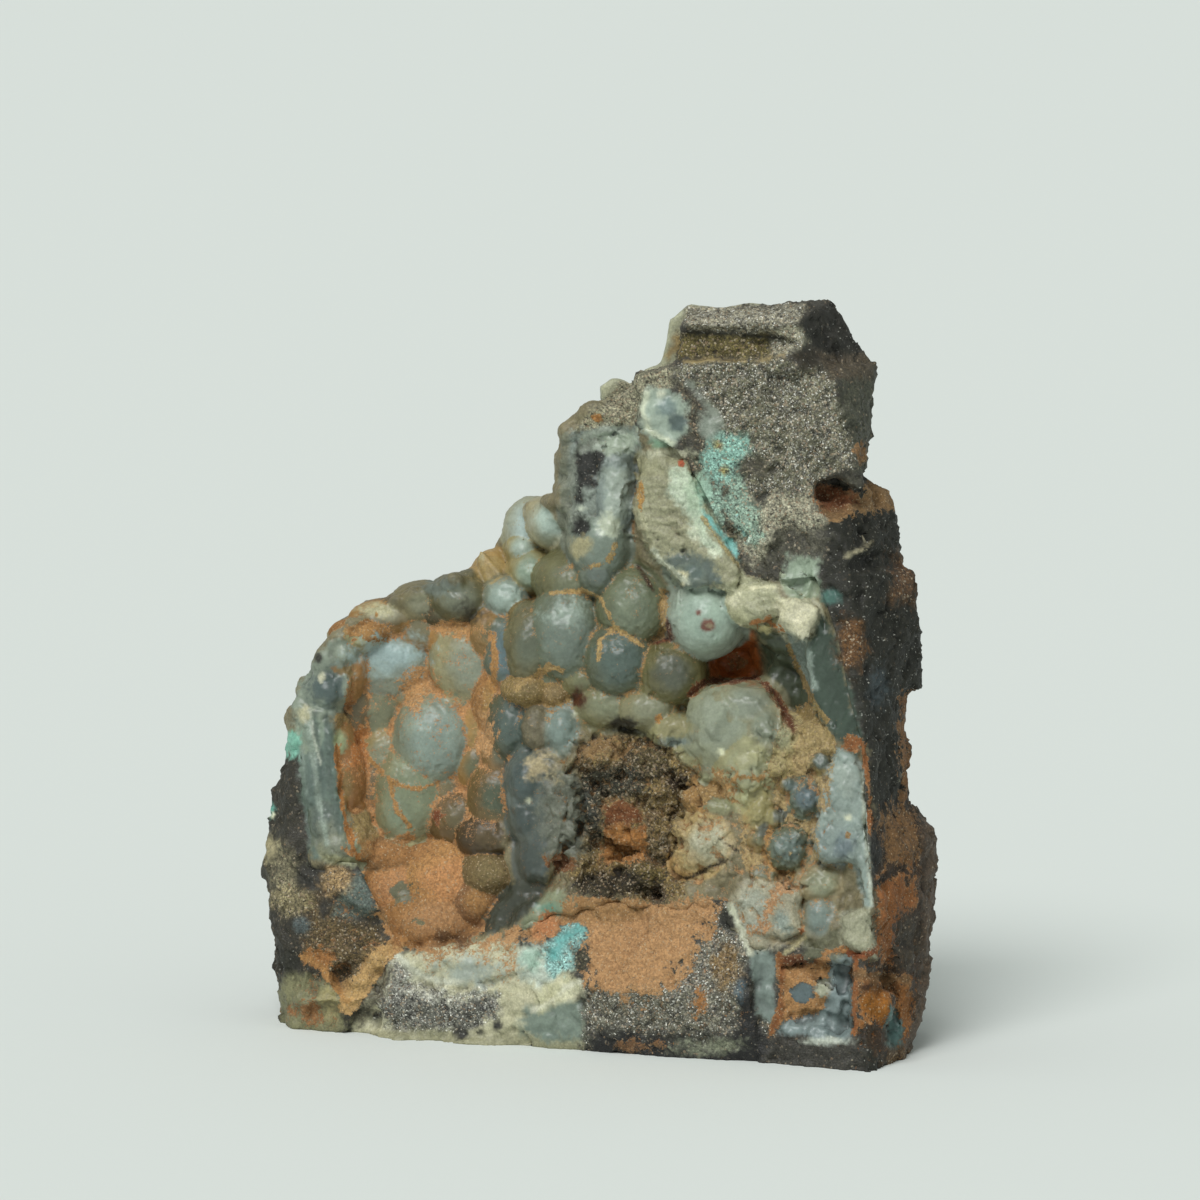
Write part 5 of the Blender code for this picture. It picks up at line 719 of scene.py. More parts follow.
# Spots: surface, colour, cover, softness of the edge, middle (across, up), half-sizes.
SPOTS = {
    "left_turquoise_top": ("frost", "#7FB6A5", 0.95, 0.15, -18.5, 19.6, 0.55, 0.85),
    "left_turquoise_side": ("frost", "#69AA9D", 0.95, 0.15, -20.0, 15.6, 0.45, 0.55),
    "left_spark": ("gem", "#E1E3C7", 1.0, 0.08, -19.6, 15.3, 0.14, 0.14),
    "left_cream": ("frost", "#A79E7D", 0.9, 0.2, -19.8, 13.4, 0.5, 0.9),
    "left_mottle": ("grit", "#8F886E", 0.8, 0.5, -18.9, 11.6, 0.8, 1.3),
    "left_tan": ("grit", "#8A8061", 0.8, 0.5, -18.6, 10.2, 1.3, 0.8),
    "left_black_a": ("black", "#282722", 0.9, 0.3, -17.4, 11.6, 0.9, 0.8),
    "left_black_b": ("black", "#282722", 0.9, 0.2, -16.5, 9.7, 0.4, 0.7),
    "left_bluish": ("rock", "#495456", 0.9, 0.2, -17.9, 8.7, 0.5, 0.5),
    "left_tan_speckled": ("grit", "#A58A63", 0.85, 0.35, -15.9, 11.4, 0.9, 0.9),
    "left_orange": ("sand", "#976738", 0.85, 0.35, -16.8, 6.7, 0.8, 0.6),
    "left_black_c": ("black", "#26261D", 0.95, 0.25, -18.6, 6.5, 0.7, 0.7),
    "corner_orange": ("sand", "#8E6440", 0.7, 0.5, -17.4, 3.4, 1.3, 0.8),
    "corner_yellow": ("frost", "#9B9165", 0.9, 0.3, -16.2, 4.2, 0.6, 0.9),
    "rim_mottle": ("frost", "#808474", 0.7, 0.6, -16.2, 13.8, 0.9, 1.0),
    "rim_dark": ("black", "#3A3A34", 1.0, 0.1, -16.9, 24.7, 0.25, 0.3),
    "rim_blue": ("gem", "#4E5C5B", 0.9, 0.4, -16.4, 22.9, 1.0, 0.95),
    "rim_cream": ("frost", "#BAB697", 0.85, 0.2, -17.8, 21.3, 0.45, 0.4),
    "rim_fleck": ("frost", "#C6C5AC", 0.85, 0.1, -16.7, 23.6, 0.2, 0.25),
    "sky_strip": ("frost", "#B0AC8B", 0.9, 0.2, -13.5, 27.5, 1.1, 0.4),
    "sky_orange": ("sand", "#AC804B", 0.9, 0.12, -13.4, 27.3, 0.2, 0.15),
    "sky_blue": ("gem", "#69736D", 0.8, 0.35, -9.5, 29.0, 0.8, 0.5),
    "hollow_orange_band": ("sand", "#AC8452", 0.6, 0.4, -13.7, 26.4, 1.2, 0.4),
    "hollow_web": ("sand", "#B48A5C", 0.8, 0.5, -11.0, 23.2, 1.0, 1.2),
    "hollow_web_top": ("sand", "#AE8656", 0.8, 0.4, -8.2, 26.5, 1.2, 0.4),
    "hollow_lens": ("gem", "#959E7A", 0.95, 0.15, -15.6, 19.6, 0.32, 0.6),
    "hollow_side_orange": ("sand", "#A06430", 0.8, 0.4, -14.6, 19.2, 0.6, 1.4),
    "hollow_rust": ("sand", "#875932", 0.85, 0.2, -15.0, 22.5, 0.25, 0.7),
    "hollow_light_sand": ("sand", "#C0966A", 0.8, 0.4, -6.9, 20.0, 0.6, 1.0),
    "hollow_dark_hole": ("frost", "#38352A", 0.9, 0.5, -7.7, 27.3, 0.6, 0.5),
    "hollow_low_orange": ("sand", "#9C7044", 0.95, 0.4, -12.4, 13.2, 2.4, 0.8),
    "great_red": ("sand", "#683019", 0.9, 0.2, -9.7, 15.2, 0.35, 0.5),
    "far_ridge": ("frost", "#A18B5C", 0.85, 0.35, -6.4, 30.2, 1.0, 0.8),
    "main_highlight": ("gem", "#98A69C", 0.8, 0.5, -2.0, 27.5, 0.9, 0.6),
    "groove_hole": ("frost", "#4A2812", 1.0, 0.2, -1.3, 22.4, 0.45, 0.6),
    "black_hole": ("frost", "#302D20", 1.0, 0.25, 1.4, 20.6, 0.8, 0.55),
    "side_flecks": ("gem", "#D2D4BB", 0.8, 0.12, -1.5, 21.3, 0.2, 0.2),
    "spot_red_a": ("frost", "#743A2A", 0.95, 0.08, 5.9, 27.4, 0.2, 0.16),
    "spot_red_b": ("frost", "#74382A", 0.9, 0.08, 6.45, 26.7, 0.45, 0.38),
    "orange_spot": ("sand", "#AC763C", 0.9, 0.12, -0.2, 39.1, 0.3, 0.3),
    "white_spot": ("frost", "#CDCFBC", 0.9, 0.12, 3.7, 40.6, 0.3, 0.2),
    "hematite_low": ("black", "#22231F", 1.0, 0.15, -1.2, 32.6, 0.5, 0.7),
    "hematite_shine": ("gem", "#C2C9B8", 0.9, 0.1, -1.1, 33.7, 0.2, 0.12),
    "lobe_white": ("gem", "#C5CCB9", 0.9, 0.2, 0.6, 32.7, 0.6, 0.7),
    "lobe_crumbs": ("frost", "#ACA37D", 0.8, 0.25, -1.2, 31.4, 0.7, 0.6),
    "patch_centre": ("gem", "#7B8C8B", 0.9, 0.25, 4.0, 39.8, 0.5, 0.5),
    "patch_dark": ("gem", "#485657", 0.9, 0.2, 4.7, 38.9, 0.55, 0.6),
    "patch_teal": ("gem", "#7B9C84", 0.9, 0.2, 3.5, 37.6, 0.6, 0.3),
    "seam_dark_blob": ("rock", "#3A392F", 0.95, 0.2, 5.4, 37.5, 0.6, 0.6),
    "plate_top_band": ("frost", "#B4B49D", 0.9, 0.15, 3.9, 37.0, 1.4, 0.25),
    "plate_orange": ("sand", "#AC803E", 0.85, 0.15, 2.4, 34.3, 0.25, 1.0),
    "plate_green": ("frost", "#97AE96", 0.6, 0.3, 5.7, 34.4, 0.5, 1.3),
    "plate_bright_a": ("frost", "#CDD4BF", 0.9, 0.15, 5.6, 32.2, 0.3, 0.4),
    "plate_bright_b": ("frost", "#CDD4BF", 0.9, 0.15, 6.8, 31.0, 0.35, 0.25),
    "seam_pit_a": ("grit", "#8A7A45", 0.9, 0.15, 7.1, 37.5, 0.3, 0.25),
    "seam_pit_b": ("grit", "#8A7A45", 0.9, 0.15, 7.4, 36.0, 0.3, 0.3),
    "seam_upper_left": ("frost", "#94B4A4", 0.8, 0.25, 6.3, 34.9, 0.5, 0.7),
    "wisp": ("gem", "#8A948A", 0.85, 0.3, 6.5, 38.8, 0.6, 0.8),
    "seam_red": ("sand", "#A04E32", 1.0, 0.1, 4.9, 36.4, 0.22, 0.22),
    "cap_dark_a": ("rock", "#454235", 0.9, 0.3, 9.4, 36.1, 1.1, 0.6),
    "cap_dark_b": ("rock", "#2F2F24", 0.9, 0.25, 9.5, 34.4, 0.5, 0.4),
    "cap_rust": ("sand", "#785838", 0.8, 0.25, 15.7, 37.0, 0.4, 0.6),
    "gap_floor": ("sand", "#7A4A2E", 0.95, 0.3, 14.0, 34.4, 1.4, 0.8),
    "wall_teal": ("gem", "#4A6D66", 0.9, 0.15, 13.8, 28.4, 0.7, 0.45),
    "wall_bluish": ("black", "#3A4449", 0.9, 0.4, 16.7, 23.0, 0.6, 1.0),
    "wall_rust": ("grit", "#6B4A29", 0.8, 0.4, 15.1, 25.4, 0.8, 1.4),
    "lip_white": ("frost", "#CFCDB2", 0.9, 0.2, 8.1, 28.3, 0.5, 0.4),
    "lip_lens": ("gem", "#C7BD8B", 0.9, 0.15, 10.0, 26.5, 0.3, 0.25),
    "tooth_bright": ("frost", "#D2CEB4", 0.9, 0.3, 12.2, 26.6, 0.7, 0.7),
    "cave_orange": ("sand", "#784E26", 0.9, 0.3, 8.3, 24.6, 0.6, 0.5),
    "lobe_orange": ("sand", "#A5763E", 0.85, 0.15, 3.5, 21.0, 0.3, 0.35),
    "lump_fleck": ("gem", "#DDDEC0", 0.9, 0.12, 7.3, 19.1, 0.2, 0.2),
    "lump_pale": ("gem", "#A2A07C", 0.85, 0.35, 8.9, 19.0, 1.0, 0.9),
    "lump_left_pale": ("gem", "#948E6A", 0.9, 0.25, 4.4, 20.5, 0.9, 0.5),
    "lump_network": ("sand", "#977448", 0.7, 0.6, 6.8, 16.6, 1.6, 1.4),
    "lump_grey": ("gem", "#888969", 0.9, 0.2, 7.2, 15.8, 0.8, 0.5),
    "lump_grey_small": ("gem", "#8B8D6E", 0.9, 0.15, 6.3, 17.5, 0.4, 0.4),
    "olive_strip": ("gem", "#958D63", 0.9, 0.3, 9.6, 15.6, 0.9, 1.2),
    "grit_tan": ("sand", "#8A7350", 0.6, 0.5, 0.2, 19.1, 1.6, 0.8),
    "pit_dark": ("grit", "#332618", 0.95, 0.2, 4.7, 17.4, 0.6, 0.4),
    "grit_low_dark": ("grit", "#2E2718", 0.95, 0.3, 0.5, 11.1, 2.2, 0.9),
    "hole_dark": ("grit", "#3A2A1A", 0.95, 0.2, 3.5, 10.5, 0.5, 0.6),
    "shell_cream": ("frost", "#B9A985", 0.8, 0.5, -3.4, 18.2, 0.8, 0.6),
    "shell_fleck": ("gem", "#D9DAC2", 0.9, 0.1, -4.3, 16.2, 0.15, 0.2),
    "shell_rust": ("sand", "#683D21", 0.9, 0.3, -2.3, 12.5, 0.8, 0.6),
    "leaf_teal": ("gem", "#6B9383", 0.85, 0.15, -3.1, 9.7, 0.7, 0.3),
    "basin_spot": ("gem", "#626450", 0.75, 0.45, -11.8, 10.5, 0.8, 0.85),
    "basin_spot_low": ("gem", "#6B6A4E", 0.8, 0.2, -10.9, 9.0, 0.4, 0.3),
    "basin_dark": ("sand", "#492C15", 0.85, 0.35, -8.8, 7.9, 1.0, 0.4),
    "sill_orange": ("sand", "#B1764D", 0.9, 0.35, -3.3, 8.7, 0.8, 0.8),
    "sill_grains": ("grit", "#3E3C2D", 0.85, 0.25, -1.3, 6.7, 0.6, 0.6),
    "sill_white": ("frost", "#D1CFB5", 0.8, 0.2, -1.9, 4.6, 0.8, 0.4),
    "sill_blotch_a": ("frost", "#C9C9B1", 0.9, 0.12, -11.4, 6.4, 0.25, 0.2),
    "sill_blotch_b": ("frost", "#C9C9B1", 0.9, 0.12, -11.1, 5.4, 0.25, 0.2),
    "sill_blotch_c": ("frost", "#C9C9B1", 0.9, 0.12, -10.0, 5.3, 0.25, 0.2),
    "sill_clump_a": ("black", "#242423", 0.95, 0.15, -8.3, 2.2, 0.4, 0.3),
    "sill_clump_b": ("black", "#242423", 0.95, 0.15, -7.2, 2.3, 0.35, 0.3),
    "sill_clump_c": ("black", "#242423", 0.95, 0.15, -6.2, 2.7, 0.3, 0.25),
    "turquoise_fringe": ("frost", "#94B2A3", 0.85, 0.3, -4.0, 6.6, 0.7, 0.7),
    "turquoise": ("crumb", "#90B9B6", 1.0, 0.25, -2.6, 6.8, 0.9, 1.1),
    "turquoise_top": ("crumb", "#86ADAA", 1.0, 0.2, -1.6, 8.1, 0.9, 0.7),
    "front_dark_top": ("sand", "#97744B", 0.85, 0.4, 0.5, 9.6, 2.6, 0.7),
    "front_orange": ("sand", "#9D6936", 0.7, 0.3, 6.0, 3.9, 0.4, 0.9),
    "front_brown": ("grit", "#7A623D", 0.8, 0.35, 7.6, 6.2, 0.8, 1.2),
    "front_black_a": ("black", "#22221D", 0.95, 0.25, 7.8, 9.1, 0.5, 0.7),
    "front_blue": ("rock", "#495B65", 0.85, 0.2, 8.4, 4.8, 0.3, 0.5),
    "front_smudge": ("sand", "#583D2C", 0.7, 0.3, 2.6, 1.4, 1.6, 0.35),
    "front_streak": ("rock", "#878B77", 0.85, 0.25, 6.6, 1.35, 1.8, 0.45),
    "recess_stone": ("gem", "#5C6A6E", 1.0, 0.12, 12.1, 4.6, 0.7, 0.65),
    "recess_chip": ("gem", "#A0A28E", 0.95, 0.12, 13.4, 5.0, 0.45, 0.6),
    "recess_edge": ("frost", "#B9BFB4", 0.9, 0.12, 13.7, 1.75, 1.4, 0.22),
    "lower_rust_dot": ("sand", "#874E25", 0.9, 0.1, 12.1, 8.3, 0.2, 0.2),
    "side_dark_hollow": ("sand", "#2D1B0F", 0.95, 0.2, 16.6, 4.9, 1.2, 0.3),
    "side_orange_mass": ("sand", "#925D20", 0.95, 0.3, 16.7, 3.8, 0.9, 1.0),
    "side_blue": ("gem", "#577977", 0.95, 0.2, 17.6, 2.5, 0.45, 1.1),
    "side_corner": ("grit", "#6B553C", 0.85, 0.3, 17.9, 0.6, 0.9, 0.6),
    "side_black": ("rock", "#393226", 0.9, 0.35, 18.4, 7.8, 0.8, 1.7),
    "slab_shade": ("gem", "#66747A", 0.85, 0.3, 14.6, 13.3, 0.5, 0.7),
    "slab_white": ("gem", "#D2D4BB", 0.9, 0.12, 14.9, 15.2, 0.2, 0.2),
    "slab_brown_a": ("sand", "#876F4B", 0.9, 0.1, 14.9, 14.1, 0.18, 0.18),
    "slab_brown_b": ("sand", "#876F4B", 0.9, 0.1, 15.0, 12.3, 0.18, 0.18),
    "disc_a": ("gem", "#676B63", 0.95, 0.12, 10.8, 15.3, 0.4, 0.4),
    "disc_b": ("gem", "#676B63", 0.95, 0.12, 9.8, 14.4, 0.4, 0.4),
    "disc_c": ("gem", "#5C6966", 0.95, 0.12, 11.5, 17.1, 0.35, 0.35),
    "disc_d": ("gem", "#616A64", 0.95, 0.12, 13.3, 18.5, 0.5, 0.5),
    "rust_strip_top": ("sand", "#87532C", 0.9, 0.2, 15.1, 19.6, 0.6, 0.5),
    "spot_red_c": ("gem", "#9A8E74", 0.9, 0.06, 6.55, 26.65, 0.2, 0.15),
    "slab_top": ("gem", "#A0ABA4", 0.8, 0.4, 14.8, 17.6, 0.7, 0.9),
    "blue_splinter": ("gem", "#7F8B88", 0.9, 0.1, 4.4, 19.7, 0.8, 0.3),
    "gap_roof": ("rock", "#5A574C", 0.9, 0.25, 14.9, 35.3, 0.9, 0.35),
    "sill_blue": ("gem", "#9AA7A2", 0.8, 0.6, -7.6, 6.0, 1.8, 0.8),
    # Painted highlight on the blue ball at the top of the left hollow.
    "hollow_blue_highlight": ("gem", "#9DB1B3", 0.85, 0.7, -12.6, 25.0, 1.8, 0.95),
}

# Lines: surface, colour, cover, width, points.
LINES = {
    "turquoise_stem": ("frost", "#5D9F9D", 0.95, 0.5, [(-2.8, 6.9), (-2.2, 7.9), (-1.2, 8.4)]),
    "rim_orange_edge": ("sand", "#9D6731", 0.9, 0.35, [(-14.5, 12.6), (-15.2, 14.6), (-15.6, 17.0), (-15.8, 19.2)]),
    "rim_pale_lip": ("frost", "#A0A081", 0.9, 0.4, [(-16.6, 12.8), (-15.4, 12.5), (-14.2, 12.3)]),
    "hollow_vein_a": ("sand", "#9D7643", 0.8, 0.25, [(-13.8, 18.6), (-12.4, 17.2), (-11.0, 16.8), (-9.8, 17.2)]),
    "hollow_vein_b": ("sand", "#9D7643", 0.8, 0.25, [(-12.6, 17.2), (-12.2, 15.6), (-11.4, 14.6)]),
    "great_rim": ("frost", "#9E9873", 0.8, 0.25, [(-12.9, 14.0), (-11.9, 13.4), (-10.5, 13.9)]),
    "hollow_orange_strip": ("sand", "#AC804B", 0.9, 0.4, [(-6.4, 26.0), (-6.3, 24.2), (-6.5, 22.8)]),
    "saddle_band": ("sand", "#A68C5E", 0.85, 0.4, [(-5.0, 23.0), (-3.0, 24.2), (-2.3, 24.0)]),
    "cluster_line": ("sand", "#AC9464", 0.8, 0.22, [(-3.0, 28.6), (-1.0, 28.8), (0.0, 28.4), (0.9, 26.6)]),
    "cluster_line_b": ("sand", "#AC9464", 0.8, 0.22, [(0.9, 26.6), (0.0, 25.8), (-0.1, 24.6)]),
    "cluster_line_c": ("sand", "#AC9464", 0.8, 0.22, [(0.9, 26.6), (2.6, 25.4)]),
    "cluster_crack": ("grit", "#3A220F", 0.95, 0.25, [(2.3, 30.2), (3.2, 28.8)]),
    "ball_groove": ("grit", "#5A2A16", 0.9, 0.3, [(4.0, 27.0), (4.3, 25.9), (3.2, 25.6)]),
    "ball_dust": ("sand", "#A69166", 0.7, 0.4, [(3.7, 28.8), (3.8, 27.2), (3.6, 26.0)]),
    "lip_rust": ("sand", "#A56D3E", 0.9, 0.4, [(9.2, 26.8), (10.0, 27.0), (10.8, 26.4)]),
    "lip_line": ("frost", "#DAD6B8", 0.9, 0.18, [(9.0, 28.9), (10.0, 29.0), (10.9, 28.9)]),
    "lump_top_red": ("sand", "#582611", 0.95, 0.45, [
        (5.4, 22.6), (6.4, 23.3), (8.0, 23.3), (9.4, 23.5), (10.4, 22.7), (11.0, 21.6), (11.6, 20.4)]),
    "cut_gold": ("sand", "#87764B", 0.85, 0.3, [(11.3, 25.5), (11.9, 24.0), (13.0, 21.8), (13.6, 20.9)]),
    "lump_orange_arc": ("sand", "#A5804F", 0.85, 0.3, [(7.6, 17.0), (8.2, 17.6), (9.7, 17.5)]),
    "dusty_line": ("grit", "#3A301E", 0.9, 0.2, [(5.2, 11.5), (7.6, 12.6)]),
    "dusty_line_b": ("grit", "#3A301E", 0.8, 0.15, [(7.1, 13.9), (8.3, 13.1)]),
    "disc_ring": ("sand", "#AC8653", 0.85, 0.3, [(10.2, 14.6), (9.9, 13.2), (10.4, 12.0), (11.6, 11.7)]),
    "strip_white": ("frost", "#BFC2AE", 0.9, 0.3, [(7.8, 9.9), (8.3, 8.8), (8.6, 7.9), (9.0, 7.0)]),
    "recess_cream": ("frost", "#B6AC86", 0.9, 0.25, [(11.0, 6.9), (12.3, 8.0)]),
    "panel_arc": ("sand", "#9D6F43", 0.9, 0.3, [(13.2, 6.4), (13.6, 7.1), (14.8, 7.2)]),
    "edge_rust": ("sand", "#8A5630", 0.95, 0.3, [(15.3, 6.6), (15.3, 4.0), (15.3, 2.2)]),
    "slab_rust": ("sand", "#783D1F", 0.9, 0.4, [(15.0, 7.0), (15.7, 6.9), (16.4, 7.1)]),
    "slab_side_rust": ("sand", "#87532C", 0.9, 0.35, [(15.8, 19.6), (16.1, 17.0), (16.2, 14.2)]),
    "slab_tan": ("sand", "#A5916A", 0.85, 0.25, [(16.1, 13.0), (16.2, 11.0)]),
    "side_crack": ("black", "#241A0F", 0.9, 0.25, [(16.3, 11.0), (18.0, 12.2)]),
    "side_ledge": ("sand", "#685034", 0.85, 0.6, [(15.3, 5.7), (16.8, 5.6), (18.4, 5.4)]),
    "wall_ledge": ("frost", "#9D967C", 0.9, 0.25, [(14.8, 30.8), (15.6, 31.2), (16.3, 31.7)]),
    "corner_arc": ("sand", "#AC804D", 0.9, 0.4, [(-17.8, 6.8), (-16.8, 6.2), (-16.0, 5.2), (-15.3, 4.2)]),
    "ridge_shade": ("rock", "#494436", 0.8, 0.5, [(-14.3, 3.0), (-13.4, 4.4), (-12.5, 6.0)]),
    "lobe_left_strip": ("frost", "#757868", 0.85, 0.5, [(-2.1, 38.0), (-2.2, 35.0), (-2.1, 31.2)]),
    "lobe_tan_arc": ("sand", "#AC9464", 0.8, 0.3, [(0.9, 31.5), (0.5, 30.5), (-0.5, 30.2)]),
    "lobe_rust": ("sand", "#876543", 0.8, 0.3, [(2.0, 32.9), (2.1, 31.7)]),
    "patch_arc": ("gem", "#CED4BE", 0.9, 0.3, [(2.8, 40.6), (2.5, 39.5), (3.0, 38.3), (4.4, 37.6)]),
    "wisp_line": ("gem", "#888F85", 0.85, 0.4, [(5.3, 41.2), (6.5, 39.8), (7.3, 38.8)]),
    "seam_crack": ("black", "#2A281F", 0.9, 0.15, [(7.6, 39.4), (8.4, 38.8)]),
    "plate_tan": ("sand", "#A2976C", 0.85, 0.2, [(6.1, 33.2), (7.4, 31.4), (8.3, 30.2)]),
    "plate_edge": ("frost", "#AFAD8F", 0.8, 0.2, [(2.3, 33.6), (2.8, 32.4), (3.2, 31.0), (3.9, 30.3), (4.6, 29.6)]),
    "shard": ("frost", "#C6C1A0", 0.9, 0.25, [(4.5, 29.9), (5.1, 29.8), (5.0, 29.2)]),
    # Painted shadow: a black line along the lower edge of the cap's top strip.
    "cap_strip_shadow": ("black", "#22211A", 0.95, 0.2, [(5.0, 44.3), (8.5, 44.1), (11.0, 43.9)]),
    "cap_ledge": ("frost", "#988761", 0.9, 0.22, [(5.0, 42.5), (7.0, 42.6), (9.5, 42.5), (11.0, 42.9)]),
    "fringe_tan": ("frost", "#988254", 0.85, 0.4, [(4.0, 42.8), (4.6, 43.4), (4.6, 44.0)]),
    "rim_streak_pale": ("frost", "#93A096", 0.75, 0.3, [(-17.4, 20.8), (-17.0, 17.0), (-16.4, 13.6)]),
    "rim_streak_dark": ("gem", "#56625C", 0.75, 0.35, [(-16.4, 21.2), (-16.2, 17.6), (-15.6, 14.2)]),
    "rim_streak_side": ("frost", "#8C9A92", 0.7, 0.2, [(-17.9, 19.4), (-17.6, 16.6)]),
    "slab_white_edge": ("frost", "#BBC2B6", 0.85, 0.2, [(15.7, 17.8), (15.85, 15.2), (16.1, 12.6), (16.35, 9.9)]),
    "slab_arc": ("gem", "#A3AEA8", 0.7, 0.25, [(13.1, 15.3), (14.0, 15.2), (15.2, 15.5)]),
    "rust_seam": ("sand", "#80502A", 1.0, 0.45, [(10.8, 6.8), (10.9, 5.2), (10.8, 3.4), (10.2, 2.0)]),
    "sill_white_fringe": ("frost", "#C6C8B8", 0.85, 0.3, [(-12.1, 6.8), (-11.0, 5.8), (-9.8, 5.3), (-8.4, 5.2)]),
    "sill_white_seam": ("frost", "#CDCDBA", 0.85, 0.25, [(-4.0, 3.6), (-3.0, 4.0), (-2.0, 5.0), (-1.2, 5.3)]),
    "plate_fringe": ("frost", "#C6CAB8", 0.9, 0.25, [(3.2, 31.2), (3.6, 30.6), (4.2, 30.2), (4.8, 29.6), (5.3, 29.2)]),
    "rim_crease": ("frost", "#B2B8AC", 0.85, 0.16, [(-17.35, 21.6), (-17.15, 19.8), (-16.75, 18.4)]),
    "rim_crease_shade": ("gem", "#58655F", 0.8, 0.2, [(-17.15, 21.4), (-16.95, 19.8), (-16.6, 18.6)]),
}

# Powder that lies in the grooves: colour, amount, softness of the edge, outline.
POWDER = {
    "hollow": ("#B8895C", 0.86, 0.6, [
        (-15.4, 26.6), (-12, 27.4), (-8, 27.8), (-6.2, 27), (-5.4, 22), (-5.4, 14), (-9, 12.6), (-14.5, 12.6),
        (-15.8, 18), (-15.4, 22.5)]),
    "skyline": ("#A08A60", 0.45, 0.6, [
        (-17.0, 25.0), (-14.0, 29.0), (-9.0, 31.0), (-4.0, 35.0), (-2.2, 34.0), (-3.4, 29.0), (-6.0, 27.2),
        (-12, 27.4)]),
    "cluster": ("#AE8858", 0.55, 0.6, [
        (-3.8, 30.6), (0, 31), (3.5, 30), (5.4, 27), (6.5, 23), (4.6, 20.4), (1, 20.5), (-4, 19), (-6.6, 20),
        (-6.4, 27)]),
    "basin": ("#B98A5C", 1.0, 0.5, [(-14.8, 13.0), (-5.6, 13.2), (-6.8, 8.2), (-12.6, 7.2)]),
    "middle": ("#8A6A44", 0.55, 0.8, [(-6, 19), (-1, 20), (6, 20), (6, 10), (-5, 10)]),
    "lump": ("#A98A62", 0.30, 0.6, [(4.6, 20.4), (7, 23.4), (11, 22.6), (11.4, 19.6), (10, 15.6), (6.6, 17)]),
    "lower_right": ("#B28C62", 0.70, 0.6, [
        (4, 11), (4.6, 15.6), (8, 15.6), (10.4, 20.6), (14, 20.6), (14.2, 12), (14, 8), (9, 7.6), (6, 10)]),
    "upper_lobe": ("#9A8A6A", 0.25, 0.6, [(-2.4, 39), (3, 41), (8.6, 30), (5, 28), (-2.4, 29)]),
    "left_foot": ("#9A7048", 0.5, 0.8, [(-19, 12), (-13, 12), (-12, 4), (-18, 2)]),
    "right_foot": ("#8A5A30", 0.6, 0.8, [(15.4, 8), (19.6, 12), (19.6, 0), (15.4, 0)]),
    "front": ("#A87C52", 0.35, 0.8, [(-6, 10), (8, 10.4), (9, 2), (-1, 3)]),
}


# View and depth

def view_axes():
    """The eye and the picture's right, top and forward directions."""
    rise = math.radians(VIEW_RISE)
    lean = math.radians(VIEW_LEAN)
    level = Vector((1.0, 0.0, 0.0))
    upward = Vector((0.0, math.sin(rise), math.cos(rise)))
    right = level * math.cos(lean) + upward * math.sin(lean)
    top = upward * math.cos(lean) - level * math.sin(lean)
    back = Vector((0.0, -math.cos(rise), math.sin(rise)))
    return VIEW_AIM + back * VIEW_DISTANCE, right, top, -back


EYE, RIGHT, TOP, FORWARD = view_axes()


def seen(across, up, depth):
    """The point at this depth on the line of sight through (across, up)."""
    through = VIEW_AIM + RIGHT * across + TOP * (up - VIEW_MIDDLE_UP)
    share = (depth - EYE.y) / (through.y - EYE.y)
    return EYE + (through - EYE) * share


def as_seen(points):
    """Across and up, as they are seen from the front, of many points."""
    away = points - np.array(EYE)
    distance = away @ np.array(FORWARD)
    across = away @ np.array(RIGHT) / distance * VIEW_DISTANCE
    up = away @ np.array(TOP) / distance * VIEW_DISTANCE + VIEW_MIDDLE_UP
    return across, up


def face(across, up):
    """Depth of the front plane of the rock."""
    return ARRIS_DEPTH + FACE_TURN * (ARRIS_ACROSS - across) + FACE_LEAN * up


def set_back(across, up, distance):
    return seen(across, up, face(across, up) + distance)


def bed(across, up, filled=False):
    """How far the bed under the crust is set back: shallow, with steep-sided bowls."""
    deepest = 0.0
    for centre_u, centre_v, half_width, half_height, depth, share in BED_BOWLS:
        reach = ((across - centre_u) / half_width) ** 2 + ((up - centre_v) / half_height) ** 2
        if reach < 1.0:
            bulk = depth * share * (1.0 - reach) if filled else depth * (1.0 - reach * reach)
            deepest = max(deepest, bulk)
    pit = 0.0
    for centre_u, centre_v, half_width, half_height, depth in CRUST_PITS:
        reach = ((across - centre_u) / half_width) ** 2 + ((up - centre_v) / half_height) ** 2
        if reach < 1.0:
            pit = max(pit, depth * (1.0 - reach * reach))
    return BED_SET_BACK + deepest + pit


def growth_front(across, up):
    """How far the front of the crust's sheet is set back."""
    return bed(across, up, True) - CRUST_THICKNESS


def growth_surface(across, up):
    return set_back(across, up, growth_front(across, up))


def bed_surface(lift):
    """The bed's surface, brought forward by lift, and by more where it is steep."""
    def surface(across, up):
        reach = SLOPE_REACH
        rise_u = (bed(across + reach, up) - bed(across - reach, up)) / (2 * reach)
        rise_v = (bed(across, up + reach) - bed(across, up - reach)) / (2 * reach)
        steepness = min(STEEPEST, math.sqrt(1.0 + rise_u ** 2 + rise_v ** 2))
        return set_back(across, up, bed(across, up) - lift * steepness)
    return surface


# Building solids

def add_block(bm, corners):
    """Add the convex block that has these corners."""
    verts = [bm.verts.new(seen(*corner)) for corner in corners]
    hull = bmesh.ops.convex_hull(bm, input=verts)
    spare = [v for v in hull["geom_interior"] + hull["geom_unused"] if isinstance(v, bmesh.types.BMVert)]
    bmesh.ops.delete(bm, geom=list(set(spare)), context="VERTS")


def add_ball(bm, centre, half_sizes, fineness=4):
    """Add an egg-shaped ball."""
    shape = Matrix.Translation(centre) @ Matrix.Diagonal(Vector(half_sizes).to_4d())
    bmesh.ops.create_icosphere(bm, subdivisions=fineness, radius=1.0, matrix=shape)


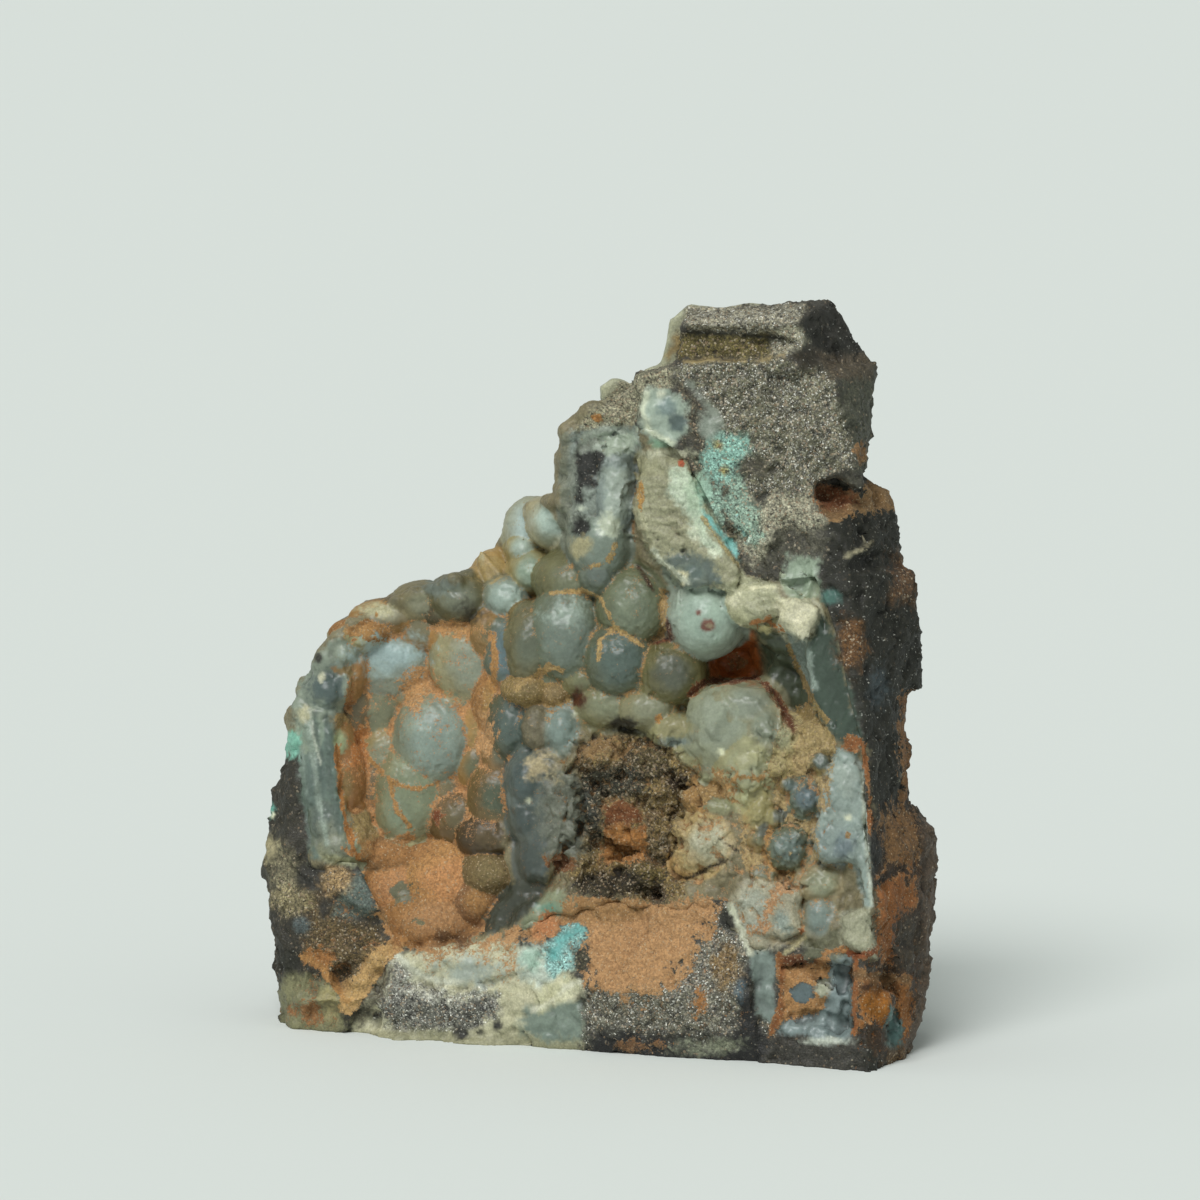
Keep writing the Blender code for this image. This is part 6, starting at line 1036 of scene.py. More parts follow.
def add_dome(bm, across, up, crown, half_width, half_height, half_depth, fineness=4):
    """Add a ball whose nearest point is set back by crown."""
    centre = set_back(across, up, crown + half_depth)
    add_ball(bm, centre, (half_width, half_depth, half_height), fineness)


def inset(outline, distance):
    """Move an outline's points inwards, along the middle of each corner."""
    turn = sum(a[0] * b[1] - b[0] * a[1] for a, b in zip(outline, outline[1:] + outline[:1]))
    side = 1.0 if turn > 0 else -1.0
    moved = []
    for before, point, after in zip(outline[-1:] + outline[:-1], outline, outline[1:] + outline[:1]):
        into = Vector((point[0] - before[0], point[1] - before[1])).normalized()
        out = Vector((after[0] - point[0], after[1] - point[1])).normalized()
        normal = (Vector((-into.y, into.x)) + Vector((-out.y, out.x))).normalized() * side
        moved.append((point[0] + normal.x * distance, point[1] + normal.y * distance))
    return moved


def ragged(outline, step, amount):
    """An outline with points every step, moved a little in and out like a broken edge."""
    points = []
    for start, end in zip(outline, outline[1:] + outline[:1]):
        length = math.hypot(end[0] - start[0], end[1] - start[1])
        count = max(1, round(length / step))
        for index in range(count):
            share = index / count
            u = start[0] + (end[0] - start[0]) * share
            v = start[1] + (end[1] - start[1]) * share
            stray = noise.noise_vector((u * 1.1, v * 1.1, 4.7)) + noise.noise_vector((u * 3.1, v * 3.1, 8.3)) * 0.5
            points.append((u + amount * stray.x, v + amount * stray.y))
    return points


def standing(across, up, crown, *half_sizes):
    """The form, brought forward where it would be sunk in the crust's sheet."""
    return across, up, min(crown, growth_front(across, up) - LEAST_PROUD), *half_sizes


def add_chunk(bm, across, up, crown, half_width, half_height, half_depth):
    """Add an angular broken lump whose nearest point is about set back by crown."""
    centre = set_back(across, up, crown + half_depth)
    chance = random.Random(round(across * 100 + up * 7919))
    corners = 26
    for index in range(corners):
        level = 1.0 - 2.0 * (index + 0.5) / corners
        turn = index * math.pi * (3.0 - math.sqrt(5.0)) + chance.uniform(-0.5, 0.5)
        ring = math.sqrt(1.0 - level * level)
        reach = chance.uniform(0.88, 1.06)
        direction = Vector((ring * math.cos(turn), level, ring * math.sin(turn))) * reach
        bm.verts.new(centre + Vector((direction.x * half_width, direction.y * half_depth, direction.z * half_height)))
    bm.verts.ensure_lookup_table()
    verts = bm.verts[-corners:]
    hull = bmesh.ops.convex_hull(bm, input=verts)
    spare = [v for v in hull["geom_interior"] + hull["geom_unused"] if isinstance(v, bmesh.types.BMVert)]
    bmesh.ops.delete(bm, geom=list(set(spare)), context="VERTS")


def add_loft(bm, rings):
    """Join closed rings of points of equal length into one solid."""
    loops = [[bm.verts.new(point) for point in ring] for ring in rings]
    for near, far in zip(loops, loops[1:]):
        for index, vert in enumerate(near):
            after = (index + 1) % len(near)
            bm.faces.new((vert, near[after], far[after], far[index]))
    bm.faces.new(loops[0][::-1])
    bm.faces.new(loops[-1])


def add_plate(bm, front, back, worn, outline):
    """Add a broken plate: its front edge is worn in, and its sides run back."""
    outline = ragged(outline, 0.5, PLATE_RAGGED)
    front_ring = [set_back(u, v, front) for u, v in inset(outline, worn)]
    edge_ring = [set_back(u, v, front + worn) for u, v in outline]
    back_ring = [set_back(u, v, back) for u, v in outline]
    add_loft(bm, [front_ring, edge_ring, back_ring])


def add_slot(bm, front, back, outline):
    """Add a straight-sided cutter between two depths."""
    add_loft(bm, [[seen(u, v, depth) for u, v in outline] for depth in (front, back)])


def grid_range(low, high, step):
    count = math.ceil((high - low) / step)
    return [low + (high - low) * index / count for index in range(count + 1)]


def add_bed_block(bm, near_surface, far_surface, step):
    """Add the block between two surfaces over the crust's outline."""
    margin = 2.0
    across = [point[0] for point in CRUST_EDGE + CRUST_CLEARANCE]
    up = [point[1] for point in CRUST_EDGE + CRUST_CLEARANCE]
    columns = grid_range(min(across) - margin, max(across) + margin, step)
    rows = grid_range(min(up) - margin, max(up) + margin, step)
    near = [[bm.verts.new(near_surface(u, v)) for u in columns] for v in rows]
    away = [[bm.verts.new(far_surface(u, v)) for u in columns] for v in rows]
    for row in range(len(rows) - 1):
        for column in range(len(columns) - 1):
            for sheet in (near, away):
                corner = sheet[row][column]
                opposite = sheet[row + 1][column + 1]
                bm.faces.new((corner, sheet[row][column + 1], opposite))
                bm.faces.new((corner, opposite, sheet[row + 1][column]))
    border = [(0, column) for column in range(len(columns))]
    border += [(row, len(columns) - 1) for row in range(1, len(rows))]
    border += [(len(rows) - 1, column) for column in range(len(columns) - 2, -1, -1)]
    border += [(row, 0) for row in range(len(rows) - 2, 0, -1)]
    for here, there in zip(border, border[1:] + border[:1]):
        bm.faces.new((near[here[0]][here[1]], near[there[0]][there[1]],
                      away[there[0]][there[1]], away[here[0]][here[1]]))


def make_object(name, bm):
    bmesh.ops.recalc_face_normals(bm, faces=bm.faces)
    mesh = bpy.data.meshes.new(name)
    bm.to_mesh(mesh)
    bm.free()
    item = bpy.data.objects.new(name, mesh)
    bpy.context.scene.collection.objects.link(item)
    return item


def drop(item):
    mesh = item.data
    bpy.data.objects.remove(item)
    bpy.data.meshes.remove(mesh)


def apply_modifiers(item):
    """Keep the object's evaluated mesh as its own."""
    graph = bpy.context.evaluated_depsgraph_get()
    mesh = bpy.data.meshes.new_from_object(item.evaluated_get(graph))
    old = item.data
    item.modifiers.clear()
    item.data = mesh
    bpy.data.meshes.remove(old)


def fuse(item, voxel):
    """Fuse overlapping solids into one skin."""
    remesh = item.modifiers.new("Fuse", "REMESH")
    remesh.mode = "VOXEL"
    remesh.voxel_size = voxel
    apply_modifiers(item)


def thin_out(item, faces, hidden):
    """Thin the mesh to about this many triangles, most where it is hidden."""
    item.data.calc_loop_triangles()
    ratio = faces / len(item.data.loop_triangles)
    if ratio < 1.0:
        group = item.vertex_groups.new(name="hidden")
        for weight in (0.0, 1.0):
            group.add(np.flatnonzero(hidden == weight).tolist(), weight, "REPLACE")
        decimate = item.modifiers.new("Thin", "DECIMATE")
        decimate.ratio = ratio
        decimate.vertex_group = "hidden"
        decimate.vertex_group_factor = HIDDEN_FAVOUR
        decimate.use_collapse_triangulate = True
        apply_modifiers(item)
        item.vertex_groups.clear()


def cut(item, cutter, operation="DIFFERENCE", solver="MANIFOLD"):
    boolean = item.modifiers.new("Cut", "BOOLEAN")
    boolean.operation = operation
    boolean.solver = solver
    boolean.object = cutter
    apply_modifiers(item)


def cut_base(item):
    """Cut the stone flat at the height of its base."""
    bm = bmesh.new()
    bm.from_mesh(item.data)
    plane = bmesh.ops.bisect_plane(bm, geom=bm.verts[:] + bm.edges[:] + bm.faces[:], dist=0.0001,
                                   plane_co=(0, 0, 0), plane_no=(0, 0, -1), clear_outer=True)
    edges = [piece for piece in plane["geom_cut"] if isinstance(piece, bmesh.types.BMEdge)]
    bmesh.ops.contextual_create(bm, geom=edges)
    bmesh.ops.triangulate(bm, faces=bm.faces)
    bm.to_mesh(item.data)
    bm.free()


def keep_largest(item):
    """Leave out the small loose crumbs that a cut has made."""
    bm = bmesh.new()
    bm.from_mesh(item.data)
    bm.verts.ensure_lookup_table()
    waiting = set(bm.verts)
    bodies = []
    while waiting:
        body = set()
        edge_of_search = [waiting.pop()]
        while edge_of_search:
            vert = edge_of_search.pop()
            body.add(vert)
            for edge in vert.link_edges:
                other = edge.other_vert(vert)
                if other in waiting:
                    waiting.remove(other)
                    edge_of_search.append(other)
        bodies.append(body)
    largest = max(bodies, key=len)
    loose = [vert for vert in bm.verts if vert not in largest]
    bmesh.ops.delete(bm, geom=loose, context="VERTS")
    bm.to_mesh(item.data)
    bm.free()


# Points of a mesh as arrays

def read_points(mesh):
    points = np.empty(len(mesh.vertices) * 3)
    mesh.vertices.foreach_get("co", points)
    return points.reshape(-1, 3)


def read_normals(mesh):
    normals = np.empty(len(mesh.vertices) * 3)
    mesh.vertex_normals.foreach_get("vector", normals)
    return normals.reshape(-1, 3)


def write_points(mesh, points):
    mesh.vertices.foreach_set("co", points.ravel())
    mesh.update()


def wander(points, grain, octaves=3, shift=0.0):
    """A smooth fixed noise at each point, about -1 to 1."""
    places = (points / grain + shift).tolist()
    return np.array([noise.fractal(place, 0.8, 2.1, octaves) for place in places])


def lumps(points, grain, shift=0.0):
    """Height of a field of small round growths, 0 to 1."""
    places = (points / grain + shift).tolist()
    nearest = np.array([noise.voronoi(place)[0][0] for place in places])
    return np.sqrt(np.clip(1.0 - (nearest / 0.75) ** 2, 0.0, 1.0))


def facets(points, grain, shift=0.0):
    """Height of a field of flat broken faces, each tilted its own way, about -0.5 to 0.5."""
    heights = []
    for place in (points / grain + shift).tolist():
        middle = noise.voronoi(place)[1][0]
        tilt = noise.cell_vector(middle * 7.3) - Vector((0.5, 0.5, 0.5))
        heights.append((Vector(place) - middle).dot(tilt) * 2.0)
    return np.array(heights)


def ridges(points):
    """Height of the fine ridges on the faces that carry them."""
    across, up = as_seen(points)
    height = np.zeros(len(points))
    for amount, width, rise, outline in STRIAE.values():
        inside = smooth_step(0.3, -0.3, outline_distance(across, up, outline))
        index = np.flatnonzero(inside)
        lean = math.radians(rise)
        along = across[index] * math.cos(lean) + up[index] * math.sin(lean)
        beside = up[index] * math.cos(lean) - across[index] * math.sin(lean)
        stretched = np.column_stack([along / RIDGE_STRETCH, beside, points[index, 1] / RIDGE_STRETCH])
        height[index] += amount * inside[index] * wander(stretched, width)
    return height


def smooth_step(low, high, value):
    share = np.clip((value - low) / (high - low), 0.0, 1.0)
    return share * share * (3.0 - 2.0 * share)


def hollowness(mesh, points, normals, rounds):
    """How deep each point lies in the surface around it, in millimetres."""
    edges = np.empty(len(mesh.edges) * 2, dtype=np.int32)
    mesh.edges.foreach_get("vertices", edges)
    first, second = edges[0::2], edges[1::2]
    count = np.bincount(np.concatenate([first, second]), minlength=len(points))
    count = np.maximum(count, 1)
    smooth = points.copy()
    for _ in range(rounds):
        for axis in range(3):
            total = np.bincount(first, smooth[second, axis], len(points))
            total += np.bincount(second, smooth[first, axis], len(points))
            smooth[:, axis] = 0.4 * smooth[:, axis] + 0.6 * total / count
    return ((smooth - points) * normals).sum(axis=1)


# Colours

def linear(code):
    """The linear colour of a written colour."""
    shares = [int(code[start:start + 2], 16) / 255 for start in (1, 3, 5)]
    return [share / 12.92 if share <= 0.04045 else ((share + 0.055) / 1.055) ** 2.4 for share in shares]


def outline_distance(across, up, outline, closed=True):
    """Distance from each point to an outline, negative inside it."""
    nearest = np.full(len(across), np.inf)
    inside = np.zeros(len(across), dtype=bool)
    ends = outline[1:] + outline[:1] if closed else outline[1:]
    for (u0, v0), (u1, v1) in zip(outline, ends):
        du, dv = u1 - u0, v1 - v0
        share = np.clip(((across - u0) * du + (up - v0) * dv) / (du * du + dv * dv), 0.0, 1.0)
        nearest = np.minimum(nearest, np.hypot(across - u0 - share * du, up - v0 - share * dv))
        if closed and dv != 0.0:
            crosses = (v0 > up) != (v1 > up)
            inside ^= crosses & (across < u0 + (up - v0) * du / dv)
    return np.where(inside, -nearest, nearest)


def spot_distance(across, up, middle_u, middle_v, half_width, half_height):
    """Distance from each point to the edge of an egg-shaped spot, negative inside it."""
    reach = np.hypot((across - middle_u) / half_width, (up - middle_v) / half_height)
    return (reach - 1.0) * min(half_width, half_height)


class Paint:
    """The colour and kind of surface at each point of a mesh, laid on in coats."""

    def __init__(self, mesh, ground, back):
        self.points = read_points(mesh)
        self.normals = read_normals(mesh)
        self.across, self.up = as_seen(self.points)
        facing = -(self.normals @ np.array(FORWARD))
        self.facing = smooth_step(-0.12, 0.12, facing)
        self.stray = wander(self.points, 0.9)
        self.stray_fine = wander(self.points, 0.22, 3, 3.0)
        coat = self.coat(*ground)
        self.values = np.tile(coat, (len(self.points), 1))
        for surface, colour, grain, low, high in back:
            drift = wander(self.points, grain, 4, grain * 7.0) + 0.30 * self.stray + 0.35 * self.stray_fine
            self.lay(smooth_step(low, high, drift) * (1.0 - self.facing), self.coat(surface, colour))
        self.belongs = np.full(len(self.points), 1.0)
        self.powder = np.zeros(len(self.points))
        self.powder_tint = np.tile(np.array(linear("#A8845C")), (len(self.points), 1))

    @staticmethod
    def coat(surface, colour):
        return np.array([*linear(colour), *SURFACES[surface]])

    def lay(self, share, coat):
        self.values += (coat - self.values) * share[:, None]

    def near(self, points, margin):
        """Which points are seen near these places."""
        us = [point[0] for point in points]
        vs = [point[1] for point in points]
        mask = (self.across > min(us) - margin) & (self.across < max(us) + margin)
        mask &= (self.up > min(vs) - margin) & (self.up < max(vs) + margin) & (self.facing > 0)
        return np.flatnonzero(mask)

    def ragged(self, index, edge):
        return edge * (1.1 * self.stray[index] + 0.9 * self.stray_fine[index])

    def lay_patch(self, surface, colour, cover, edge, index, distance):
        away = distance + self.ragged(index, edge)
        share = cover * smooth_step(edge, -edge, away) * self.facing[index]
        self.blend(index, share, surface, colour)

    def areas(self, table):
        for surface, colour, cover, edge, outline in table.values():
            index = self.near(outline, 4 * edge)
            distance = outline_distance(self.across[index], self.up[index], outline)
            self.lay_patch(surface, colour, cover, edge, index, distance)

    def mottle(self, table):
        for surface, colour, cover, grain, low, high in table:
            drift = wander(self.points, grain, 4, grain * 11.0) + 0.4 * self.stray_fine
            self.lay(cover * smooth_step(low, high, drift), self.coat(surface, colour))

    def spots(self, table):
        for surface, colour, cover, edge, u, v, half_width, half_height in table.values():
            corners = [(u - half_width, v - half_height), (u + half_width, v + half_height)]
            index = self.near(corners, 4 * edge)
            distance = spot_distance(self.across[index], self.up[index], u, v, half_width, half_height)
            self.lay_patch(surface, colour, cover, edge, index, distance)

    def lines(self, table):
        for surface, colour, cover, width, points in table.values():
            index = self.near(points, 3 * width)
            distance = outline_distance(self.across[index], self.up[index], points, closed=False)
            self.lay_patch(surface, colour, cover, 0.4 * width, index, distance - 0.5 * width)

    def forms(self, table):
        for u, v, crown, half_width, half_height, half_depth, surface, middle, share, rim in table.values():
            corners = [(u - half_width, v - half_height), (u + half_width, v + half_height)]
            index = self.near(corners, 1.0)
            crown = standing(u, v, crown)[2]
            centre = np.array(set_back(u, v, crown + half_depth))
            away = (self.points[index] - centre) / (half_width, half_depth, half_height)
            reach = np.sqrt((away ** 2).sum(axis=1))
            nearer = np.abs(reach - 1.0)
            on_form = smooth_step(FORM_REACH, 0.5 * FORM_REACH, nearer) * (nearer < self.belongs[index])
            self.belongs[index] = np.where(on_form > 0.5, nearer, self.belongs[index])
            self.blend(index, on_form, surface, rim)
            # The middle: the clean crown's own colour, also painted lighter as glow through the stone and highlight.
            sight = np.hypot((self.across[index] - u) / half_width, (self.up[index] - v) / half_height)
            core = on_form * smooth_step(1.25 * share, 0.45 * share, sight + 0.12 * self.stray[index])
            self.blend(index, core, surface, middle)

    def blend(self, index, share, surface, colour):
        """Lay a coat over these points: sand as loose powder, the rest as solid colour."""
        if surface == "sand":
            self.powder[index] += (FULL_DUST - self.powder[index]) * share
            tint = self.powder_tint[index]
            self.powder_tint[index] += (np.array(linear(colour)) - tint) * share[:, None]
        else:
            self.powder[index] *= 1.0 - share
            self.values[index] += (self.coat(surface, colour) - self.values[index]) * share[:, None]

    def dust(self, table, groove):
        upward = np.clip(self.normals[:, 2], 0.0, 1.0)
        for colour, amount, edge, outline in table.values():
            index = self.near(outline, 4 * edge)
            distance = outline_distance(self.across[index], self.up[index], outline)
            share = smooth_step(edge, -edge, distance + self.ragged(index, edge)) * self.facing[index]
            lies = amount * (0.26 + 0.60 * groove[index] + 0.25 * upward[index]) * share
            more = np.maximum(lies - self.powder[index], 0.0)
            self.powder[index] += more
            part = more / np.maximum(self.powder[index], 0.01)
            self.powder_tint[index] += (np.array(linear(colour)) - self.powder_tint[index]) * part[:, None]

    # Painted shade: the colours, and the dust's colour, are darkened where the surface lies in a hollow or groove.
    def paint_hollow_shade(self, groove):
        self.values[:, :3] *= (1.0 - GROOVE_SHADE * groove)[:, None]
        self.powder_tint *= (1.0 - 0.6 * GROOVE_SHADE * groove)[:, None]

    def store(self, mesh):
        self.put_colour(mesh, "tint", self.values[:, :3] * WARMTH)
        self.put_colour(mesh, "powder_tint", self.powder_tint * WARMTH)
        for name, column in (("rough", 3), ("sparkle", 4), ("grain", 5)):
            self.put_value(mesh, name, self.values[:, column])
        self.put_value(mesh, "powder", self.powder)

    @staticmethod
    def put_colour(mesh, name, values):
        layer = mesh.attributes.new(name, "FLOAT_COLOR", "POINT")
        alpha = np.ones((len(values), 1))
        layer.data.foreach_set("color", np.hstack([values, alpha]).astype(np.float32).ravel())

    @staticmethod
    def put_value(mesh, name, values):
        layer = mesh.attributes.new(name, "FLOAT", "POINT")
        layer.data.foreach_set("value", values.astype(np.float32))


class Nodes:
    """Short names for building a material's node tree."""

    def __init__(self, name):
        self.material = bpy.data.materials.new(name)
        self.material.use_nodes = True
        self.tree = self.material.node_tree
        self.shader = self.tree.nodes["Principled BSDF"]

    def node(self, kind, **settings):
        made = self.tree.nodes.new(kind)
        for key, value in settings.items():
            setattr(made, key, value)
        return made

    def feed(self, socket, value):
        if isinstance(value, bpy.types.NodeSocket):
            self.tree.links.new(value, socket)
        else:
            socket.default_value = value

    def sum(self, operation, first, second=0.0, third=0.0):
        made = self.node("ShaderNodeMath", operation=operation)
        for socket, value in zip(made.inputs, (first, second, third)):
            self.feed(socket, value)
        return made.outputs["Value"]

    def times(self, first, second):
        return self.sum("MULTIPLY", first, second)

    def spread(self, value, amount):
        """A value of 0 to 1 moved to lie about zero, and scaled."""
        return self.times(self.sum("SUBTRACT", value, 0.5), amount)

    def around(self, value, amount):
        """A value of 0 to 1 turned into a factor about one."""
        return self.sum("ADD", self.spread(value, amount), 1.0)

    def attribute(self, name, output="Fac"):
        return self.node("ShaderNodeAttribute", attribute_name=name).outputs[output]

    def place(self):
        return self.node("ShaderNodeTexCoord").outputs["Object"]

    def noise(self, place, grain, detail=2.0):
        made = self.node("ShaderNodeTexNoise")
        self.feed(made.inputs["Vector"], place)
        self.feed(made.inputs["Scale"], 1.0 / (grain * MM))
        self.feed(made.inputs["Detail"], detail)
        return made.outputs["Fac"]

    def cells(self, place, grain):
        """Small cells of this size: the distance to the middle, and three random values."""
        made = self.node("ShaderNodeTexVoronoi")
        self.feed(made.inputs["Vector"], place)
        self.feed(made.inputs["Scale"], 1.0 / (grain * MM))
        split = self.node("ShaderNodeSeparateColor")
        self.feed(split.inputs["Color"], made.outputs["Color"])
        return made.outputs["Distance"], split.outputs["Red"], split.outputs["Green"], split.outputs["Blue"]

    def grey(self, value):
        made = self.node("ShaderNodeCombineColor")
        for socket in made.inputs:
            self.feed(socket, value)
        return made.outputs["Color"]

    def mix(self, share, first, second, blend="MIX"):
        made = self.node("ShaderNodeMix", data_type="RGBA", blend_type=blend)
        self.feed(made.inputs[0], share)
        self.feed(made.inputs[6], first)
        self.feed(made.inputs[7], second)
        return made.outputs[2]

    def step(self, value, low, high):
        made = self.node("ShaderNodeMapRange", interpolation_type="SMOOTHSTEP")
        self.feed(made.inputs["Value"], value)
        self.feed(made.inputs["From Min"], low)
        self.feed(made.inputs["From Max"], high)
        return made.outputs["Result"]


def stone_material(name, glow, glow_reach):
    """One stone material: painted tint, clouds, grains with painted light and shade, painted glints and powder."""
    nodes = Nodes(name)
    place = nodes.place()
    grain = nodes.attribute("grain")
    sparkle = nodes.attribute("sparkle")
    cloud = nodes.noise(place, 1.3, 4.0)
    fine = nodes.noise(place, 0.16, 3.0)
    crumb_reach, dark_pick, pale_pick, crumb_shade = nodes.cells(place, CRUMB_SIZE)

    shade = nodes.around(cloud, 0.7)
    shade = nodes.times(shade, nodes.around(fine, nodes.sum("MULTIPLY_ADD", grain, 1.8, 0.35)))
    shade = nodes.times(shade, nodes.around(nodes.noise(place, 0.42, 2.0), nodes.times(sparkle, 3.0)))
    shade = nodes.times(shade, nodes.around(crumb_shade, nodes.times(grain, 0.7)))
    # Painted light and shade on the crumbs: lighter at each crumb's middle, darker in the gaps between them, more where
    # the grain is strong.
    painted_crumb_shading = nodes.times(nodes.sum("SUBTRACT", 0.5, nodes.step(crumb_reach, 0.35, 0.8)), nodes.times(grain, 0.5))
    shade = nodes.sum("MAXIMUM", nodes.times(shade, nodes.sum("ADD", painted_crumb_shading, 1.0)), 0.12)
    colour = nodes.mix(1.0, nodes.attribute("tint", "Color"), nodes.grey(shade), "MULTIPLY")

    dark = nodes.step(nodes.sum("MULTIPLY_ADD", grain, 0.18, dark_pick), 1.0, 1.15)
    colour = nodes.mix(nodes.times(dark, 0.75), colour, (0.02, 0.018, 0.015, 1.0))
    pale_share = nodes.times(nodes.times(grain, grain), 0.17)
    pale = nodes.step(nodes.sum("ADD", pale_share, pale_pick), 1.0, 1.10)
    pale_tint = nodes.mix(crumb_shade, (0.24, 0.15, 0.08, 1.0), (0.54, 0.46, 0.33, 1.0))
    colour = nodes.mix(nodes.times(pale, 0.6), colour, pale_tint)

    # Painted glints: a sparse share of cells, more on sparkling surfaces, turned pale to stand in for light caught by
    # glittering faces.
    flash_reach, flash_pick, flash_strength, fleck_pick = nodes.cells(place, SPARK_SIZE)
    painted_glint = nodes.step(nodes.sum("MULTIPLY_ADD", sparkle, 0.30, flash_pick), 1.0, 1.08)
    painted_glint = nodes.times(painted_glint, nodes.sum("MULTIPLY_ADD", nodes.sum("POWER", flash_strength, 4.0), 0.9, 0.10))
    colour = nodes.mix(painted_glint, colour, (0.80, 0.79, 0.70, 1.0))

    amount = nodes.attribute("powder")
    powder = nodes.sum("ADD", amount, nodes.spread(nodes.noise(place, 0.09, 2.0), 1.1))
    powder = nodes.sum("ADD", powder, nodes.spread(nodes.noise(place, 0.3, 2.0), 0.9))
    powder = nodes.sum("ADD", powder, nodes.spread(nodes.noise(place, 1.1, 2.0), 0.7))
    powder = nodes.sum("ADD", powder, nodes.spread(dark_pick, 0.22))
    powder = nodes.step(powder, 0.38, 0.76)
    dust_shade = nodes.times(nodes.sum("MULTIPLY_ADD", fine, 0.9, 0.55), nodes.around(crumb_shade, 0.45))
    dust_tint = nodes.mix(1.0, nodes.attribute("powder_tint", "Color"), nodes.grey(dust_shade), "MULTIPLY")
    colour = nodes.mix(nodes.times(powder, 0.94), colour, dust_tint)

    fleck = nodes.step(nodes.sum("MULTIPLY_ADD", amount, 0.12, fleck_pick), 1.0, 1.05)
    fleck_tint = nodes.mix(flash_strength, (0.16, 0.08, 0.03, 1.0), (0.56, 0.44, 0.28, 1.0))
    colour = nodes.mix(nodes.times(fleck, 0.55), colour, fleck_tint)

    rough = nodes.sum("MAXIMUM", nodes.attribute("rough"), nodes.times(powder, 0.92))
    coarse = nodes.sum("MAXIMUM", grain, nodes.times(powder, 0.55))
    relief = nodes.times(nodes.sum("SUBTRACT", fine, crumb_reach), coarse)
    relief = nodes.sum("ADD", relief, nodes.times(powder, 0.4))
    bump = nodes.node("ShaderNodeBump")
    bump.inputs["Strength"].default_value = 0.7
    bump.inputs["Distance"].default_value = 0.075 * MM
    nodes.feed(bump.inputs["Height"], relief)
    shader = nodes.shader
    nodes.feed(shader.inputs["Base Color"], colour)
    nodes.feed(shader.inputs["Roughness"], rough)
    nodes.feed(shader.inputs["Normal"], bump.outputs["Normal"])
    shader.inputs["Subsurface Weight"].default_value = glow
    shader.inputs["Subsurface Scale"].default_value = 1.0
    shader.inputs["Subsurface Radius"].default_value = [glow_reach * MM] * 3
    return nodes.material


# Solids

def make_bed_solid(name, near_surface, far_surface, outline, step):
    """The solid between two surfaces, inside an outline."""
    block = bmesh.new()
    add_bed_block(block, near_surface, far_surface, step)
    solid = make_object(name, block)
    walls = bmesh.new()
    add_slot(walls, *WALL_DEPTHS, outline)
    fence = make_object("fence", walls)
    cut(solid, fence, "INTERSECT")
    drop(fence)
    return solid


def make_crust_space(name, lift, spread=0.0):
    """The space in front of the bed, inside the crust's edge or a little outside it."""
    outline = CRUST_EDGE + CRUST_CLEARANCE
    if spread:
        outline = inset(outline, -spread)
    def far_front(across, up):
        return seen(across, up, FAR_FRONT)
    return make_bed_solid(name, bed_surface(lift), far_front, outline, SHEET_STEP)


def make_matrix():
    bm = bmesh.new()
    for corners in ROCK_BLOCKS.values():
        add_block(bm, corners)
    for across, up, depth, half_width, half_height, half_depth in ROCK_KNOBS.values():
        add_ball(bm, seen(across, up, depth), (half_width, half_depth, half_height))
    rock = make_object("matrix_stone", bm)
    fuse(rock, 1.5 * ROCK_VOXEL)
    cutters = bmesh.new()
    for across, up, depth, half_width, half_height, half_depth in ROCK_HOLLOWS.values():
        add_ball(cutters, seen(across, up, depth), (half_width, half_depth, half_height), 3)
    for front, back, outline in ROCK_SLOTS.values():
        add_slot(cutters, front, back, ragged(outline, 0.5, PLATE_RAGGED))
    hollows = make_object("hollows", cutters)
    cut(rock, hollows)
    drop(hollows)
    bm = bmesh.new()
    bm.from_mesh(rock.data)
    for form in ROCK_SWELLS.values():
        add_dome(bm, *form)
    for form in ROCK_CHUNKS.values():
        add_chunk(bm, *form)
    bm.to_mesh(rock.data)
    bm.free()
    fuse(rock, ROCK_VOXEL)
    points = read_points(rock.data)
    normals = read_normals(rock.data)
    height = 0.22 * wander(points, 2.6) + 0.34 * facets(points, 3.2) + 0.20 * facets(points, 1.2, 3.0)
    height += 0.13 * facets(points, 0.5, 9.0) - 0.05 + ridges(points)
    write_points(rock.data, points + normals * height[:, None])
    space = make_crust_space("crust_space", 0.0)
    cut(rock, space)
    drop(space)
    points = read_points(rock.data)
    normals = read_normals(rock.data)
    across, up = as_seen(points)
    away = normals @ np.array(FORWARD) > 0.15
    covered = outline_distance(across, up, inset(CRUST_EDGE + CRUST_SKYLINE, 0.4)) < 0.0
    thin_out(rock, MOST_TRIANGLES, (away | covered).astype(float))
    cut_base(rock)
    return rock


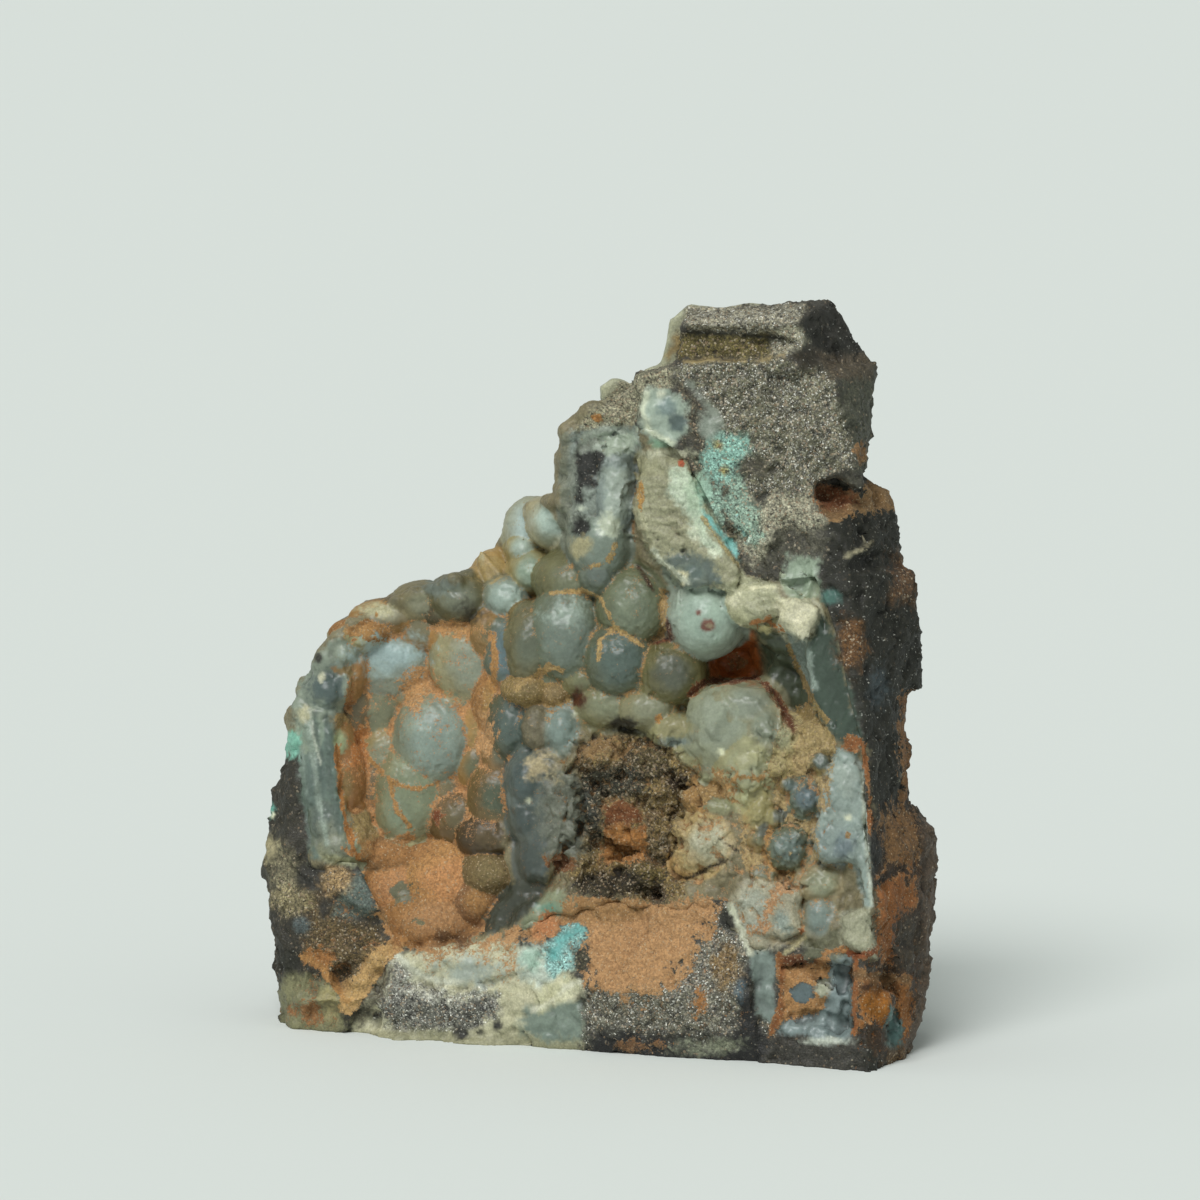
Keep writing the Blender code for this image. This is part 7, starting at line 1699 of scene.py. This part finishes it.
def make_crust():
    outline = ragged(inset(CRUST_EDGE + CRUST_SKYLINE, -CRUST_SPREAD), 0.5, EDGE_RAGGED)
    crust = make_bed_solid("chalcedony_growth", growth_surface, bed_surface(-CRUST_ROOT),
                           outline, SHEET_STEP)
    fuse(crust, SHEET_VOXEL)
    points = read_points(crust.data)
    normals = read_normals(crust.data)
    height = 0.55 * lumps(points, 1.9) + 0.22 * lumps(points, 0.8, 5.0) + 0.12 * wander(points, 0.9) - 0.2
    write_points(crust.data, points + normals * height[:, None])
    bm = bmesh.new()
    bm.from_mesh(crust.data)
    for form in DOMES.values():
        add_dome(bm, *standing(*form[:6]))
    for form in CHUNKS.values():
        add_chunk(bm, *standing(*form[:6]))
    for plate in PLATES.values():
        add_plate(bm, *plate)
    bm.to_mesh(crust.data)
    bm.free()
    fuse(crust, CRUST_VOXEL)
    points = read_points(crust.data)
    normals = read_normals(crust.data)
    height = 0.07 * wander(points, 1.6) + 0.03 * wander(points, 0.4, 3, 9.0) + 0.05 * facets(points, 0.9)
    height += ridges(points)
    across, up = as_seen(points)
    for amount, grain, outline in BROKEN.values():
        inside = smooth_step(0.3, -0.3, outline_distance(across, up, outline))
        index = np.flatnonzero(inside)
        relief = facets(points[index], grain, 2.0) + 0.5 * facets(points[index], 0.5 * grain, 6.0)
        height[index] += amount * inside[index] * relief
    write_points(crust.data, points + normals * height[:, None])
    space = make_crust_space("inner_space", -CRUST_ROOT, OVERLAP)
    cut(crust, space, "INTERSECT")
    drop(space)
    away = read_normals(crust.data) @ np.array(FORWARD) > 0.1
    thin_out(crust, MOST_TRIANGLES, away.astype(float))
    return crust


def make_seam():
    bm = bmesh.new()
    add_plate(bm, SEAM_SET_BACK, SEAM_DEPTH, 0.15, SEAM_OUTLINE)
    seam = make_object("shattuckite_crumbs", bm)
    fuse(seam, SEAM_VOXEL)
    points = read_points(seam.data)
    normals = read_normals(seam.data)
    height = 0.35 * (lumps(points, 0.8) - 0.5) + 0.12 * wander(points, 0.3)
    write_points(seam.data, points + normals * height[:, None])
    return seam


def make_rear_growth():
    bm = bmesh.new()
    add_slot(bm, *REAR_DEPTHS, REAR_OUTLINE)
    for across, up, crown, half_width, half_height, half_depth in REAR_DOMES.values():
        add_ball(bm, seen(across, up, crown - half_depth), (half_width, half_depth, half_height))
    crust = make_object("rear_growth", bm)
    fuse(crust, REAR_VOXEL)
    points = read_points(crust.data)
    normals = read_normals(crust.data)
    height = 0.07 * wander(points, 1.6) + 0.02 * wander(points, 0.4, 3, 9.0)
    write_points(crust.data, points + normals * height[:, None])
    return crust


# Stage

def make_camera():
    data = bpy.data.cameras.new("camera")
    data.sensor_width = 36.0
    data.lens = data.sensor_width * VIEW_DISTANCE / VIEW_WIDTH
    data.clip_start = 0.01
    data.clip_end = 20.0
    camera = bpy.data.objects.new("camera", data)
    camera.matrix_world = Matrix.Translation(EYE * MM) @ Matrix((RIGHT, TOP, -FORWARD)).transposed().to_4x4()
    bpy.context.scene.collection.objects.link(camera)
    bpy.context.scene.camera = camera


def make_stage():
    half = 6.0
    mesh = bpy.data.meshes.new("floor")
    mesh.from_pydata([(-half, -half, 0), (half, -half, 0), (half, half, 0), (-half, half, 0)], [], [(0, 1, 2, 3)])
    floor = bpy.data.objects.new("floor", mesh)
    bpy.context.scene.collection.objects.link(floor)
    paper = bpy.data.materials.new("pale_paper")
    paper.use_nodes = True
    shader = paper.node_tree.nodes["Principled BSDF"]
    shader.inputs["Base Color"].default_value = (0.73, 0.765, 0.735, 1.0)
    shader.inputs["Roughness"].default_value = 0.95
    shader.inputs["Specular IOR Level"].default_value = 0.1
    mesh.materials.append(paper)

    scene = bpy.context.scene
    scene.view_settings.view_transform = "Standard"
    world = bpy.data.worlds.new("studio")
    world.use_nodes = True
    sky = world.node_tree.nodes["Background"]
    sky.inputs["Color"].default_value = (0.93, 1.0, 0.97, 1.0)
    sky.inputs["Strength"].default_value = 0.45
    scene.world = world

    data = bpy.data.lights.new("softbox", "SUN")
    data.energy = 2.2
    data.angle = math.radians(28.0)
    lamp = bpy.data.objects.new("softbox", data)
    lamp.rotation_euler = Vector((0.22, 0.62, -0.75)).to_track_quat("-Z", "Y").to_euler()
    scene.collection.objects.link(lamp)


make_camera()
make_stage()

ROCK_BACK = [
    ("rock", "#4A443A", 6.0, -0.3, 0.5),
    ("grit", "#72634C", 3.4, 0.15, 0.8),
    ("grit", "#75533A", 4.4, 0.25, 0.9),
    ("frost", "#8A8772", 5.0, 0.45, 1.0),
]
CRUST_BACK = [("frost", "#9A9070", 3.0, 0.1, 0.5)]

# Piece, node, slot, ground coat, coats of the back, glow, reach of the glow.
PIECES = [
    (make_matrix(), "matrix", "matrix_rock", ("rock", "#3B3831"), ROCK_BACK, 0.0, 0.1),
    (make_crust(), "chalcedony_crust", "chalcedony", ("frost", "#7A7258"), CRUST_BACK, 0.35, 0.45),
    (make_seam(), "shattuckite", "shattuckite_blue", ("frost", "#8CB6AE"), [], 0.2, 0.3),
    (make_rear_growth(), "rear_crust", "rear_chalcedony", ("frost", "#A3A48C"), CRUST_BACK, 0.4, 0.8),
]
for piece, node_name, slot, ground, back, glow, glow_reach in PIECES:
    keep_largest(piece)
    mesh = piece.data
    mesh.shade_smooth()
    paint = Paint(mesh, ground, back)
    paint.areas(AREAS)
    if node_name == "chalcedony_crust":
        paint.forms(DOMES)
        paint.forms(CHUNKS)
    paint.areas(FACES)
    if node_name == "shattuckite":
        paint.mottle(SEAM_MOTTLE)
    depth = hollowness(mesh, paint.points, paint.normals, 24)
    paint.dust(POWDER, smooth_step(0.0, 0.12, depth))
    paint.spots(SPOTS)
    paint.lines(LINES)
    # Painted shade in the hollows and grooves.
    paint.paint_hollow_shade(smooth_step(0.03, 0.30, depth))
    paint.store(mesh)
    mesh.transform(Matrix.Scale(MM, 4))
    mesh.materials.clear()
    mesh.materials.append(stone_material(slot + "_look", glow, glow_reach))
    mesh.calc_loop_triangles()
    print(piece.name, len(mesh.loop_triangles), "triangles")
    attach(piece, "root")
    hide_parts(node_name)
